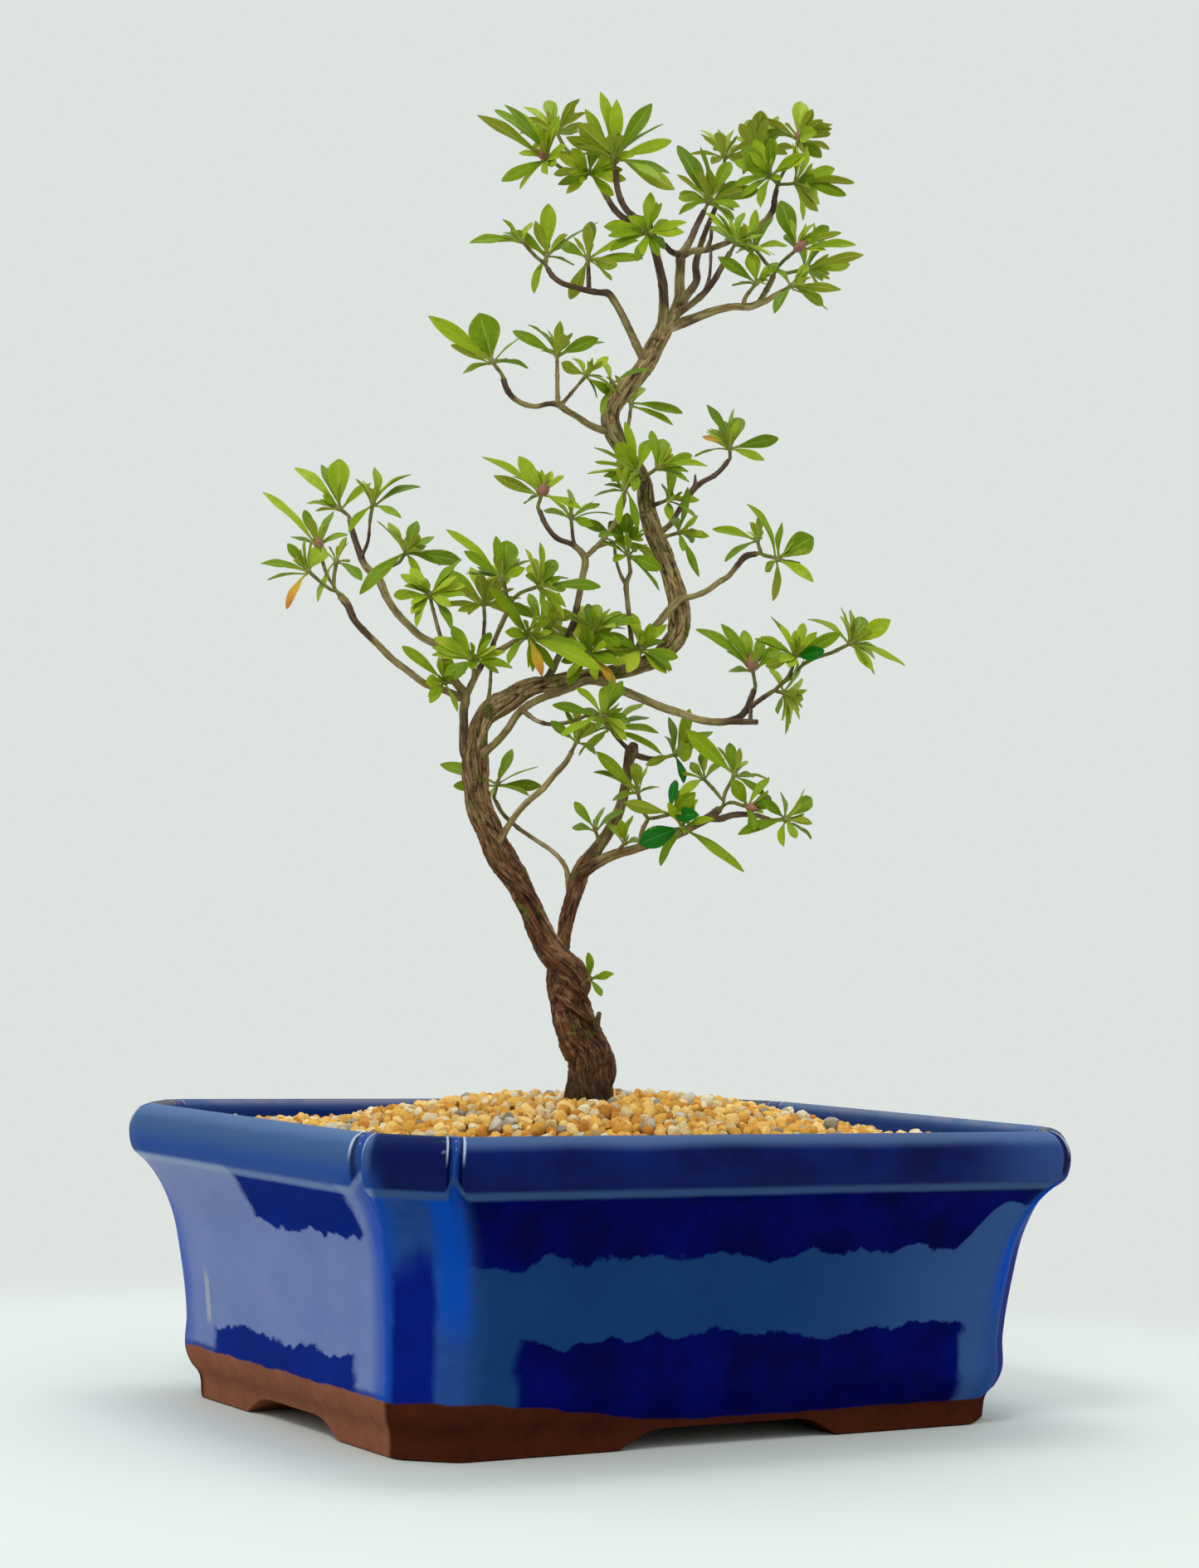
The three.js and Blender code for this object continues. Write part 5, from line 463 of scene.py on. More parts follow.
# The leafy sprays: the route each grows from, and its twigs. A twig has a stem (x, z, w), how many leaves
# fill its far side, its leaves' tips as seen (x, z, width, w beyond the bud), and the leaves seen edge-on.
# A negative width shows the leaf's paler underside.
SPRAYS = {
    "crown_centre": ("crownLeft", [
        ([], 1, [(-6.2, 328.4, 3.6), (-0.8, 326, 4.4), (-13, 317.5, -6, 6), (-17, 313, -3.5, 9),
         (-11, 322.5, 3.2), (10.8, 325, 5), (17.6, 312.8, 4), (17.2, 302, 3), (5.4, 307.4, 3, 9),
         (19, 296.6, -4.6, 6), (14.2, 299.8, 3)], [(14.8, 318.4, 1.6)]),
    ]),
    "crown_left": ("crownLeft2", [
        ([(-9.6, 301.6, -2), (-13.2, 306, -5), (-17.4, 309.7, -7), (-19, 312.6, -8)], 1,
         [(-23.2, 325, 4.4), (-14.6, 324.8, -3.4), (-31.2, 322.6, 3), (-27, 316.6, -4),
         (-12.8, 321, 3.4)], []),
        ([(-13.9, 301.4, 4), (-17.2, 302.2, 7), (-21, 304.7, 10)], 0, [(-46.2, 319.4, -2.2),
         (-40.6, 321.4, 3.4), (-37.4, 323.2, 3.4), (-33.4, 321.4, 3.6), (-37.6, 297.8, 4, 3),
         (-24.6, 311.6, -3)], []),
        ([(-8.4, 301, 4)], 0, [(-19.2, 297.2, 3, 7), (-20.6, 300.6, -2.2, 4), (-15, 309.4, 4, 6)], []),
    ]),
    "crown_low": ("crownSpur", [
        ([], 1, [(3.4, 285, 3.2), (9.4, 274.6, 3), (17.2, 286.6, 3), (16.6, 277.4, 3), (6.8, 287.6, 3)],
         [(21.2, 282, 1.4)]),
    ]),
    "crown_mid": ("crownMid", [
        ([], 1, [(22.4, 308.4, 5.4), (26.8, 311.2, 2), (36.8, 306.4, 4.4), (46.4, 297.4, 4.4),
         (40.4, 300, 3.4), (20.2, 294.4, 3.4), (40.4, 291.6, 3), (38, 285.4, 2.2), (19.4, 311.4, 4.6, -6),
         (20.4, 288.4, 2.4)], []),
    ]),
    "crown_back": ("crownBack", [
        ([], 1, [(26.8, 316.6, 2.2), (32.6, 317, 2.6), (41.6, 312, 3)], [(37.6, 317, 1.8)]),
    ]),
    "crown_four": ("crownFour", [
        ([], 1, [(36.6, 288, 2), (41.6, 289.8, 2.4), (30.6, 284.6, 3), (44.6, 285.6, 3),
         (45.4, 275.6, 2.6)], []),
    ]),
    "crown_right": ("crownAcross", [
        ([(50.8, 301, -10)], 1, [(40.4, 311.6, 5.6, 2), (44.2, 314.2, 4), (47, 291.6, 2.6),
         (43, 303.4, 3, 8), (49.6, 315, 3.6, 6)], []),
        ([(56, 299.6, -12)], 0, [(74.8, 296.4, 3.6), (65.8, 290.8, -4), (70.8, 305.2, 4),
         (64.4, 302.6, 3, 8)], [(77.4, 300.6, -1.6)]),
        ([(54.6, 304.4, -15), (57.4, 309.4, -17), (58.2, 312.4, -18)], 0, [(59.2, 327, 5.4),
         (64.8, 316.6, 5.4), (69.2, 316.8, -2), (63, 319.6, 3), (66.4, 308.6, 4, 4)], []),
        ([(48.4, 304.8, -18), (47, 308, -20)], 0, [(46.2, 323.6, -5.4), (42, 320.4, 5.4),
         (51.8, 322, 3.4), (37.4, 314.4, 2.6), (54.6, 316.6, 3)], []),
    ]),
    "right_front": ("crownRight", [
        ([], 1, [(68.2, 260, 3.6), (74, 265.4, -2.6), (63, 273.4, 3), (52.4, 256.8, 3), (51, 272, 2.6)],
         []),
    ]),
    "right_fork": ("crownRight2", [
        ([(56.4, 270.4, 0), (60.4, 271.4, -2)], 1, [(81, 277, -2.4), (76.6, 273.8, 4.4), (68, 281.6, 3),
         (67.8, 268, 2.6), (58.4, 280.4, 3)], []),
        ([(54.6, 274, 8), (57.4, 276.6, 11)], 0, [(53.4, 294.2, 6), (78.4, 280.2, 3), (73.6, 284, -2),
         (69.4, 286, 4), (55.2, 283, 3), (64.8, 287, 2.2)], []),
        ([(49, 273.6, 2), (46.8, 276.4, 4)], 0, [(45.4, 291, 3), (51.2, 289, 2.6), (56.2, 279.4, 3),
         (36.8, 281, 2.8), (39.6, 276.4, 2.4)], []),
    ]),
    "right_small": ("twigRL", [
        ([], 1, [(33.4, 275, 3.8), (44, 277, 4.8), (49, 268.6, 2.2)], [(38.4, 265.6, 1.4)]),
    ]),
    "left_low_crown": ("branchS", [
        ([(-22.2, 271.8, 18)], 1, [(-22, 291, 5), (-32.2, 281.8, 3), (-26.2, 285.2, -3),
         (-15, 278.8, 3.4), (-25.8, 261.2, 2.6, 2)], [(-5.4, 285.4, 1.3, 0), (-13, 270.8, 1.4)]),
        ([(-25.6, 273.4, 21), (-28.6, 276.6, 23)], 0, [(-47.4, 277.2, 3.4, 2), (-27.4, 284.6, 2.4),
         (-36.4, 281, 2.2)], [(-36.8, 285.4, 1.3)]),
    ]),
    "left_low_crown_2": ("twigS1", [
        ([], 1, [(-8.2, 285.4, 4.2), (7.8, 279.6, 3), (9.4, 273.8, 3.4), (1, 271.2, -4, 6),
         (-17.6, 277.8, 3.6), (-14.2, 259.6, -4.2)], [(-0.8, 266.2, 1.6)]),
    ]),
    "fork_left": ("leftFork", [
        ([(-37, 236.4, 29)], 1, [(-43.4, 254.4, 9.6), (-60, 253, 4.8), (-52.4, 243.6, -2.4),
         (-48.2, 234.4, 2.4), (-26.8, 236.8, 2.2)], [(-29.6, 247, 1.2), (-34, 239.2, 1.6)]),
    ]),
    "fork_up": ("twigT2", [
        ([], 1, [(-32.4, 248.8, 3.6), (-15, 248, -4), (-4.4, 247.2, 4.4), (-2.4, 246, 2.4),
         (-22.6, 242.8, 2.6)], [(-21, 249.4, 1.4)]),
    ]),
    "fork_right": ("twigT3", [
        ([], 1, [(-16.4, 238.8, -3.6), (-12.8, 240.4, 2), (-6.8, 237.8, 2.4), (0.4, 229.2, 3)],
         [(-2.8, 234.6, 1.2), (-4.2, 227.6, 1.4)]),
    ]),
    "upper_right": ("spurT4", [
        ([], 1, [(10.8, 231.4, 3), (23.6, 223.4, 3.4), (20.6, 219.4, 2.6), (2, 231, 3, -12)], []),
    ]),
    "upper_left": ("spurT5", [
        ([], 1, [(-4.8, 240.4, 2.6), (-2.6, 222, 2, 10)], []),
    ]),
    "bend_front": ("spurU", [
        ([(10.2, 203, 8)], 1, [(2.4, 213.2, 5.4, 4), (4.8, 220.2, 3), (2.4, 207.4, -4.4),
         (12.6, 214.4, 4), (8.4, 197.4, 3)], [(-5.2, 211.6, 1.8), (-7, 202.8, 1.4, 5)]),
        ([(14, 204, 7)], 0, [(17.4, 215, 5.6), (27, 209.8, 3.4), (32.2, 206.4, 2.4), (25.2, 202.4, 2.4),
         (13.6, 217.6, 3)], []),
    ]),
    "bend_right": ("spurU3", [
        ([], 1, [(21.8, 196.2, 4.4, 10), (20.2, 188.4, 3)], [(28.6, 189.6, 1.8), (17.4, 200.4, 1.6)]),
    ]),
    "bend_right_2": ("spurU4", [
        ([], 1, [(28.6, 183.2, 4.6), (24.6, 178.6, 2.4), (21.8, 189.4, 3), (30.2, 170.2, 2.6)], []),
    ]),
    "mid_left": ("branchH", [
        ([(-22, 193.4, 19)], 1, [(-41.2, 207.4, 2.4), (-37.2, 201.4, -3.4), (-29.2, 208, 4.6),
         (-8.4, 191.4, 2.4, 4)], [(-22.6, 200.8, 1.6), (-27, 192.4, 1.4)]),
    ]),
    "mid_small": ("twigK", [
        ([], 1, [(-20.6, 190.6, 2.6), (-12.6, 197.6, 2.2), (-2.4, 193.2, 2.4), (0.2, 184.6, 3.4),
         (-4.4, 186, 3, 8)], []),
    ]),
    "mid_top": ("twigV", [
        ([(5.4, 195.6, 18)], 1, [(9.8, 185.2, 2.6, 3), (10.6, 201.4, 2.4), (4, 186.6, 2.4, 7)],
         [(-4.6, 195.6, 1.4), (-1.4, 199.4, 1.6)]),
    ]),
    "mid_right": ("twigV2", [
        ([], 1, [(0.6, 187.6, 4.6, 8), (6.4, 190.6, 4.4, 4), (10.4, 186, 3, 6), (-2.6, 182.2, 2.4, 9),
         (9.6, 177.6, 2.4, 5)], []),
    ]),
    "mid_drop": ("branchI", [
        ([], 1, [(18.2, 172.4, 4.6, 3), (2.4, 174.4, 2.4, 9)], [(17.6, 165.4, 1.6), (13.4, 180.4, 1.6)]),
    ]),
    "centre": ("spurK", [
        ([(-2.7, 146, 9), (-2.9, 149.6, 11)], 1, [(-2.6, 160.4, 4), (8.2, 157, 2.6), (5.6, 147.6, 3.6),
         (-8.8, 155, 3), (-5.6, 160.6, 3, -6)], []),
        ([(-3.4, 143.4, 9)], 0, [(-8.6, 158, 2.4, 0), (4.2, 134, 2.6), (-13.6, 141.6, 3, 5),
         (4.6, 143.6, 2.6, 6)], []),
    ]),
    "centre_right": ("spurK3", [
        ([], 1, [(24.2, 144, 3.6, 5), (12.4, 152.6, 3.4), (19.6, 149.4, 2.4), (4.4, 149.4, 2.6, 8),
         (22.4, 139.6, 2.4)], []),
    ]),
    "heart": ("stemF", [
        ([(-31.6, 162.4, 17), (-32.4, 165.4, 18)], 1, [(-32, 180.4, 7.6), (-52, 183.4, 3),
         (-35.8, 181.8, 3), (-46, 176.6, 3), (-26, 171.6, 3, 10)], []),
        ([(-27.4, 163.4, 21), (-23.6, 165, 23)], 0, [(-24.6, 172.8, 3.4), (-16.2, 174.4, 4.4),
         (-1.2, 166.2, 3.4, 2), (-11.8, 168.6, 2), (-14, 160, 3)], []),
    ]),
    "heart_left": ("stemF3", [
        ([(-38.8, 157.4, -6)], 1, [(-51.4, 170.2, 4.6), (-52.4, 166.4, 3), (-43.6, 171.4, 3.4),
         (-30.6, 168.4, 3), (-47.4, 157, 3)], []),
    ]),
    "heart_right": ("leftInner", [
        ([(-26, 149, 11)], 1, [(-37.6, 165, 3.2, 5), (-5.2, 145.6, 4, 4), (-0.6, 139.2, 4.6, 6),
         (-19.6, 136.6, 3), (-30.4, 140.4, 2.6)], []),
        ([(-24.6, 151.4, 7), (-21.8, 153.4, 5)], 0, [(-14.8, 164, 3.6), (-13.4, 154.6, 4.4),
         (-30.8, 160, 3.4, -5), (-16.4, 147.8, 3), (-24.6, 163.4, 3)], []),
    ]),
    "left_inner": ("stemE", [
        ([(-56, 160, 9)], 1, [(-68.2, 161.6, 3.4), (-49.4, 151.2, 2.8), (-59.6, 168, 2.4),
         (-60.4, 151.4, 2.4), (-50.4, 168, 3)], []),
    ]),
    "left_elbow": ("spurE", [
        ([], 1, [(-50.4, 148.4, 3), (-50.4, 143.6, 2.6), (-36.4, 150.4, 3), (-47.6, 134.6, 2.6),
         (-33.4, 137.4, 2.4)], []),
    ]),
    "left_round": ("spurE2", [
        ([], 1, [(-57, 133.6, 4.6, 4), (-48.8, 141.6, 4, 4), (-65, 145.2, 3.4), (-55.4, 127, 3)],
         [(-46.4, 124.4, 1.6)]),
    ]),
    "left_top": ("leftUpper", [
        ([(-84.4, 187.6, -20)], 1, [(-101.6, 202.2, 3.4), (-93, 203.4, 3.4), (-87.2, 205.4, 7),
         (-76.4, 197.8, 3), (-97.4, 190.6, 2.4)], []),
    ]),
    "left_shoot": ("shootL", [
        ([(-76.2, 188.4, -8)], 1, [(-75.6, 203, 2.4), (-60.4, 197, 2.6), (-66.4, 186.6, 2.6),
         (-83.4, 181.4, 2.6, 6)], []),
    ]),
    "left_crotch": ("twigL", [
        ([(-66, 173.4, -4)], 1, [(-61.4, 186, 4), (-46.6, 173.4, 4.8, 5), (-60.6, 166, 2.8),
         (-79.2, 161.4, 4.6, 9), (-70.6, 185.2, 3), (-55.6, 181, 3)], []),
    ]),
    "left_end": ("lowLeft", [
        ([(-88.7, 163, 30), (-91.6, 165, 31), (-94, 167, 32)], 1, [(-111.6, 170.6, 2.6), (-103, 177.4, 3),
         (-91, 176.6, 5.4), (-102.4, 156, 2.8)], []),
        ([(-87.6, 166.4, 25), (-87.2, 170, 23)], 0, [(-83.4, 178, 2.6), (-78.6, 166, 2.8),
         (-92.6, 158.6, 2.4)], []),
        ([(-90, 168, 28), (-91.8, 173, 26), (-92.4, 175, 25)], 0, [(-111.8, 194, 2.6), (-98, 188.4, 3),
         (-88.4, 188.4, 3), (-83.4, 181, 2.4)], [(-102, 179.6, 1.6)]),
    ]),
    "low_left_tip": ("branchA", [
        ([], 1, [(-16.4, 122.4, 3), (-2.6, 121.4, -3.4), (-9.4, 128, 2.6), (-1.4, 112.4, 2.4)], []),
    ]),
    "behind_trunk": ("branchB", [
        ([(-33.4, 99, -29)], 1, [(-28.4, 113, 3.4), (-18.6, 101.4, 3.8), (-51.6, 107.4, 4.2),
         (-47, 100.6, 3.6), (-39.4, 90.4, 3)], [(-22.4, 98, 1.4)]),
    ]),
    "middle_cluster": ("innerD", [
        ([(-2.4, 125, 25)], 1, [(-8.4, 133.4, 2.6), (-16, 127.6, 3), (7.4, 133.4, 2.6), (1.4, 134.4, 3),
         (-12.6, 117.6, 2.6), (9.4, 122, 2.4)], []),
    ]),
    "knob_left": ("twigZ1", [
        ([(4, 119, -4)], 1, [(18.8, 119.4, 2.6), (20, 112.4, 2.4), (15.6, 124.4, 2), (13.6, 129, 2.4),
         (-8.4, 119, 3), (-3.6, 113.4, 2.6), (-6.4, 126.6, 3)], []),
    ]),
    "knob_right": ("twigX6", [
        ([(21.6, 111.9, -7)], 1, [(21.7, 124.8, 2.8), (36.2, 120.4, 3), (29.6, 114.6, 6.4, 12),
         (14.6, 109, -2.6, 6), (27, 103.4, 2.6), (20.4, 118.6, 2)], []),
    ]),
    "low_middle": ("twigLow4", [
        ([(14, 94.4, 10), (13, 98, 11)], 1, [(-1.4, 113, 3.8), (11.4, 109.6, 3.8), (4.2, 97.4, 2.4)],
         [(19.4, 102.2, 1.4)]),
        ([(18.6, 92.2, 13), (21.4, 93, 15)], 0, [(7.8, 96.8, -4, 6), (31, 100.8, 4.4, 8),
         (27.4, 101.4, 4), (32.4, 93.4, 4.4, 9), (24.4, 104.6, 3)], []),
    ]),
    "low_right": ("lowRight", [
        ([(40.4, 100.6, 15), (42.2, 104.4, 14)], 1, [(27.2, 121, 5), (41.4, 117, 3.4), (49.8, 106.6, 2.4),
         (53.2, 100.4, 2.6, 5), (47, 111.4, 2.4)], []),
        ([(42.6, 97.8, 20), (46, 97, 23)], 0, [(42.4, 105.6, 4.4, 7), (55.4, 99.6, 3.4), (50, 89, 2.6),
         (54.6, 106.4, 2.4, -8)], []),
        ([(38, 100.4, 9), (34.6, 104, 5)], 0, [(29, 110.4, 3), (33.4, 116.4, 3), (25.6, 99.4, 3),
         (40, 112, 2.4, -9)], []),
    ]),
    "low_right_end": ("lowRightEnd", [
        ([(57.4, 92.6, 25)], 1, [(68.4, 100, 4.6), (68.8, 91.8, 2.6), (63.4, 86.8, 2.8), (59.8, 84, 2.2),
         (52.4, 99.4, 3, 6), (44.8, 87.4, 3.4, 6)], [(58.2, 101.8, 1.6)]),
    ]),
    "low_front": ("spurOval", [
        ([], 0, [(13, 83.6, 6.6, 7), (47.4, 75.4, 3.4, 5), (37.4, 92.2, 2.4, 7), (20.4, 76.6, 2.6)], []),
    ]),
    "long_shoot": ("rightShoot", [
        ([(57.4, 136.2, 15), (61, 139, 18), (64.4, 142.8, 20), (69, 145.4, 22), (74, 147.2, 24),
          (77.4, 149, 25)],
         1, [(92.4, 158.2, 5.4), (83.6, 158.8, 4.4), (97.6, 143.4, 2.6), (87.2, 141.6, 3), (76.2, 159, 2),
         (65.4, 157.6, 2.4)], []),
        ([(57.4, 136.2, 15), (60.6, 140.4, 19), (61.4, 143.4, 21)], 0, [(76.4, 153.4, 4, 6),
         (64.4, 156.4, 3), (52.4, 142, -3.4, 5), (71.4, 147.6, 4.4, 9)], [(53.6, 158.4, 1.8)]),
        ([(56.4, 134, 14)], 0, [(63.8, 127.8, -3), (53.8, 141.4, 2.4)], [(56.8, 126.6, 1.4)]),
    ]),
    "right_tuft": ("branchD", [
        ([(48.8, 138, 4)], 1, [(29.4, 153.4, 3.4), (37.6, 155.4, 3.4), (45.2, 153.6, 4), (51, 151.4, 3.4),
         (53.4, 148, 2.2), (40.4, 140, 2.4), (57.4, 150, 3.6)], []),
    ]),
    "mid_right_up": ("branchW", [
        ([(39.2, 210, -22)], 1, [(31.2, 226.6, 3), (41.8, 222.6, 5), (32.4, 218.8, 2.6), (30, 216.2, 2.6),
         (54.8, 216.2, 4.2), (50.4, 208.8, 3), (36.6, 221.4, 4)], [(40, 225.4, 1.4)]),
    ]),
    "mid_right_low": ("branchJ", [
        ([(50.6, 178.2, 19), (53, 177.6, 20)], 1, [(45, 194.6, 2), (66.8, 184.4, 7.4), (67.2, 169.6, 3.4),
         (51.4, 172.8, -2.6, 8), (56.6, 189, 2)], []),
        ([(49.2, 181, 17.4)], 0, [(34, 186, 3), (50.6, 185.4, 2.2, 7), (38.4, 175.4, 2.4)], []),
    ]),
    "low_spur": ("spurLow", [
        ([], 1, [(7, 91.4, 3.4, 4), (11.2, 92.8, 2), (14.6, 84.4, 2.4), (2.4, 90.4, 2.4)], []),
    ]),
    "low_spur_2": ("spurUp", [
        ([], 1, [(-8, 96.6, 3), (-8.4, 88.4, 2.6)], [(2, 95.2, 1.8)]),
    ]),
    "trunk_leaves": ("spurTrunk", [
        ([], 0, [(-2.2, 48.4, 2.6, 5), (6.4, 41.8, 2.6, 4), (2.4, 34.4, 2.2, 7)], []),
    ]),
}


def draw(a, b):
    """A repeatable draw from 0 to 1 for two whole numbers."""
    s = math.sin(a * 12.9898 + b * 78.233 + 4.1) * 43758.5453
    return s - math.floor(s)


def between(low, high, share):
    return low + (high - low) * share


def grown(pair, share):
    """A least value, and as much more of what may be added as a draw says."""
    return pair[0] + pair[1] * share


def ease(low, high, value):
    """0 below low, 1 above high, and smooth between."""
    t = min(1, max(0, (value - low) / (high - low)))
    return t * t * (3 - 2 * t)


def inside(value, ends):
    """For a finish: 1 between two ends and 0 beyond them. Each end is the stretch in which it changes."""
    first, last = ends
    return value.ease(*first) * (1 - value.ease(*last))


class Wire:
    """A socket of a finish that takes part in sums as a number does."""

    def __init__(self, finish, socket):
        self.finish = finish
        self.socket = socket

    def sum(self, operation, *terms):
        return self.finish.node("ShaderNodeMath", {"operation": operation}, dict(enumerate(terms)))

    def __add__(self, other):
        return self.sum("ADD", self, other)

    def __sub__(self, other):
        return self.sum("SUBTRACT", self, other)

    def __rsub__(self, other):
        return self.sum("SUBTRACT", other, self)

    def __mul__(self, other):
        return self.sum("MULTIPLY", self, other)

    def __pow__(self, other):
        return self.sum("POWER", self, other)

    __radd__ = __add__
    __rmul__ = __mul__

    def abs(self):
        return self.sum("ABSOLUTE", self)

    def ease(self, low, high):
        """0 below low, 1 above high, and smooth between."""
        return self.finish.node("ShaderNodeMapRange", {"interpolation_type": "SMOOTHSTEP"},
                                {"Value": self, "From Min": low, "From Max": high})


def colour(code):
    """A colour for a socket from its usual six-digit code."""
    parts = [int(code[k:k + 2], 16) / 255 for k in (0, 2, 4)]
    return tuple(p / 12.92 if p < 0.04045 else ((p + 0.055) / 1.055) ** 2.4 for p in parts) + (1,)


class Finish:
    """A material under making."""

    def __init__(self, name):
        self.material = bpy.data.materials.new(name)
        self.material.use_nodes = True
        self.tree = self.material.node_tree
        self.tree.nodes.clear()

    @staticmethod
    def pick(sockets, key):
        if isinstance(key, int):
            return sockets[key]
        return next(s for s in sockets if s.name == key and s.enabled)

    def node(self, kind, settings=None, values=None, out=0):
        made = self.tree.nodes.new(kind)
        for key, value in (settings or {}).items():
            if key == "stops":
                ramp = made.color_ramp
                while len(ramp.elements) < len(value):
                    ramp.elements.new(0.5)
                for element, (at, code) in zip(ramp.elements, value):
                    element.position = at
                    element.color = colour(code)
            else:
                setattr(made, key, value)
        for key, value in (values or {}).items():
            socket = self.pick(made.inputs, key)
            if isinstance(value, Wire):
                self.tree.links.new(value.socket, socket)
            else:
                socket.default_value = value
        return Wire(self, self.pick(made.outputs, out))

    def place(self):
        """Where a point lies, in millimetres."""
        spot = self.node("ShaderNodeTexCoord", out="Object")
        return self.node("ShaderNodeVectorMath", {"operation": "SCALE"}, {0: spot, "Scale": 1000.0})

    def parts(self, vector):
        return [self.node("ShaderNodeSeparateXYZ", values={0: vector}, out=k) for k in range(3)]

    def kept(self, name):
        """The three values that a piece's mesh keeps under a name."""
        return self.parts(self.node("ShaderNodeAttribute", {"attribute_name": name}, out="Vector"))

    def cloud(self, place, size, detail=3.0, rough=0.55, bend=0.0):
        """Soft noise from 0 to 1 whose patches are about size wide."""
        return self.node("ShaderNodeTexNoise", None, {
            "Vector": place, "Scale": 1 / size, "Detail": detail, "Roughness": rough, "Distortion": bend})

    def cells(self, place, size, feature="F1"):
        return self.node("ShaderNodeTexVoronoi", {"feature": feature},
                         {"Vector": place, "Scale": 1 / size}, out="Distance")

    def ramp(self, value, stops):
        return self.node("ShaderNodeValToRGB", {"stops": stops}, {0: value})

    def mix(self, share, first, second):
        tones = [colour(c) if isinstance(c, str) else c for c in (first, second)]
        return self.node("ShaderNodeMix", {"data_type": "RGBA"},
                         {"Factor": share, "A": tones[0], "B": tones[1]}, out="Result")

    def bump(self, height, depth, strength=1.0, normal=None):
        values = {"Height": height, "Distance": depth * MM, "Strength": strength}
        if normal:
            values["Normal"] = normal
        return self.node("ShaderNodeBump", None, values)

    def coat(self, base, roughness, normal=None, **uniform):
        """Ends the finish with its shader."""
        values = {"Base Color": base, "Roughness": roughness}
        if normal:
            values["Normal"] = normal
        values.update({key.replace("_", " "): value for key, value in uniform.items()})
        shader = self.node("ShaderNodeBsdfPrincipled", None, values)
        end = self.tree.nodes.new("ShaderNodeOutputMaterial")
        self.tree.links.new(shader.socket, end.inputs["Surface"])
        return self.material


class PotPlace:
    """What the glaze's tones depend on at each place of the pot."""

    def __init__(self, f):
        self.spot = f.place()
        self.x, self.y, self.height = f.parts(self.spot)
        self.crest, self.dent, self.inner = f.kept("section")
        self.rags = (f.cloud(self.spot, 17, 5, 0.62) - 0.5) * 15
        self.fine = (f.cloud(self.spot, 40, 2, 0.5) - 0.5) * 10
        self.worn = self.height + self.rags + self.fine
        along = self.x.abs() - self.y.abs()
        self.turn = along - CUT_MIDDLE
        self.cut = self.turn.abs()
        # 1 on the left short side, which alone carries a pale painted reflection, and 0 elsewhere
        self.short = along.ease(*SHORT_SIDE) * (1 - self.x.ease(*PALE_END))


def wall_tones(f, on):
    """The walls' colour, and where the slate and the pale painted reflections lie."""
    # The other sides: a dark band, a slate one that is a painted reflection, and a dark one that stops short
    # of both ends
    along = on.x + on.rags
    high = (on.worn - along.ease(*BAND_CLIMB) * CLIMB_RISE).ease(*BAND_FOOT)
    low = (1 - on.worn.ease(*LOW_BAND_TOP)) * inside(along, LOW_BAND_ENDS)
    slate_reflection = (1 - high) * (1 - low)
    # The left short side: a pale painted reflection, with a dark patch under the lip and a ragged dark edge
    # above the foot
    across = on.y + on.rags
    patch = on.worn.ease(*PATCH_FOOT) * inside(across, PATCH_ENDS)
    edge = (1 - on.worn.ease(*EDGE_TOP)) * inside(across, EDGE_ENDS)
    edge = edge + (1 - edge) * (1 - (on.height + on.rags * 0.2).ease(*EDGE_LINE)) * 0.8
    pale_reflection = on.short * (1 - patch) * (1 - edge)
    body = f.mix(f.cloud(on.spot, 19, 4, 0.6).ease(0.3, 0.7), "00023c", "010760")
    tone = f.mix(f.cloud(on.spot, 30, 3), "0b3266", "174276")
    # The slate band is a painted reflection of bright light, growing paler along x
    body = f.mix(slate_reflection, body, f.mix((on.x + on.fine).ease(*SLATE_PALING), tone, "34558a"))
    # Painted light: the left short side is a lighter blue than the other sides
    body = f.mix(on.short, body, f.mix(f.cloud(on.spot, 17, 4), "00166a", "02288c"))
    # The pale band on the left short side is a painted reflection
    body = f.mix(pale_reflection, body, f.mix(f.cloud(on.spot, 22, 4, 0.6), "5168aa", "7482b8"))
    return body, slate_reflection, pale_reflection


def corner_tones(f, on, body):
    """The corner: a painted reflection of lighter blue across its cut, painted highlights at both bends, and
    a dark finger below.
    """
    # Painted reflection: the cut is a lighter blue than the sides beside it
    cut_reflection = f.mix(f.cloud(on.spot, 9, 4, 0.7), "12357c", "2f5799")
    body = f.mix((1 - on.cut.ease(*CUT_GLAZE)) * 0.9, body, cut_reflection)
    # Painted highlights at both bends of the cut
    bend_highlight = (1 - (on.turn - LEFT_GLOW).abs().ease(*LEFT_GLOW_REACH)) * on.height.ease(*LEFT_GLOW_HEIGHTS)
    bend_highlight = bend_highlight + (1 - (on.turn - RIGHT_GLOW).abs().ease(*RIGHT_GLOW_REACH)) * 0.85
    body = f.mix(bend_highlight * f.cloud(on.spot, 24, 3).ease(0.15, 0.5) * 0.9, body, "0248b4")
    finger = 1 - (on.turn - FINGER + on.rags * 0.35).abs().ease(*FINGER_REACH)
    finger = finger * (1 - (on.worn + on.cut * 0.5).ease(*FINGER_HEIGHTS))
    body = f.mix(finger, body, f.mix(f.cloud(on.spot, 8, 4, 0.7), "010f62", "021f8a"))
    # A painted highlight: a pale streak near the far end of the left short side
    highlight_streak = 1 - (on.y - STREAK_MIDDLE + on.rags * 0.2).abs().ease(*STREAK_HALF)
    return f.mix(highlight_streak * inside(on.height, STREAK_HEIGHTS) * on.short * 0.55, body, "b9b4ad")


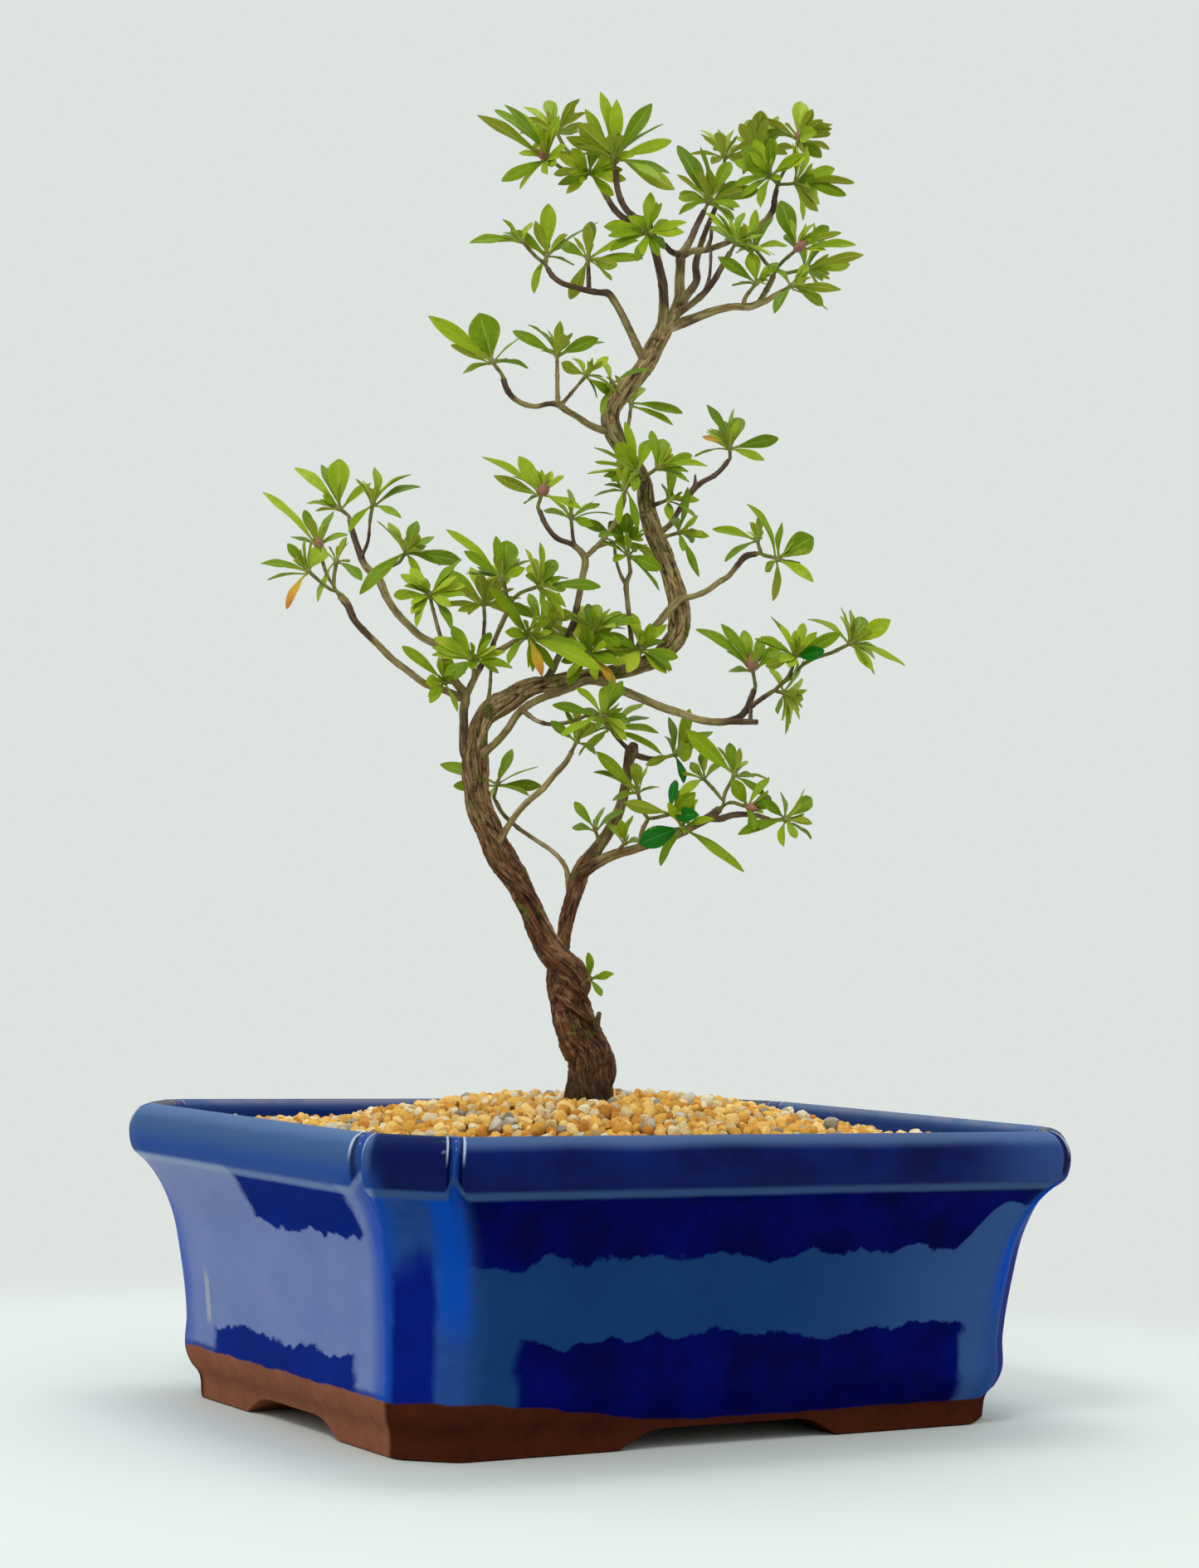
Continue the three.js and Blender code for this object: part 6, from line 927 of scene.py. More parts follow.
def lip_tones(f, on, body):
    """Adds the lip, with its painted reflections and highlights, and the pale line where it meets the wall, a
    painted reflection, which climbs into each dent.
    """
    level = on.height - on.dent * LIP_CLIMB
    lip = level.ease(*LIP_FOOT)
    rim = f.mix(f.cloud(on.spot, 21, 4, 0.6).ease(0.3, 0.7), "00083e", "021a60")
    # Painted reflection: the lip grows paler along x
    rim = f.mix((on.x + on.fine).ease(*LIP_PALING) * 0.85, rim, "304c88")
    # Painted reflection: the lip is a lighter blue on the short sides
    side = f.mix((on.height + on.fine * 0.4).ease(*LIP_SIDE_HEIGHTS), "1f4894", "3c5b8a")
    rim = f.mix(on.turn.ease(*CUT_SIDE), rim, side)
    # Painted highlight along the lip's top
    rim = f.mix((on.height + on.fine * 0.2).ease(*LIP_TOP) * 0.55, rim, "5f7ba8")
    rim = f.mix((1 - on.cut.ease(*CUT_PANEL)) * on.height.ease(*CUT_PANEL_HEIGHTS) * 0.9, rim, "000e48")
    # Painted reflection in the dents: dark at their sides and mid-blue at their middle
    rim = f.mix(inside(on.dent, ((0.1, 0.4), (0.5, 0.9))) * 0.8, rim, "000a3a")
    rim = f.mix(on.dent.ease(0.5, 0.95) * 0.85, rim, "1b4292")
    body = f.mix(lip, body, rim)
    # The pale line under the lip is a painted reflection
    line = (level + on.rags * 0.06).ease(*LIP_LINE) * (1 - lip)
    body = f.mix(line * 0.9, body, f.mix(on.short, "35527e", "6b84b2"))
    # Painted highlights along the dents' shoulders
    shoulder_highlight = inside(on.dent, ((0.02, 0.1), (0.16, 0.36))) * on.height.ease(84, 90) * (1 - on.inner)
    body = f.mix(shoulder_highlight * 0.85, body, "bccbe2")
    thin = on.crest * f.cloud(on.spot, 12, 4).ease(0.3, 0.55) * (1 - on.inner * 0.5)
    body = f.mix(thin * 0.6, body, "8e8684")
    within = on.height.ease(*INNER_WALL) * on.inner * (1 - on.crest)
    return f.mix(within * 0.8, body, "0a2c74"), lip, line


def clay_tones(f, on):
    """The clay's colour, lighter on the left short side as painted light, and where it is bare: at the foot,
    and higher toward the front left corner.
    """
    foot = on.height - (1 - on.x.ease(*CLAY_CLIMB)) * CLAY_RISE + (f.cloud(on.spot, 13, 3) - 0.5) * 2.6
    bare = 1 - foot.ease(*CLAY_TOP)
    # Painted light: the clay on the left short side is lighter than elsewhere
    dark, light = f.mix(on.short, "30140c", "744432"), f.mix(on.short, "592a1b", "a06850")
    clay = f.mix(f.cloud(on.spot, 9, 5, 0.7), dark, light)
    return f.mix(f.cells(on.spot, 1.6).ease(0.2, 0.05) * 0.7, clay, "23100a"), bare


def glaze_finish():
    """Cobalt glaze with painted reflections: ragged dark bands, with slate and pale bands between them where
    a reflection of bright light is painted.
    """
    f = Finish("cobalt_glaze")
    on = PotPlace(f)
    body, slate_reflection, pale_reflection = wall_tones(f, on)
    body = corner_tones(f, on, body)
    body, lip, line = lip_tones(f, on, body)
    specks = f.cells(on.spot, 2.7).ease(0.12, 0.05) * f.cloud(on.spot, 21).ease(0.54, 0.64)
    body = f.mix(specks * 0.45, body, "00032a")
    clay, bare = clay_tones(f, on)
    body = f.mix(bare, body, clay)
    gloss = slate_reflection * 0.03 + pale_reflection * (1 - lip) * 0.4 + on.dent * lip * 0.2 + lip * 0.12 + line * 0.1 + 0.04
    normal = f.bump(f.cloud(on.spot, 15, 2, 0.5), 0.8, 0.3)
    pits = f.cells(on.spot, 2.4).ease(0.18, 0.0) * f.cloud(on.spot, 12).ease(0.5, 0.62)
    normal = f.bump(pits * -1.0, 0.25, 0.5, normal)
    normal = f.bump(f.cloud(on.spot, 1.1, 5, 0.7) * bare, 0.4, 0.6, normal)
    return f.coat(body, bare * 0.6 + 0.3, normal, Coat_Weight=gloss * (1 - bare), Coat_Roughness=0.05,
                  Specular_IOR_Level=0.0)


def grain_finish(name, tones, speck):
    f = Finish(name)
    place = f.place()
    tone, spotted, _ = f.kept("grain")
    body = f.ramp(tone + (f.cloud(place, 1.4, 6, 0.75) - 0.5) * 0.7, list(zip(GRAIN_STOPS, tones)))
    spots = f.cells(place, 0.9).ease(0.32, 0.2) * f.cloud(place, 1.8, 3).ease(0.42, 0.6)
    body = f.mix(spots * spotted.ease(0.2, 0.8) * 0.75, body, speck)
    normal = f.bump(f.cloud(place, 0.8, 6, 0.75), 0.4, 0.8)
    return f.coat(body, 0.85, normal, Specular_IOR_Level=0.2)


def bed_finish():
    f = Finish("grains_in_shade")
    place = f.place()
    body = f.ramp(f.cloud(place, 2.4, 6, 0.75), [(0.3, "4a3216"), (0.7, "a87838")])
    normal = f.bump(f.cells(place, 3.0), 1.6, 0.8)
    return f.coat(body, 0.95, normal)


def soil_finish():
    f = Finish("potting_soil")
    place = f.place()
    body = f.ramp(f.cloud(place, 3, 6, 0.7), [(0.3, "2c1d10"), (0.75, "7a5530")])
    return f.coat(body, 0.95, f.bump(f.cells(place, 2.6), 1.4, 0.7))


def screen_finish():
    f = Finish("plastic_mesh")
    place = f.place()
    body = f.mix(f.cloud(place, 4, 3), "141414", "26241f")
    return f.coat(body, 0.5, f.bump(f.cloud(place, 0.6, 3), 0.1, 0.4))


def old_bark(f, place, fibre, streaks, lumps, crack):
    """Thick bark: brown at the foot of the tree, grey-brown above, dark in its cracks, partly its own colour
    and partly painted shade, dark in its hollows as painted shade, and paler on its raised lumps as a painted
    highlight.
    """
    flakes = f.cloud(fibre, 2.6, 3, 0.6)
    _, _, height = f.parts(place)
    low = f.ramp(streaks, [(0.32, "1f0f08"), (0.45, "4f301d"), (0.56, "7c5739"), (0.68, "ab8660")])
    low = f.mix(flakes.ease(0.48, 0.62) * 0.45, low, "6a3219")
    high = f.ramp(streaks, [(0.32, "4a3622"), (0.45, "8e7547"), (0.56, "b59e6c"), (0.68, "d3c297")])
    high = f.mix(flakes.ease(0.52, 0.66) * 0.35, high, "7d5a38")
    drift = (f.cloud(place, 16, 3) - 0.5) * 60
    old = f.mix((height + drift).ease(*HIGH_BARK), low, high)
    # Painted shade in the hollows of the lumps, and a painted highlight on their raised parts
    old = f.mix(lumps.ease(0.53, 0.66) * 0.6, old, "2b170d")
    old = f.mix((1 - lumps.ease(0.32, 0.44)) * 0.3, old, "b89a78")
    # The cracks' dark is partly the bark's own colour and partly painted shade
    old = f.mix(crack.ease(0.15, 0.85) * 0.9, old, "1e0f08")
    foot = 1 - (height + (f.cloud(place, 6) - 0.5) * 16).ease(*DAMP_BARK)
    return f.mix(foot * 0.7, old, f.ramp(f.cloud(place, 2.2, 4), [(0.35, "1d150b"), (0.7, "45391d")]))


def young_bark(f, place, fibre, streaks):
    """The thin bark of twigs: tan in some stretches and dark in others."""
    tan = f.ramp(streaks, [(0.3, "5a4a28"), (0.5, "948352"), (0.7, "bcae7e")])
    dark = f.ramp(streaks, [(0.3, "2a1c16"), (0.5, "564032"), (0.7, "846d55")])
    young = f.mix(f.cloud(place, 24, 2).ease(0.47, 0.56), tan, dark)
    return f.mix(f.cells(fibre, 0.9).ease(0.16, 0.05) * 0.6, young, "2a1c14")


def bark_finish():
    f = Finish("azalea_bark")
    place = f.place()
    crack, age, _ = f.kept("bark")
    fibre = f.node("ShaderNodeCombineXYZ", None, dict(enumerate(f.kept("fibre"))), out="Vector")
    streaks = f.cloud(fibre, 1.5, 7, 0.7, 0.9)
    lumps = f.cloud(place, 4.5, 4, 0.62)
    body = f.mix(age, old_bark(f, place, fibre, streaks, lumps, crack), young_bark(f, place, fibre, streaks))
    moss = f.cloud(place, 8, 4, 0.6).ease(0.56, 0.65) * f.cloud(place, 1.3, 3).ease(0.4, 0.56)
    green = f.ramp(f.cloud(place, 0.9), [(0.3, "3f4d14"), (0.7, "808d34")])
    body = f.mix(moss * (1 - age * 0.7) * 0.8, body, green)
    normal = f.bump(streaks, 0.7, 0.9)
    normal = f.bump(lumps * (1 - age) * -1.0, 1.8, 0.7, normal)
    normal = f.bump(f.cloud(place, 0.6, 4, 0.7), 0.2, 0.6, normal)
    normal = f.bump(moss * f.cloud(place, 0.5, 3), 0.8, 0.8, normal)
    return f.coat(body, 0.8, normal, Specular_IOR_Level=0.25)


def leaf_finish():
    f = Finish("azalea_leaf")
    place = f.place()
    along, across, under = f.kept("blade")
    hue, glossy, age = f.kept("tone")
    side = across.abs()
    back = under.ease(0.05, 0.3)
    mottle = (f.cloud(place, 2.6, 4, 0.6) - 0.5) * 0.35
    slanted = {0: along * 9 - side * 2.4, 1: across * 0.8, 2: hue * 40}
    slanted = f.node("ShaderNodeCombineXYZ", None, slanted, out="Vector")
    veins = f.cells(slanted, 1.0, "DISTANCE_TO_EDGE").ease(0.09, 0.0)
    rib = (1 - side.ease(0.02, 0.1)) * (1 - along.ease(0.75, 1.0))
    upper = f.ramp(hue + mottle, [(0.0, "557804"), (0.35, "719208"), (0.7, "90aa14"), (1.0, "b2c230")])
    upper = f.mix(veins * 0.14, upper, "9db43c")
    upper = f.mix(rib * 0.5, upper, "a3b842")
    upper = f.mix(glossy, upper, f.mix(rib * 0.5, "136a12", "4c9a38"))
    lower = f.mix(hue, "82961c", "a2b034")
    lower = f.mix((1 - side.ease(0.03, 0.14)) * 0.5, lower, "bcc46c")
    body = f.mix(back, upper, lower)
    body = f.mix((1 - along.ease(0.02, 0.2)) * 0.5, body, "98a04a")
    body = f.mix(along.ease(0.95, 1.0) * 0.5, body, "5c6a4a")
    body = f.mix(age, body, f.ramp(along + mottle, [(0.1, "b9b03a"), (0.6, "cf9a2e"), (1.0, "b5692a")]))
    normal = f.bump(veins * -1.0, 0.25, 0.5)
    normal = f.bump(f.cloud(place, 0.9, 3), 0.12, 0.5, normal)
    return f.coat(body, back * 0.2 + (1 - glossy) * 0.22 + 0.22, normal, Subsurface_Weight=0.1,
                  Subsurface_Scale=0.0012, Specular_IOR_Level=0.12)


def shoot_finish():
    f = Finish("young_shoot")
    place = f.place()
    body = f.ramp(f.cloud(place, 1.8, 5, 0.7), [(0.3, "46371c"), (0.5, "6b6a2c"), (0.72, "86913c")])
    return f.coat(body, 0.6, f.bump(f.cloud(place, 0.5, 4, 0.7), 0.15, 0.6), Specular_IOR_Level=0.3)


def bud_finish(name, first, second):
    f = Finish(name)
    place = f.place()
    along, _, _ = f.kept("blade")
    body = f.mix(f.cloud(place, 0.8, 4), first, second)
    body = f.mix(along.ease(0.7, 1.0) * 0.6, body, "6a4a34")
    return f.coat(body, 0.45, f.bump(f.cloud(place, 0.4, 3), 0.12, 0.5))


def stage_finish():
    """A pale floor that runs into the room's colour with distance."""
    f = Finish("pale_floor")
    place = f.place()
    x, y, _ = f.parts(place)
    body = f.mix(f.cloud(place, 900, 2), "dce2df", "e2e8e5")
    floor = f.node("ShaderNodeBsdfPrincipled", None,
                   {"Base Color": body, "Roughness": 0.7, "Specular IOR Level": 0.1})
    room = f.node("ShaderNodeEmission", None, {"Color": colour(ROOM), "Strength": 1.0})
    far = (x * x + y * y) ** 0.5
    both = f.node("ShaderNodeMixShader", None, {0: far.ease(*FLOOR_FADE)})
    for k, shader in enumerate((floor, room)):
        f.tree.links.new(shader.socket, both.socket.node.inputs[k + 1])
    end = f.tree.nodes.new("ShaderNodeOutputMaterial")
    f.tree.links.new(both.socket, end.inputs["Surface"])
    return f.material


class Piece:
    """A mesh under making, with values kept at its points and a finish for each face."""

    def __init__(self):
        self.points, self.faces, self.finishes = [], [], []
        self.values = {}

    def add(self, points, faces, finish=0, **values):
        start = len(self.points)
        self.points += [tuple(p) for p in points]
        self.faces += [[start + k for k in face] for face in faces]
        self.finishes += [finish] * len(faces)
        for name, rows in values.items():
            self.values.setdefault(name, []).extend(tuple(row) for row in rows)

    def make(self, name, finishes, slot, replaces=(), turn=None, crease=USUAL_CREASE):
        """The shown piece. turn brings its points from the tree's own frame into the part's."""
        places = [turn(Vector(p)) for p in self.points] if turn else [Vector(p) for p in self.points]
        mesh = bpy.data.meshes.new(name)
        mesh.from_pydata([p * MM for p in places], [], self.faces)
        for key, rows in self.values.items():
            kept = mesh.attributes.new(key, "FLOAT_VECTOR", "POINT")
            kept.data.foreach_set("vector", np.array(rows, dtype=np.float32).ravel())
        for finish in finishes:
            mesh.materials.append(finish)
        mesh.polygons.foreach_set("material_index", self.finishes)
        mesh.shade_smooth()
        mesh.set_sharp_from_angle(angle=math.radians(crease))
        piece = bpy.data.objects.new(name, mesh)
        bpy.context.scene.collection.objects.link(piece)
        return show(piece, replaces)


def show(piece, replaces=()):
    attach(piece, "root")
    if replaces:
        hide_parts(*replaces)
    return piece


def ring_faces(rings, n, start_hub=None, end_hub=None):
    """Faces round rings of n points each, and fans at the ends where there is a hub."""
    faces = []
    for i in range(rings - 1):
        for j in range(n):
            a, b = i * n + j, i * n + (j + 1) % n
            faces.append((a, b, b + n, a + n))
    last = (rings - 1) * n
    for j in range(n):
        k = (j + 1) % n
        if start_hub is not None:
            faces.append((start_hub, k, j))
        if end_hub is not None:
            faces.append((end_hub, last + j, last + k))
    return faces


# The pot


def curve(first, middle, last, steps):
    shares = [k / steps for k in range(steps + 1)]
    return [first.lerp(middle, t).lerp(middle.lerp(last, t), t) for t in shares]


def stretch(start, end, steps):
    """Points between two others, without either."""
    return [start.lerp(end, k / steps) for k in range(1, steps)]


def step_from(start, toward, length):
    return start + (toward - start).normalized() * length


def dent_share(k):
    return (1 - math.cos(math.tau * k / DENT_STEPS)) / 2


def dented(bend, side, other, way):
    """The bend between a side and a corner's cut, rounded off, with a dent in it that goes the way."""
    line = curve(side, bend, step_from(bend, other, DENT_HALF), DENT_STEPS)
    return [p + way * dent_share(k) for k, p in enumerate(line)]


def plan_at(level):
    """The pot's plan at one level: a rectangle with cut corners, dented at both ends of each cut."""
    z, inset, cut_x, cut_y, dent = level
    hx, hy = POT_LENGTH / 2 - inset, POT_WIDTH / 2 - inset
    inward, sideways = dent * math.cos(DENT_TURN), dent * math.sin(DENT_TURN)
    corners = []
    for sx, sy in ((1, 1), (-1, 1), (-1, -1), (1, -1)):
        a = Vector((sx * hx, sy * (hy - cut_y), z))
        b = Vector((sx * (hx - cut_x), sy * hy, z))
        first = dented(a, a - Vector((0, sy * DENT_HALF, 0)), b, Vector((-sx * inward, -sy * sideways, 0)))
        last = dented(b, b - Vector((sx * DENT_HALF, 0, 0)), a, Vector((-sx * sideways, -sy * inward, 0)))
        points = first + stretch(first[-1], last[-1], CUT_STEPS) + last[::-1]
        corners.append(points if sx * sy > 0 else points[::-1])
    ring = []
    for k, corner in enumerate(corners):
        ring += corner + stretch(corner[-1], corners[(k + 1) % 4][0], SIDE_STEPS)
    return ring


def dent_ring():
    """How much of a dent each point of a plan lies in."""
    bend = [dent_share(k) for k in range(DENT_STEPS + 1)]
    return (bend + [0] * (CUT_STEPS - 1) + bend + [0] * (SIDE_STEPS - 1)) * 4


def smooth(rows, step):
    """Rows of numbers joined by one smooth curve, whose first three numbers set the length of a step."""
    rows = np.array(rows, dtype=float)
    gaps = np.linalg.norm(np.diff(rows[:, :3], axis=0), axis=1).clip(1e-6)
    at = np.concatenate([[0], np.cumsum(gaps)])
    if len(rows) > 2:
        slopes = np.gradient(rows, at, axis=0)
    else:
        slopes = np.repeat(np.diff(rows, axis=0) / gaps[0], 2, 0)
    result = []
    for k, gap in enumerate(gaps):
        count = max(1, round(gap / step))
        for i in range(count + (k == len(gaps) - 1)):
            t = i / count
            result.append((2 * t**3 - 3 * t**2 + 1) * rows[k] + (t**3 - 2 * t**2 + t) * gap * slopes[k]
                          + (3 * t**2 - 2 * t**3) * rows[k + 1] + (t**3 - t**2) * gap * slopes[k + 1])
    return np.array(result)


def section_levels():
    """The wall's levels, smoothed up the outside and down the inside."""
    def finer(levels):
        rows = smooth([(0, inset, z, *corner) for z, inset, *corner in levels], LEVEL_STEP)
        return [(z, inset, *corner) for _, inset, z, *corner in rows]
    outer = finer(OUTSIDE[1:])
    rim = finer([OUTSIDE[-1], *INSIDE[:2]])
    return [OUTSIDE[0], *outer, *rim[1:], *finer(INSIDE[1:])[1:]]


def box_cutter(corners, low, high):
    """A prism to cut with, from its corners in plan or in profile."""
    n = len(corners)
    points = [(x, y, low) for x, y in corners] + [(x, y, high) for x, y in corners]
    faces = [tuple(range(n))[::-1], tuple(range(n, 2 * n))]
    return points, faces + [(k, (k + 1) % n, (k + 1) % n + n, k + n) for k in range(n)]


def cutters():
    """What is cut out of the foot: the recess below the floor, the arches and the drain holes."""
    rx, ry = POT_LENGTH / 2 - FOOT_INSET - FOOT_RING, POT_WIDTH / 2 - FOOT_INSET - FOOT_RING
    yield box_cutter([(-rx, -ry), (rx, -ry), (rx, ry), (-rx, ry)], -CUT_BELOW, RECESS_RISE)
    for half, reach, turn in ((ARCH_HALVES[0], POT_WIDTH, 0), (ARCH_HALVES[1], POT_LENGTH, math.pi / 2)):
        # The slants run on to 1 mm below the foot
        top, low = half - ARCH_SLANT, half + ARCH_SLANT / ARCH_RISE
        profile = [Vector((-low, -1, 0)), Vector((low, -1, 0))]
        for side in (1, -1):
            foot = Vector((side * low, -1, 0))
            bend = Vector((side * top, ARCH_RISE, 0))
            crown = Vector((side * (top - ARCH_ROUND[1]), ARCH_RISE, 0))
            arc = curve(step_from(bend, foot, ARCH_ROUND[0]), bend, crown, ARCH_STEPS)
            profile += arc if side > 0 else arc[::-1]
        points, faces = box_cutter([(p.x, p.y) for p in profile], -reach, reach)
        spin = Matrix.Rotation(turn, 3, "Z")
        yield [spin @ Vector((x, -z, y)) for x, y, z in points], faces
    turns = [math.tau * k / DRAIN_SIDES for k in range(DRAIN_SIDES)]
    for side in (-1, 1):
        circle = [(side * DRAIN_OFFSET + DRAIN_RADIUS * math.cos(a), DRAIN_RADIUS * math.sin(a))
                  for a in turns]
        yield box_cutter(circle, -CUT_BELOW, FLOOR_TOP + 1)


def cut_out(piece, shapes):
    """Cuts closed shapes out of a piece, one after the other."""
    for points, faces in shapes:
        mesh = bpy.data.meshes.new("cutter")
        mesh.from_pydata([Vector(p) * MM for p in points], [], faces)
        tool = bpy.data.objects.new("cutter", mesh)
        bpy.context.scene.collection.objects.link(tool)
        cut = piece.modifiers.new("cut", "BOOLEAN")
        cut.operation, cut.solver, cut.object = "DIFFERENCE", "EXACT", tool
        graph = bpy.context.evaluated_depsgraph_get()
        kept = bpy.data.meshes.new_from_object(piece.evaluated_get(graph), depsgraph=graph)
        piece.modifiers.clear()
        old, piece.data = piece.data, kept
        bpy.data.meshes.remove(old)
        bpy.data.objects.remove(tool)


def wall_values(levels):
    """Where each point of the wall lies: on the lip's crest, in a dent, and on the inner side."""
    values = []
    dents = dent_ring()
    top = max(range(len(levels)), key=lambda k: levels[k][0])
    for k, (z, inset, *_) in enumerate(levels):
        crest = ease(*CREST_INSETS, inset) * ease(*CREST_HEIGHTS, z)
        inner = ease(*INNER_INSETS, inset) * (k > top)
        values += [(crest, dent, inner) for dent in dents]
    return values


def make_pot(glaze):
    levels = section_levels()
    rings = [plan_at(level) for level in levels]
    points = [p for ring in rings for p in ring] + [Vector((0, 0, 0)), Vector((0, 0, FLOOR_TOP))]
    values = wall_values(levels) + [(0, 0, 0)] * 2
    pot = Piece()
    pot.add(points, ring_faces(len(rings), len(rings[0]), len(points) - 2, len(points) - 1), section=values)
    piece = pot.make("pot_glazed", [glaze], "glaze", ["pot"])
    cut_out(piece, cutters())
    # The cutting empties the kept values, so each point takes them again from the nearest uncut one
    uncut = kdtree.KDTree(len(points))
    for k, p in enumerate(points):
        uncut.insert(p, k)
    uncut.balance()
    rows = [values[uncut.find(v.co / MM)[1]] for v in piece.data.vertices]
    piece.data.attributes["section"].data.foreach_set("vector", np.array(rows, dtype=np.float32).ravel())
    piece.data.set_sharp_from_angle(angle=math.radians(USUAL_CREASE))


def make_screen(name, node, side, finish):
    """A square of plastic mesh: crossed strands between a rim."""
    half = SCREEN_SIZE / 2
    pitch = (SCREEN_SIZE - 2 * SCREEN_RIM) / SCREEN_CELLS
    stops = [-half]
    for k in range(SCREEN_CELLS):
        start = -half + SCREEN_RIM + k * pitch
        stops += [start + pitch * HALF_STRAND, start + pitch * (1 - HALF_STRAND)]
    stops.append(half)
    low = FLOOR_TOP + SEAT
    n = len(stops)
    offset = side * DRAIN_OFFSET
    points = [(x + offset, y, z) for z in (low, low + SCREEN_THICK) for x in stops for y in stops]
    solid = {(i, j) for i in range(n - 1) for j in range(n - 1) if not (i % 2 and j % 2)}

    def at(i, j, top):
        return (top * n + i) * n + j

    faces = []
    for i, j in sorted(solid):
        faces.append((at(i, j, 1), at(i + 1, j, 1), at(i + 1, j + 1, 1), at(i, j + 1, 1)))
        faces.append((at(i, j, 0), at(i, j + 1, 0), at(i + 1, j + 1, 0), at(i + 1, j, 0)))
        for (di, dj), (a, b) in {(-1, 0): ((0, 1), (0, 0)), (1, 0): ((1, 0), (1, 1)),
                                 (0, -1): ((0, 0), (1, 0)), (0, 1): ((1, 1), (0, 1))}.items():
            if (i + di, j + dj) not in solid:
                p, q = (i + a[0], j + a[1]), (i + b[0], j + b[1])
                faces.append((at(*p, 0), at(*q, 0), at(*q, 1), at(*p, 1)))
    screen = Piece()
    screen.add(points, faces)
    screen.make(name, [finish], "screen", [node], crease=30)


# The gravel


def gravel_height(x, y):
    """The gravel's height: a mound with a hollow round the trunk."""
    far = math.hypot((x - MOUND_MIDDLE[0]) / MOUND_REACH[0], (y - MOUND_MIDDLE[1]) / MOUND_REACH[1])
    slope = 1 - min(1, far) ** MOUND_POWER
    near = math.hypot(x - TREE_FOOT.x, y - TREE_FOOT.y) / HOLLOW_REACH
    hollow = (GRAVEL_MOUND - GRAVEL_FOOT) * math.exp(-near * near)
    return GRAVEL_EDGE + (GRAVEL_MOUND - GRAVEL_EDGE - hollow) * slope


def make_bed(finish):
    """The bed that the grains lie in, closed below."""
    wall = plan_at((GRAVEL_EDGE, FILL_TOP[0] + WALL_GAP, *FILL_TOP[1:], 0))
    rings = [plan_at((SOIL_TOP + SEAT, FILL_FOOT[0] + WALL_GAP, *FILL_FOOT[1:], 0))]
    for share in [1 - k / BED_RINGS for k in range(BED_RINGS)]:
        rings.append([Vector((p.x * share, p.y * share, 0)) for p in wall])
        for p in rings[-1]:
            ripple = noise.noise(p / RIPPLE_LENGTH) * BED_RIPPLE
            p.z = gravel_height(p.x, p.y) - BED_BELOW + ripple
    bed = Piece()
    points = [p for ring in rings for p in ring]
    points += [Vector((0, 0, SOIL_TOP + SEAT)), Vector((0, 0, gravel_height(0, 0) - BED_BELOW))]
    bed.add(points, ring_faces(len(rings), len(wall), len(points) - 2, len(points) - 1))
    bed.make("gravel_bed", [finish], "gravel", ["gravel"])


def round_grain():
    """The points and faces of a ball, from a cube whose sides are divided and blown up."""
    index, points, faces = {}, [], []

    def point(v):
        key = tuple(round(c, 4) for c in v)
        if key not in index:
            index[key] = len(points)
            points.append(Vector(v).normalized())
        return index[key]

    def swing(step):
        return math.tan((2 * step / GRAIN_STEPS - 1) * math.pi / 4)

    for axis in range(3):
        for side in (-1, 1):
            for i in range(GRAIN_STEPS):
                for j in range(GRAIN_STEPS):
                    quad = []
                    for di, dj in ((0, 0), (1, 0), (1, 1), (0, 1)):
                        v = [0, 0, 0]
                        v[axis] = side
                        v[(axis + 1) % 3] = swing(i + di) * side
                        v[(axis + 2) % 3] = swing(j + dj)
                        quad.append(point(v))
                    faces.append(quad)
    return points, faces


def free_of_wall(x, y):
    """How far a place on the gravel lies from the wall's sides and the corner's cut."""
    inset, cut_x, cut_y = FILL_TOP
    free_x, free_y = POT_LENGTH / 2 - inset - abs(x), POT_WIDTH / 2 - inset - abs(y)
    return min(free_x, free_y, (free_x / cut_x + free_y / cut_y - 1) / math.hypot(1 / cut_x, 1 / cut_y))


def grain_spots():
    """Where the grains lie: rows that are shaken out of line, inside the wall and clear of the trunk."""
    row_pitch = GRAIN_PITCH * ROW_SHARE
    rows, columns = int(POT_WIDTH / 2 / row_pitch), int(POT_LENGTH / 2 / GRAIN_PITCH)
    for j in range(-rows, rows + 1):
        for i in range(-columns, columns + 1):
            seed = i * 131 + j * 17
            x = (i + (j % 2) * 0.5 + (draw(seed, 1) - 0.5) * GRAIN_SHAKE) * GRAIN_PITCH
            y = j * row_pitch + (draw(seed, 2) - 0.5) * GRAIN_SHAKE * GRAIN_PITCH
            radius = between(*GRAIN_RADII, draw(seed, 3) ** 1.4)
            beside_trunk = math.hypot(x - TREE_FOOT.x, y - TREE_FOOT.y) > TRUNK_FREE + radius * 0.5
            if beside_trunk and free_of_wall(x, y) >= radius + WALL_FREE:
                yield seed, x, y, radius


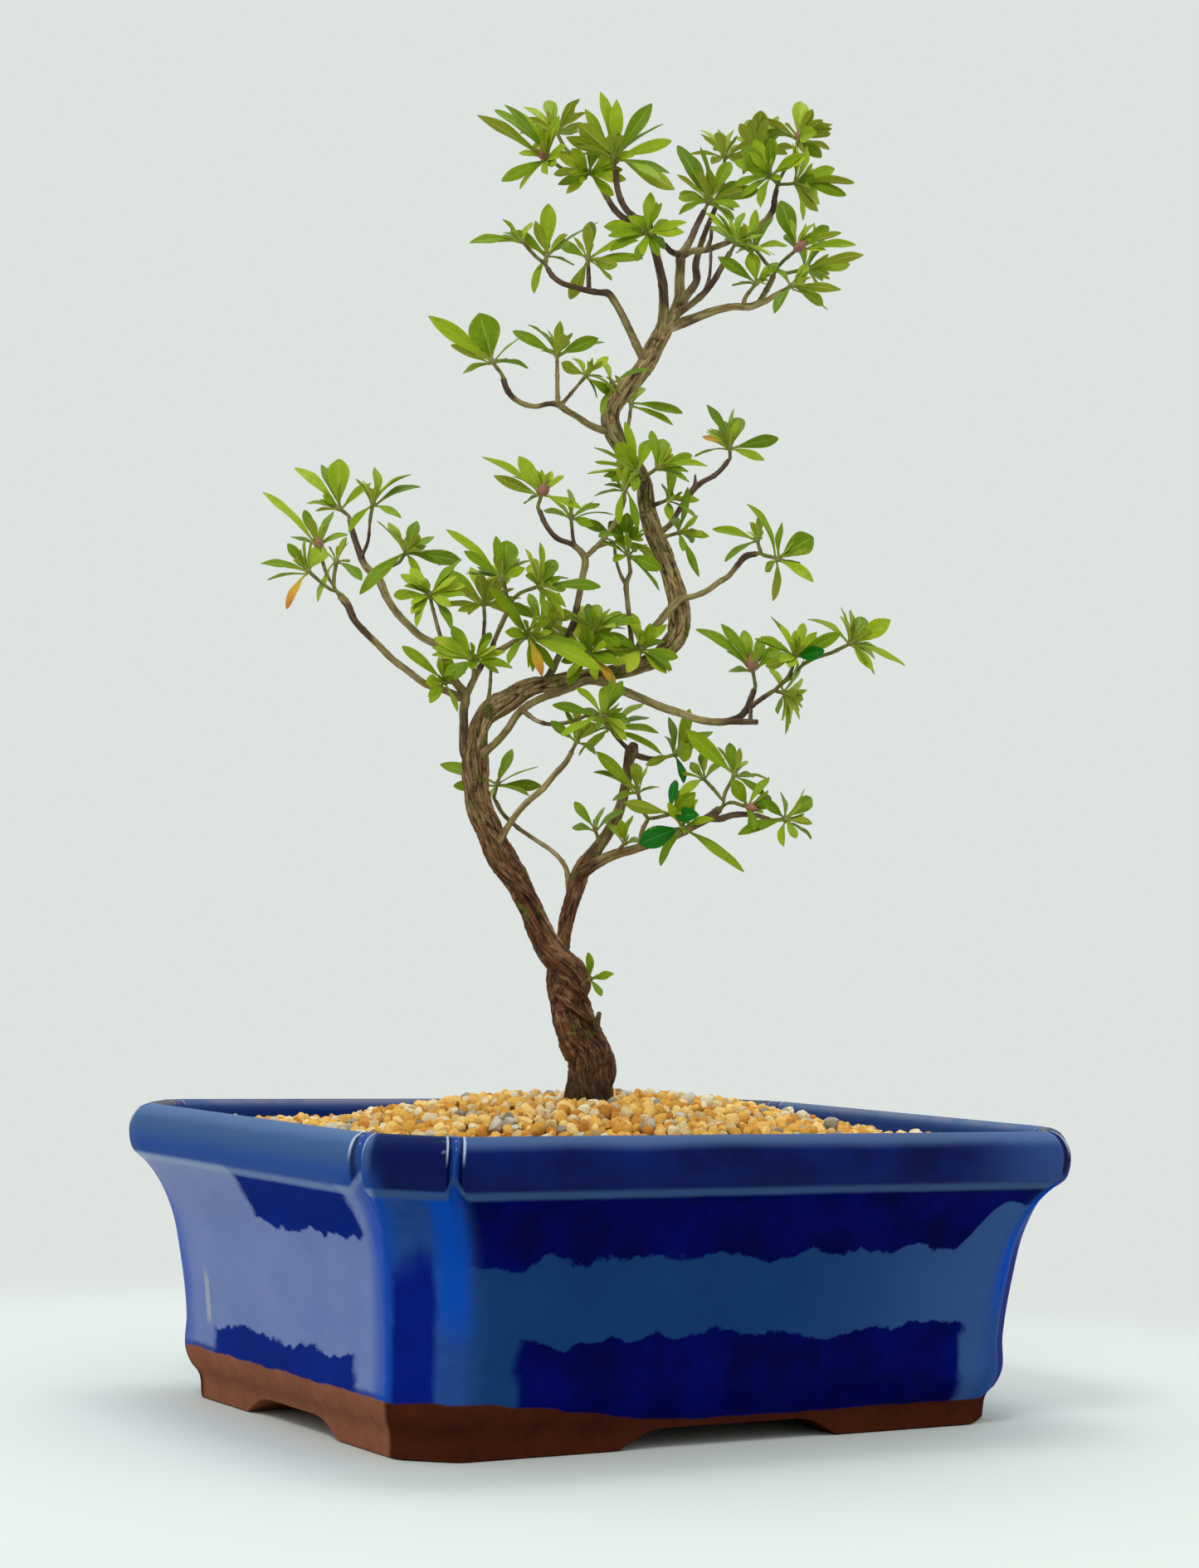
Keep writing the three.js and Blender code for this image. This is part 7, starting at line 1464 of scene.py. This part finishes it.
def grain_points(ball, seed, x, y, radius):
    """One grain: a ball that is worn flat on some sides, lumpy, and turned any way."""
    turn = Quaternion([draw(seed, 5 + k) - 0.5 for k in range(4)]).normalized()
    wide, high = between(*GRAIN_WIDTHS, draw(seed, 9)), between(*GRAIN_HEIGHTS, draw(seed, 10))
    form = Vector((1, wide, high)) * radius
    z = gravel_height(x, y) + GRAIN_RISE + (draw(seed, 11) - 0.4) * GRAIN_SCATTER
    middle = Vector((x, y, z))
    away = Vector((draw(seed, 12), draw(seed, 13), draw(seed, 14))) * 90
    sides = []
    for k in range(GRAIN_FACETS):
        side = Vector([draw(seed + k, 20 + axis) - 0.5 for axis in range(3)]).normalized()
        sides.append((side, between(*FACET_REACH, draw(seed + k, 24))))
    for p in ball:
        worn = min([1] + [reach / p.dot(side) for side, reach in sides if p.dot(side) > reach])
        lump = worn * GRAIN_SWELL * (1 + GRAIN_LUMPS * noise.noise(p * 1.6 + away))
        yield middle + turn @ (p * form * lump)


def make_grains():
    ball, faces = round_grain()
    heaps = {name: Piece() for name in GRAIN_KINDS}
    for seed, x, y, radius in grain_spots():
        kind = next(name for name, (upto, *_) in GRAIN_KINDS.items() if draw(seed, 4) <= upto)
        points = list(grain_points(ball, seed, x, y, radius))
        heaps[kind].add(points, faces, grain=[(draw(seed, 15), draw(seed, 16), 0)] * len(points))
    for name, (_, finish, tones, speck) in GRAIN_KINDS.items():
        heaps[name].make(name, [grain_finish(finish, tones, speck)], "gravel", crease=34)


# The tree


def place(point):
    """From as-seen x, z and w to the tree's own frame, whose y runs away from the eye."""
    x, z, w = point[:3]
    k = 1 - w / EYE_DISTANCE
    return Vector((x * k, -w, EYE_HEIGHT + (z - EYE_HEIGHT) * k))


def into_part(p):
    return TREE_FOOT + TREE_TURN @ p


def into_tree(p):
    return TREE_TURN.transposed() @ (p / MM - TREE_FOOT)


def frames_along(centres):
    """Each point of a line, with two ways square to the line that don't spin."""
    across = None
    for i, centre in enumerate(centres):
        along = (centres[min(len(centres) - 1, i + 1)] - centres[max(0, i - 1)]).normalized()
        if across is None:
            across = Vector((0, 1, 0)) if abs(along.y) < 0.9 else Vector((1, 0, 0))
        across = (across - along * across.dot(along)).normalized()
        yield centre, across, along.cross(across)


def cracks(angle, run, radius, seed):
    """How deep a crack lies at a place on the wood, and the noises that it comes from. The cracks are
    long lines that wind round the limb."""
    wound = angle + run * TWIST
    around = Vector((math.cos(wound), math.sin(wound), 0)) * radius

    def grain(size, shift, drift=0.0):
        wide, long = size
        return noise.noise(Vector((around.x / wide, around.y / wide, run / long + shift + drift)))

    drift = grain(DRIFT_SIZE, seed)
    lines = grain(CRACK_SIZE, seed, drift)
    hairs = grain(HAIR_SIZE, -seed)
    depth = ease(0.62, 1.0, 1 - abs(lines) * 2.6) * 0.8 + ease(0.7, 1, 1 - abs(hairs) * 2.4) * 0.3
    return depth, drift, lines


def add_wood(piece, points, seed, thickened=0):
    """A limb through the points, cracked where it is thick and ringed with nodes where it is thin."""
    rows = smooth([(*p, r) for p, r in points], WOOD_STEP)
    centres = [Vector(row[:3]) for row in rows]
    thickest = max(r for _, r in points)
    count = int(min(WOOD_SIDES[1], max(WOOD_SIDES[0], thickest * SIDES_PER_MM)))
    node_spacing = between(*NODE_SPACING, draw(seed, 41))
    verts, bark, fibre = [], [], []
    run = 0
    for i, (centre, across, third) in enumerate(frames_along(centres)):
        radius = rows[i][3]
        run += (centre - centres[max(0, i - 1)]).length
        old = ease(*WOOD_AGES, radius + thickened)
        node = max(0, math.cos(run * math.tau / node_spacing + seed)) ** 14
        for j in range(count):
            angle = math.tau * j / count
            wound = angle + run * TWIST
            depth, drift, lines = cracks(angle, run, radius, seed)
            # A limb is a little oval and three-sided, and both forms wind slowly round it
            form = 1 + 0.05 * math.sin(2 * angle + run * 0.07) + 0.035 * math.sin(3 * angle - run * 0.11)
            relief = (drift * 0.5 + lines * 0.35) * BARK_RELIEF * radius - depth * between(*CRACK_DEPTH, old)
            out = radius * (1 + (form - 1) * old) + relief * between(0.5, 1, old)
            out += node * NODE_RISE * (1 - old)
            out += ROUGH_RELIEF * noise.noise(Vector((angle * 2, run / 1.2, seed))) * radius
            lump = Vector((math.cos(wound) * 1.3, math.sin(wound) * 1.3, run / FIBRE_SHORT + seed))
            out += LUMP_RELIEF * noise.noise(lump) * radius * old
            verts.append(centre + across * math.cos(angle) * out + third * math.sin(angle) * out)
            bark.append((depth, 1 - old, 0))
            fibre.append((math.cos(wound) * radius, math.sin(wound) * radius,
                          run / FIBRE_SHORT + seed * FIBRE_APART))
    for end, other in ((0, 1), (-1, -2)):
        verts.append(centres[end] + (centres[end] - centres[other]).normalized() * rows[end][3] * END_RISE)
        bark.append((0, 1, 0))
        fibre.append((0, 0, seed))
    faces = ring_faces(len(centres), count, len(verts) - 2, len(verts) - 1)
    piece.add(verts, faces, bark=bark, fibre=fibre)


def make_wood(finish):
    wood = Piece()
    for seed, points in enumerate(WOOD.values()):
        add_wood(wood, [(place(p), p[3]) for p in points], seed)
    for seed, points in enumerate(FOLDS):
        add_wood(wood, [(place(p), p[3]) for p in points], seed + 0.5, THICK_WOOD)
    wood.make("wood", [finish], "bark", ["trunk"], into_part, crease=80)


# The leafy sprays


def spread_roots(ways, axis, bud):
    """Spreads the leaves' roots over a bud, so that no two meet and none meets the stem."""
    outs = [way.normalized() for way in ways]
    root = math.asin(ROOT_RADIUS / bud) * ROOT_CLEARANCE
    stem = math.asin(STEM_RADIUS / bud) * ROOT_CLEARANCE

    def parted(fixed, out, least):
        angle = fixed.angle(out)
        if angle >= least:
            return out
        turn = fixed.cross(out)
        if turn.length_squared < 1e-6:
            turn = Vector((0.3, 0.5, 0.7))
        return Quaternion(turn.normalized(), least - angle) @ out

    for _ in range(SPREAD_ROUNDS):
        for i in range(len(outs)):
            for j in range(i + 1, len(outs)):
                first = outs[i]
                least = (outs[i].angle(outs[j]) + 2 * root) / 2
                outs[i] = parted(outs[j], outs[i], min(least, 2 * root))
                outs[j] = parted(first, outs[j], 2 * root)
            outs[i] = parted(-axis, outs[i], root + stem)
    return outs


def seen_tip(centre, leaf, seed, attempt):
    """Where a laid-out leaf's tip lies: as deep as makes it a leaf of the usual length."""
    x, z, seen = leaf[:3]
    flat = math.hypot(x - centre.x, z - centre.z)
    target = USUAL_LEAF * grown(LEAF_SHARE, draw(seed, 11))
    missing = min(DEEPEST_LEAF, math.sqrt(max(0, target * target - flat * flat)) * DEPTH_SHARE)
    rising = z > centre.z - BELOW_BUD
    usual = -missing if (seen > 0) == rising else missing
    beyond = leaf[3] if len(leaf) > 3 else usual
    return place((x, z, -centre.y + beyond + DEPTH_SHIFTS[attempt]))


def fill_way(axis, number, seed, attempt):
    """The way that a leaf grows which fills the far side of a shoot."""
    first = Vector((0, 0, 1)).cross(axis).normalized() if abs(axis.z) < 0.9 else Vector((1, 0, 0))
    second = axis.cross(first)
    angle = number * FILL_TURN + math.tau * draw(seed, 21) + attempt * ATTEMPT_TURN
    tilt = grown(FILL_TILT, draw(seed, 22))
    way = (axis * math.cos(tilt) + first * math.cos(angle) * math.sin(tilt)
           + second * math.sin(angle) * math.sin(tilt) + Vector((0, 0, FILL_LIFT))).normalized()
    if way.dot(TO_EYE) > FILL_SHOWN:
        way -= TO_EYE * 2 * way.dot(TO_EYE)
    return way


def seen_make(base, tip, seen, seed):
    """The width of a laid-out leaf and the way its upper side faces, from the width that is seen."""
    usual = (tip - base).length * grown(WIDTH_SHARE, draw(seed, 12))
    width = max(abs(seen), min(WIDE_LEAF, max(NARROW_LEAF, usual)))
    roll = math.acos(min(1, abs(seen) / width))
    along = (tip - base).normalized()
    facing = (TO_EYE - along * TO_EYE.dot(along)).normalized()
    across = along.cross(facing)
    lift = 1 if across.z > 0 else -1
    turned = math.cos(roll) if seen > 0 else -math.cos(roll)
    return width, facing * turned + across * lift * math.sin(roll)


def corners_of(node):
    """A lookup of a packed spray's corners, in the tree's own frame."""
    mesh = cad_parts[node].data
    tree = kdtree.KDTree(len(mesh.vertices))
    for k, vertex in enumerate(mesh.vertices):
        tree.insert(into_tree(vertex.co), k)
    tree.balance()
    return tree


def settled(corners, tip_of):
    """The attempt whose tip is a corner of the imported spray, or None where that leaf was left out."""
    for attempt in range(len(DEPTH_SHIFTS)):
        if corners.find(tip_of(attempt))[2] < SAME_PLACE:
            return attempt
    return None


def add_blade(piece, base, tip, width, upper, arch, seed, tone):
    """A leaf: thin, two-sided, arched, a little cupped and wavy, with a sunk midrib."""
    along = (tip - base).normalized()
    length = (tip - base).length
    face = (upper - along * upper.dot(along)).normalized()
    side = along.cross(face)
    cup = between(*BLADE_CUP, draw(seed, 31))
    widest, blunt = between(*BLADE_WIDEST, draw(seed, 32)), between(*BLADE_BLUNT, draw(seed, 32))
    spin = (draw(seed, 33) - 0.5) * BLADE_SPIN
    phase = math.tau * draw(seed, 34)
    verts, kept = [], []
    for i in range(BLADE_STEPS):
        t = (i / (BLADE_STEPS - BLADE_END)) ** BLADE_CROWDING
        share = math.sin(math.pi * t ** widest) ** blunt
        half = max(width / 2 * share, LEAF_STALK * (1 - t))
        twist = spin * (t - 0.35)
        wide = side * math.cos(twist) + face * math.sin(twist)
        high = face * math.cos(twist) - side * math.sin(twist)
        middle = base + along * t * length + face * arch * length * 4 * t * (1 - t)
        thick = LEAF_THICK * (0.55 + 0.45 * (1 - t)) + 0.3 * (1 - t) ** 6

        def top(x):
            wave = BLADE_WAVE * half * abs(x) ** 3 * math.sin(t * 11 + phase + (x > 0) * 1.7)
            return cup * half * x * x + wave - RIB_SUNK * share * (x == 0)

        for x in BLADE_TOP:
            verts.append(middle + wide * x * half + high * top(x))
            kept.append((t, x, 0))
        for x in BLADE_BACK:
            verts.append(middle + wide * x * half + high * (top(x) - thick - RIB_RAISED * share * (x == 0)))
            kept.append((t, x, 1))
    verts += [base - along * 0.4, tip]
    kept += [(0, 0, 0), (1, 0, 0)]
    faces = ring_faces(BLADE_STEPS, len(BLADE_TOP) + len(BLADE_BACK), len(verts) - 2, len(verts) - 1)
    piece.add(verts, faces, LEAF, blade=kept, tone=[tone] * len(verts))


def add_stem(piece, stops, radii, seed):
    rows = smooth([(*p, r) for p, r in zip(stops, radii)], WOOD_STEP)
    centres = [Vector(row[:3]) for row in rows]
    verts = []
    for i, (centre, across, third) in enumerate(frames_along(centres)):
        ring = 1 + 0.16 * max(0, math.cos(i * 0.9 + seed)) ** 8
        for j in range(STEM_SIDES):
            angle = math.tau * j / STEM_SIDES
            out = rows[i][3] * ring * (1 + 0.12 * noise.noise(Vector((angle, i * 0.4, seed))))
            verts.append(centre + across * math.cos(angle) * out + third * math.sin(angle) * out)
    verts += [centres[0], centres[-1]]
    blank = [(0, 0, 0)] * len(verts)
    piece.add(verts, ring_faces(len(centres), STEM_SIDES, len(verts) - 2, len(verts) - 1), STEM,
              blade=blank, tone=blank)


def add_bud(piece, centre, axis, size, finish):
    """A pointed bud with overlapping scales."""
    axis = axis.normalized()
    first = axis.orthogonal().normalized()
    second = axis.cross(first)
    verts, kept = [], []
    for i in range(BUD_RINGS):
        t = i / (BUD_RINGS - 1)
        wide = size * math.sin(math.pi * (0.1 + 0.86 * t ** 0.8)) * 0.86
        for j in range(BUD_SIDES):
            angle = math.tau * j / BUD_SIDES
            scale = 1 + 0.1 * math.cos(3 * angle + (t * 3 // 1) * 1.1) * (1 - t * 3 % 1)
            verts.append(centre + axis * size * between(-1.0, 1.9, t)
                         + (first * math.cos(angle) + second * math.sin(angle)) * wide * scale)
            kept.append((t, 0, 0))
    verts += [centre - axis * size, centre + axis * size * 2.05]
    kept += [(0, 0, 0), (1, 0, 0)]
    piece.add(verts, ring_faces(BUD_RINGS, BUD_SIDES, len(verts) - 2, len(verts) - 1), finish,
              blade=kept, tone=[(0, 0, 0)] * len(verts))


def leaf_tone(seed, leaf=(), young=False):
    """A leaf's hue, whether it is dark and glossy, and how yellow it is with age."""
    spot = tuple(leaf[:2])
    hue = draw(seed, 51) * 0.75 + (0.25 if young else 0)
    return hue, 1 if spot in GLOSSY_LEAVES else 0, 0.9 if spot in OLD_LEAVES else 0


class Shoot:
    """A shoot at a limb's end: its leaves, its stem's stops and radii, its axis and its bud."""

    def __init__(self, route, twig, seed):
        stem, self.fill, self.leaves, self.thin = twig
        self.seed = seed
        points = WOOD[route]
        end = place(points[-1])
        way = (end - place(points[-2])).normalized()
        stops = [end + way * (SEAT + FORK_LENGTH), *(place(p) for p in stem)]
        self.axis = (stops[-1] - stops[-2]).normalized() if len(stops) > 1 else way
        self.bud = BUD_RADIUS + BUD_GROWTH * (len(self.leaves) + self.fill)
        self.centre = stops[-1] + self.axis * 2 * self.bud
        self.rise = math.sqrt(self.bud * self.bud - ROOT_RADIUS * ROOT_RADIUS)
        # The stem starts inside the limb's end
        self.stops = [end - way * 0.6, *stops, self.centre]
        self.radii = [points[-1][3] * 0.9] + [STEM_RADIUS] * (len(stops) + 1)

    def roots(self):
        """The ways in which its leaves leave the bud, those that fill the far side after the others."""
        ways = [seen_tip(self.centre, leaf, self.seed + k, 0) - self.centre
                for k, leaf in enumerate(self.leaves)]
        ways += [fill_way(self.axis, k, self.seed + FILL_SEED + k, 0) for k in range(self.fill)]
        return spread_roots(ways, self.axis, self.bud)


def add_seen_leaves(piece, shoot, outs, corners):
    """The laid-out leaves. Returns how many of them the solids leave out."""
    missing = 0
    for k, leaf in enumerate(shoot.leaves):
        own = shoot.seed + k
        attempt = settled(corners, lambda a: seen_tip(shoot.centre, leaf, own, a))
        missing += attempt is None
        base, tip = shoot.centre + outs[k] * shoot.rise, seen_tip(shoot.centre, leaf, own, attempt or 0)
        width, upper = seen_make(base, tip, leaf[2], own)
        arch = grown(LEAF_ARCH, draw(own, 13))
        add_blade(piece, base, tip, width * BLADE_WIDER, upper, arch, own, leaf_tone(own, leaf))
    return missing


def add_far_leaves(piece, shoot, outs, corners):
    for k in range(shoot.fill):
        own = shoot.seed + FILL_SEED + k
        base = shoot.centre + outs[len(shoot.leaves) + k] * shoot.rise
        length = grown(FILL_LENGTH, draw(own, 23))
        attempt = settled(corners, lambda a: base + fill_way(shoot.axis, k, own, a) * length)
        if attempt is not None:
            tip = base + fill_way(shoot.axis, k, own, attempt) * length
            upper = Vector((0.25 * (draw(own, 24) - 0.5), 0, 1)) + shoot.axis * 0.6
            width, arch = length * grown(FILL_WIDTH, draw(own, 25)), grown(FILL_ARCH, draw(own, 26))
            add_blade(piece, base, tip, width, upper, arch, own, leaf_tone(own))


def add_thin_leaves(piece, shoot):
    """The leaves that are seen edge-on."""
    for k, leaf in enumerate(shoot.thin):
        own = shoot.seed + THIN_SEED + k
        tip = seen_tip(shoot.centre, leaf, own, 0)
        base = shoot.centre + (tip - shoot.centre).normalized() * shoot.rise
        width, upper = seen_make(base, tip, leaf[2], own)
        add_blade(piece, base, tip, width, upper, THIN_ARCH, own, leaf_tone(own))


def add_young_leaves(piece, shoot, count):
    """The small leaves at the shoot's middle, upright at first and then spread wider."""
    first = shoot.axis.orthogonal().normalized()
    for k in range(count):
        own = shoot.seed + YOUNG_SEED + k
        rank = min(1.2, k / YOUNG_LEAVES)
        tilt = between(*YOUNG_TILT, rank)
        angle = k * FILL_TURN + math.tau * draw(own, 2)
        out = first * math.cos(angle) + shoot.axis.cross(first) * math.sin(angle)
        way = shoot.axis * math.cos(tilt) + out * math.sin(tilt)
        length = between(*YOUNG_LENGTH, draw(own, 3)) + YOUNG_GROWTH * rank ** 1.5
        base = shoot.centre + way * shoot.bud * 0.8
        width = length * between(*YOUNG_WIDTH, draw(own, 4))
        tone = leaf_tone(own, young=True)
        add_blade(piece, base, base + way * length, width, shoot.axis * 0.8 - out, YOUNG_ARCH, own, tone)


def add_buds(piece, shoot, ripe):
    """The shoot's own bud and, where it is ripe, two flower buds."""
    centre, axis, bud = shoot.centre, shoot.axis, shoot.bud
    first = axis.orthogonal().normalized()
    if ripe:
        add_bud(piece, centre + axis * bud, axis, bud * 1.5, FLOWER_BUD)
        add_bud(piece, centre + axis * bud * 0.6 + first * bud, axis + first * 0.5, bud, FLOWER_BUD)
    add_bud(piece, centre, axis, bud * 0.9, SHOOT_BUD)


def make_sprays(finishes):
    """The sprays. The finishes are the leaves', the stems', the shoot buds' and the flower buds'."""
    missing = 0
    for s, (name, (route, twigs)) in enumerate(SPRAYS.items()):
        spray = Piece()
        node = f"leaves_{name}"
        corners = corners_of(node)
        lush, bare = name.startswith(LUSH_SPRAYS), name.startswith(BARE_SPRAYS)
        young = YOUNG_LEAVES + LUSH_LEAVES * lush - BARE_LEAVES * bare
        for t, twig in enumerate(twigs):
            shoot = Shoot(route, twig, s * SPRAY_SEED + t * TWIG_SEED)
            outs = shoot.roots()
            add_stem(spray, shoot.stops, shoot.radii, shoot.seed)
            missing += add_seen_leaves(spray, shoot, outs, corners)
            add_far_leaves(spray, shoot, outs, corners)
            add_thin_leaves(spray, shoot)
            add_young_leaves(spray, shoot, young)
            add_buds(spray, shoot, (name, t) in RIPE_SHOOTS)
        spray.make(f"spray_{name}", finishes, "leaf", [node], into_part)
    print("leaves that the solids leave out:", missing)


# The studio


def make_floor(finish):
    mesh = bpy.data.meshes.new("floor")
    n = FLOOR_CELLS
    stops = [FLOOR_HALF * (2 * i / n - 1) for i in range(n + 1)]

    def at(i, j):
        return i * (n + 1) + j

    mesh.from_pydata([(x, y, 0) for x in stops for y in stops], [],
                     [(at(i, j), at(i + 1, j), at(i + 1, j + 1), at(i, j + 1))
                      for i in range(n) for j in range(n)])
    mesh.materials.append(finish)
    floor = bpy.data.objects.new("floor", mesh)
    bpy.context.scene.collection.objects.link(floor)


def turned_to(aim, spot):
    """The turn that makes a lamp or camera at the spot look at its aim."""
    return (Vector(spot) - Vector(aim)).to_track_quat("Z", "Y")


def soft_box(name, spot, size, watts, tint):
    lamp = bpy.data.lights.new(name, "AREA")
    lamp.shape = "RECTANGLE"
    lamp.size, lamp.size_y = size
    lamp.energy = watts
    lamp.color = tint
    box = bpy.data.objects.new(name, lamp)
    box.location = spot
    box.rotation_mode = "QUATERNION"
    box.rotation_quaternion = turned_to(LAMP_AIM, spot)
    bpy.context.scene.collection.objects.link(box)


def make_studio():
    make_floor(stage_finish())
    for name, make in LAMPS.items():
        soft_box(name, *make)
    world = bpy.data.worlds.new("pale_room")
    world.use_nodes = True
    back = world.node_tree.nodes["Background"]
    back.inputs["Color"].default_value = colour(ROOM)
    back.inputs["Strength"].default_value = 1.0
    bpy.context.scene.world = world


def make_camera():
    lens = bpy.data.cameras.new("camera")
    lens.lens = FOCAL_LENGTH
    lens.clip_end = CAMERA_REACH
    camera = bpy.data.objects.new("camera", lens)
    camera.location = CAMERA_PLACE * MM
    camera.rotation_mode = "QUATERNION"
    level = turned_to(CAMERA_AIM * MM, CAMERA_PLACE * MM)
    camera.rotation_quaternion = level @ Quaternion((0, 0, 1), CAMERA_LEAN)
    bpy.context.scene.collection.objects.link(camera)
    bpy.context.scene.camera = camera


def dress(node, finish):
    """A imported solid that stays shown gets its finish."""
    node.data.materials.clear()
    node.data.materials.append(finish)


make_camera()
make_studio()
make_pot(glaze_finish())
plastic = screen_finish()
make_screen("mesh_left", "screen_left", -1, plastic)
make_screen("mesh_right", "screen_right", 1, plastic)
dress(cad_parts["soil"], soil_finish())
make_bed(bed_finish())
make_grains()
make_wood(bark_finish())
make_sprays([leaf_finish(), shoot_finish(), bud_finish("shoot_bud", "6f6a34", "8c8a48"),
             bud_finish("flower_bud", "8a4f42", "a8735c")])
bpy.context.scene.view_settings.view_transform = "Standard"
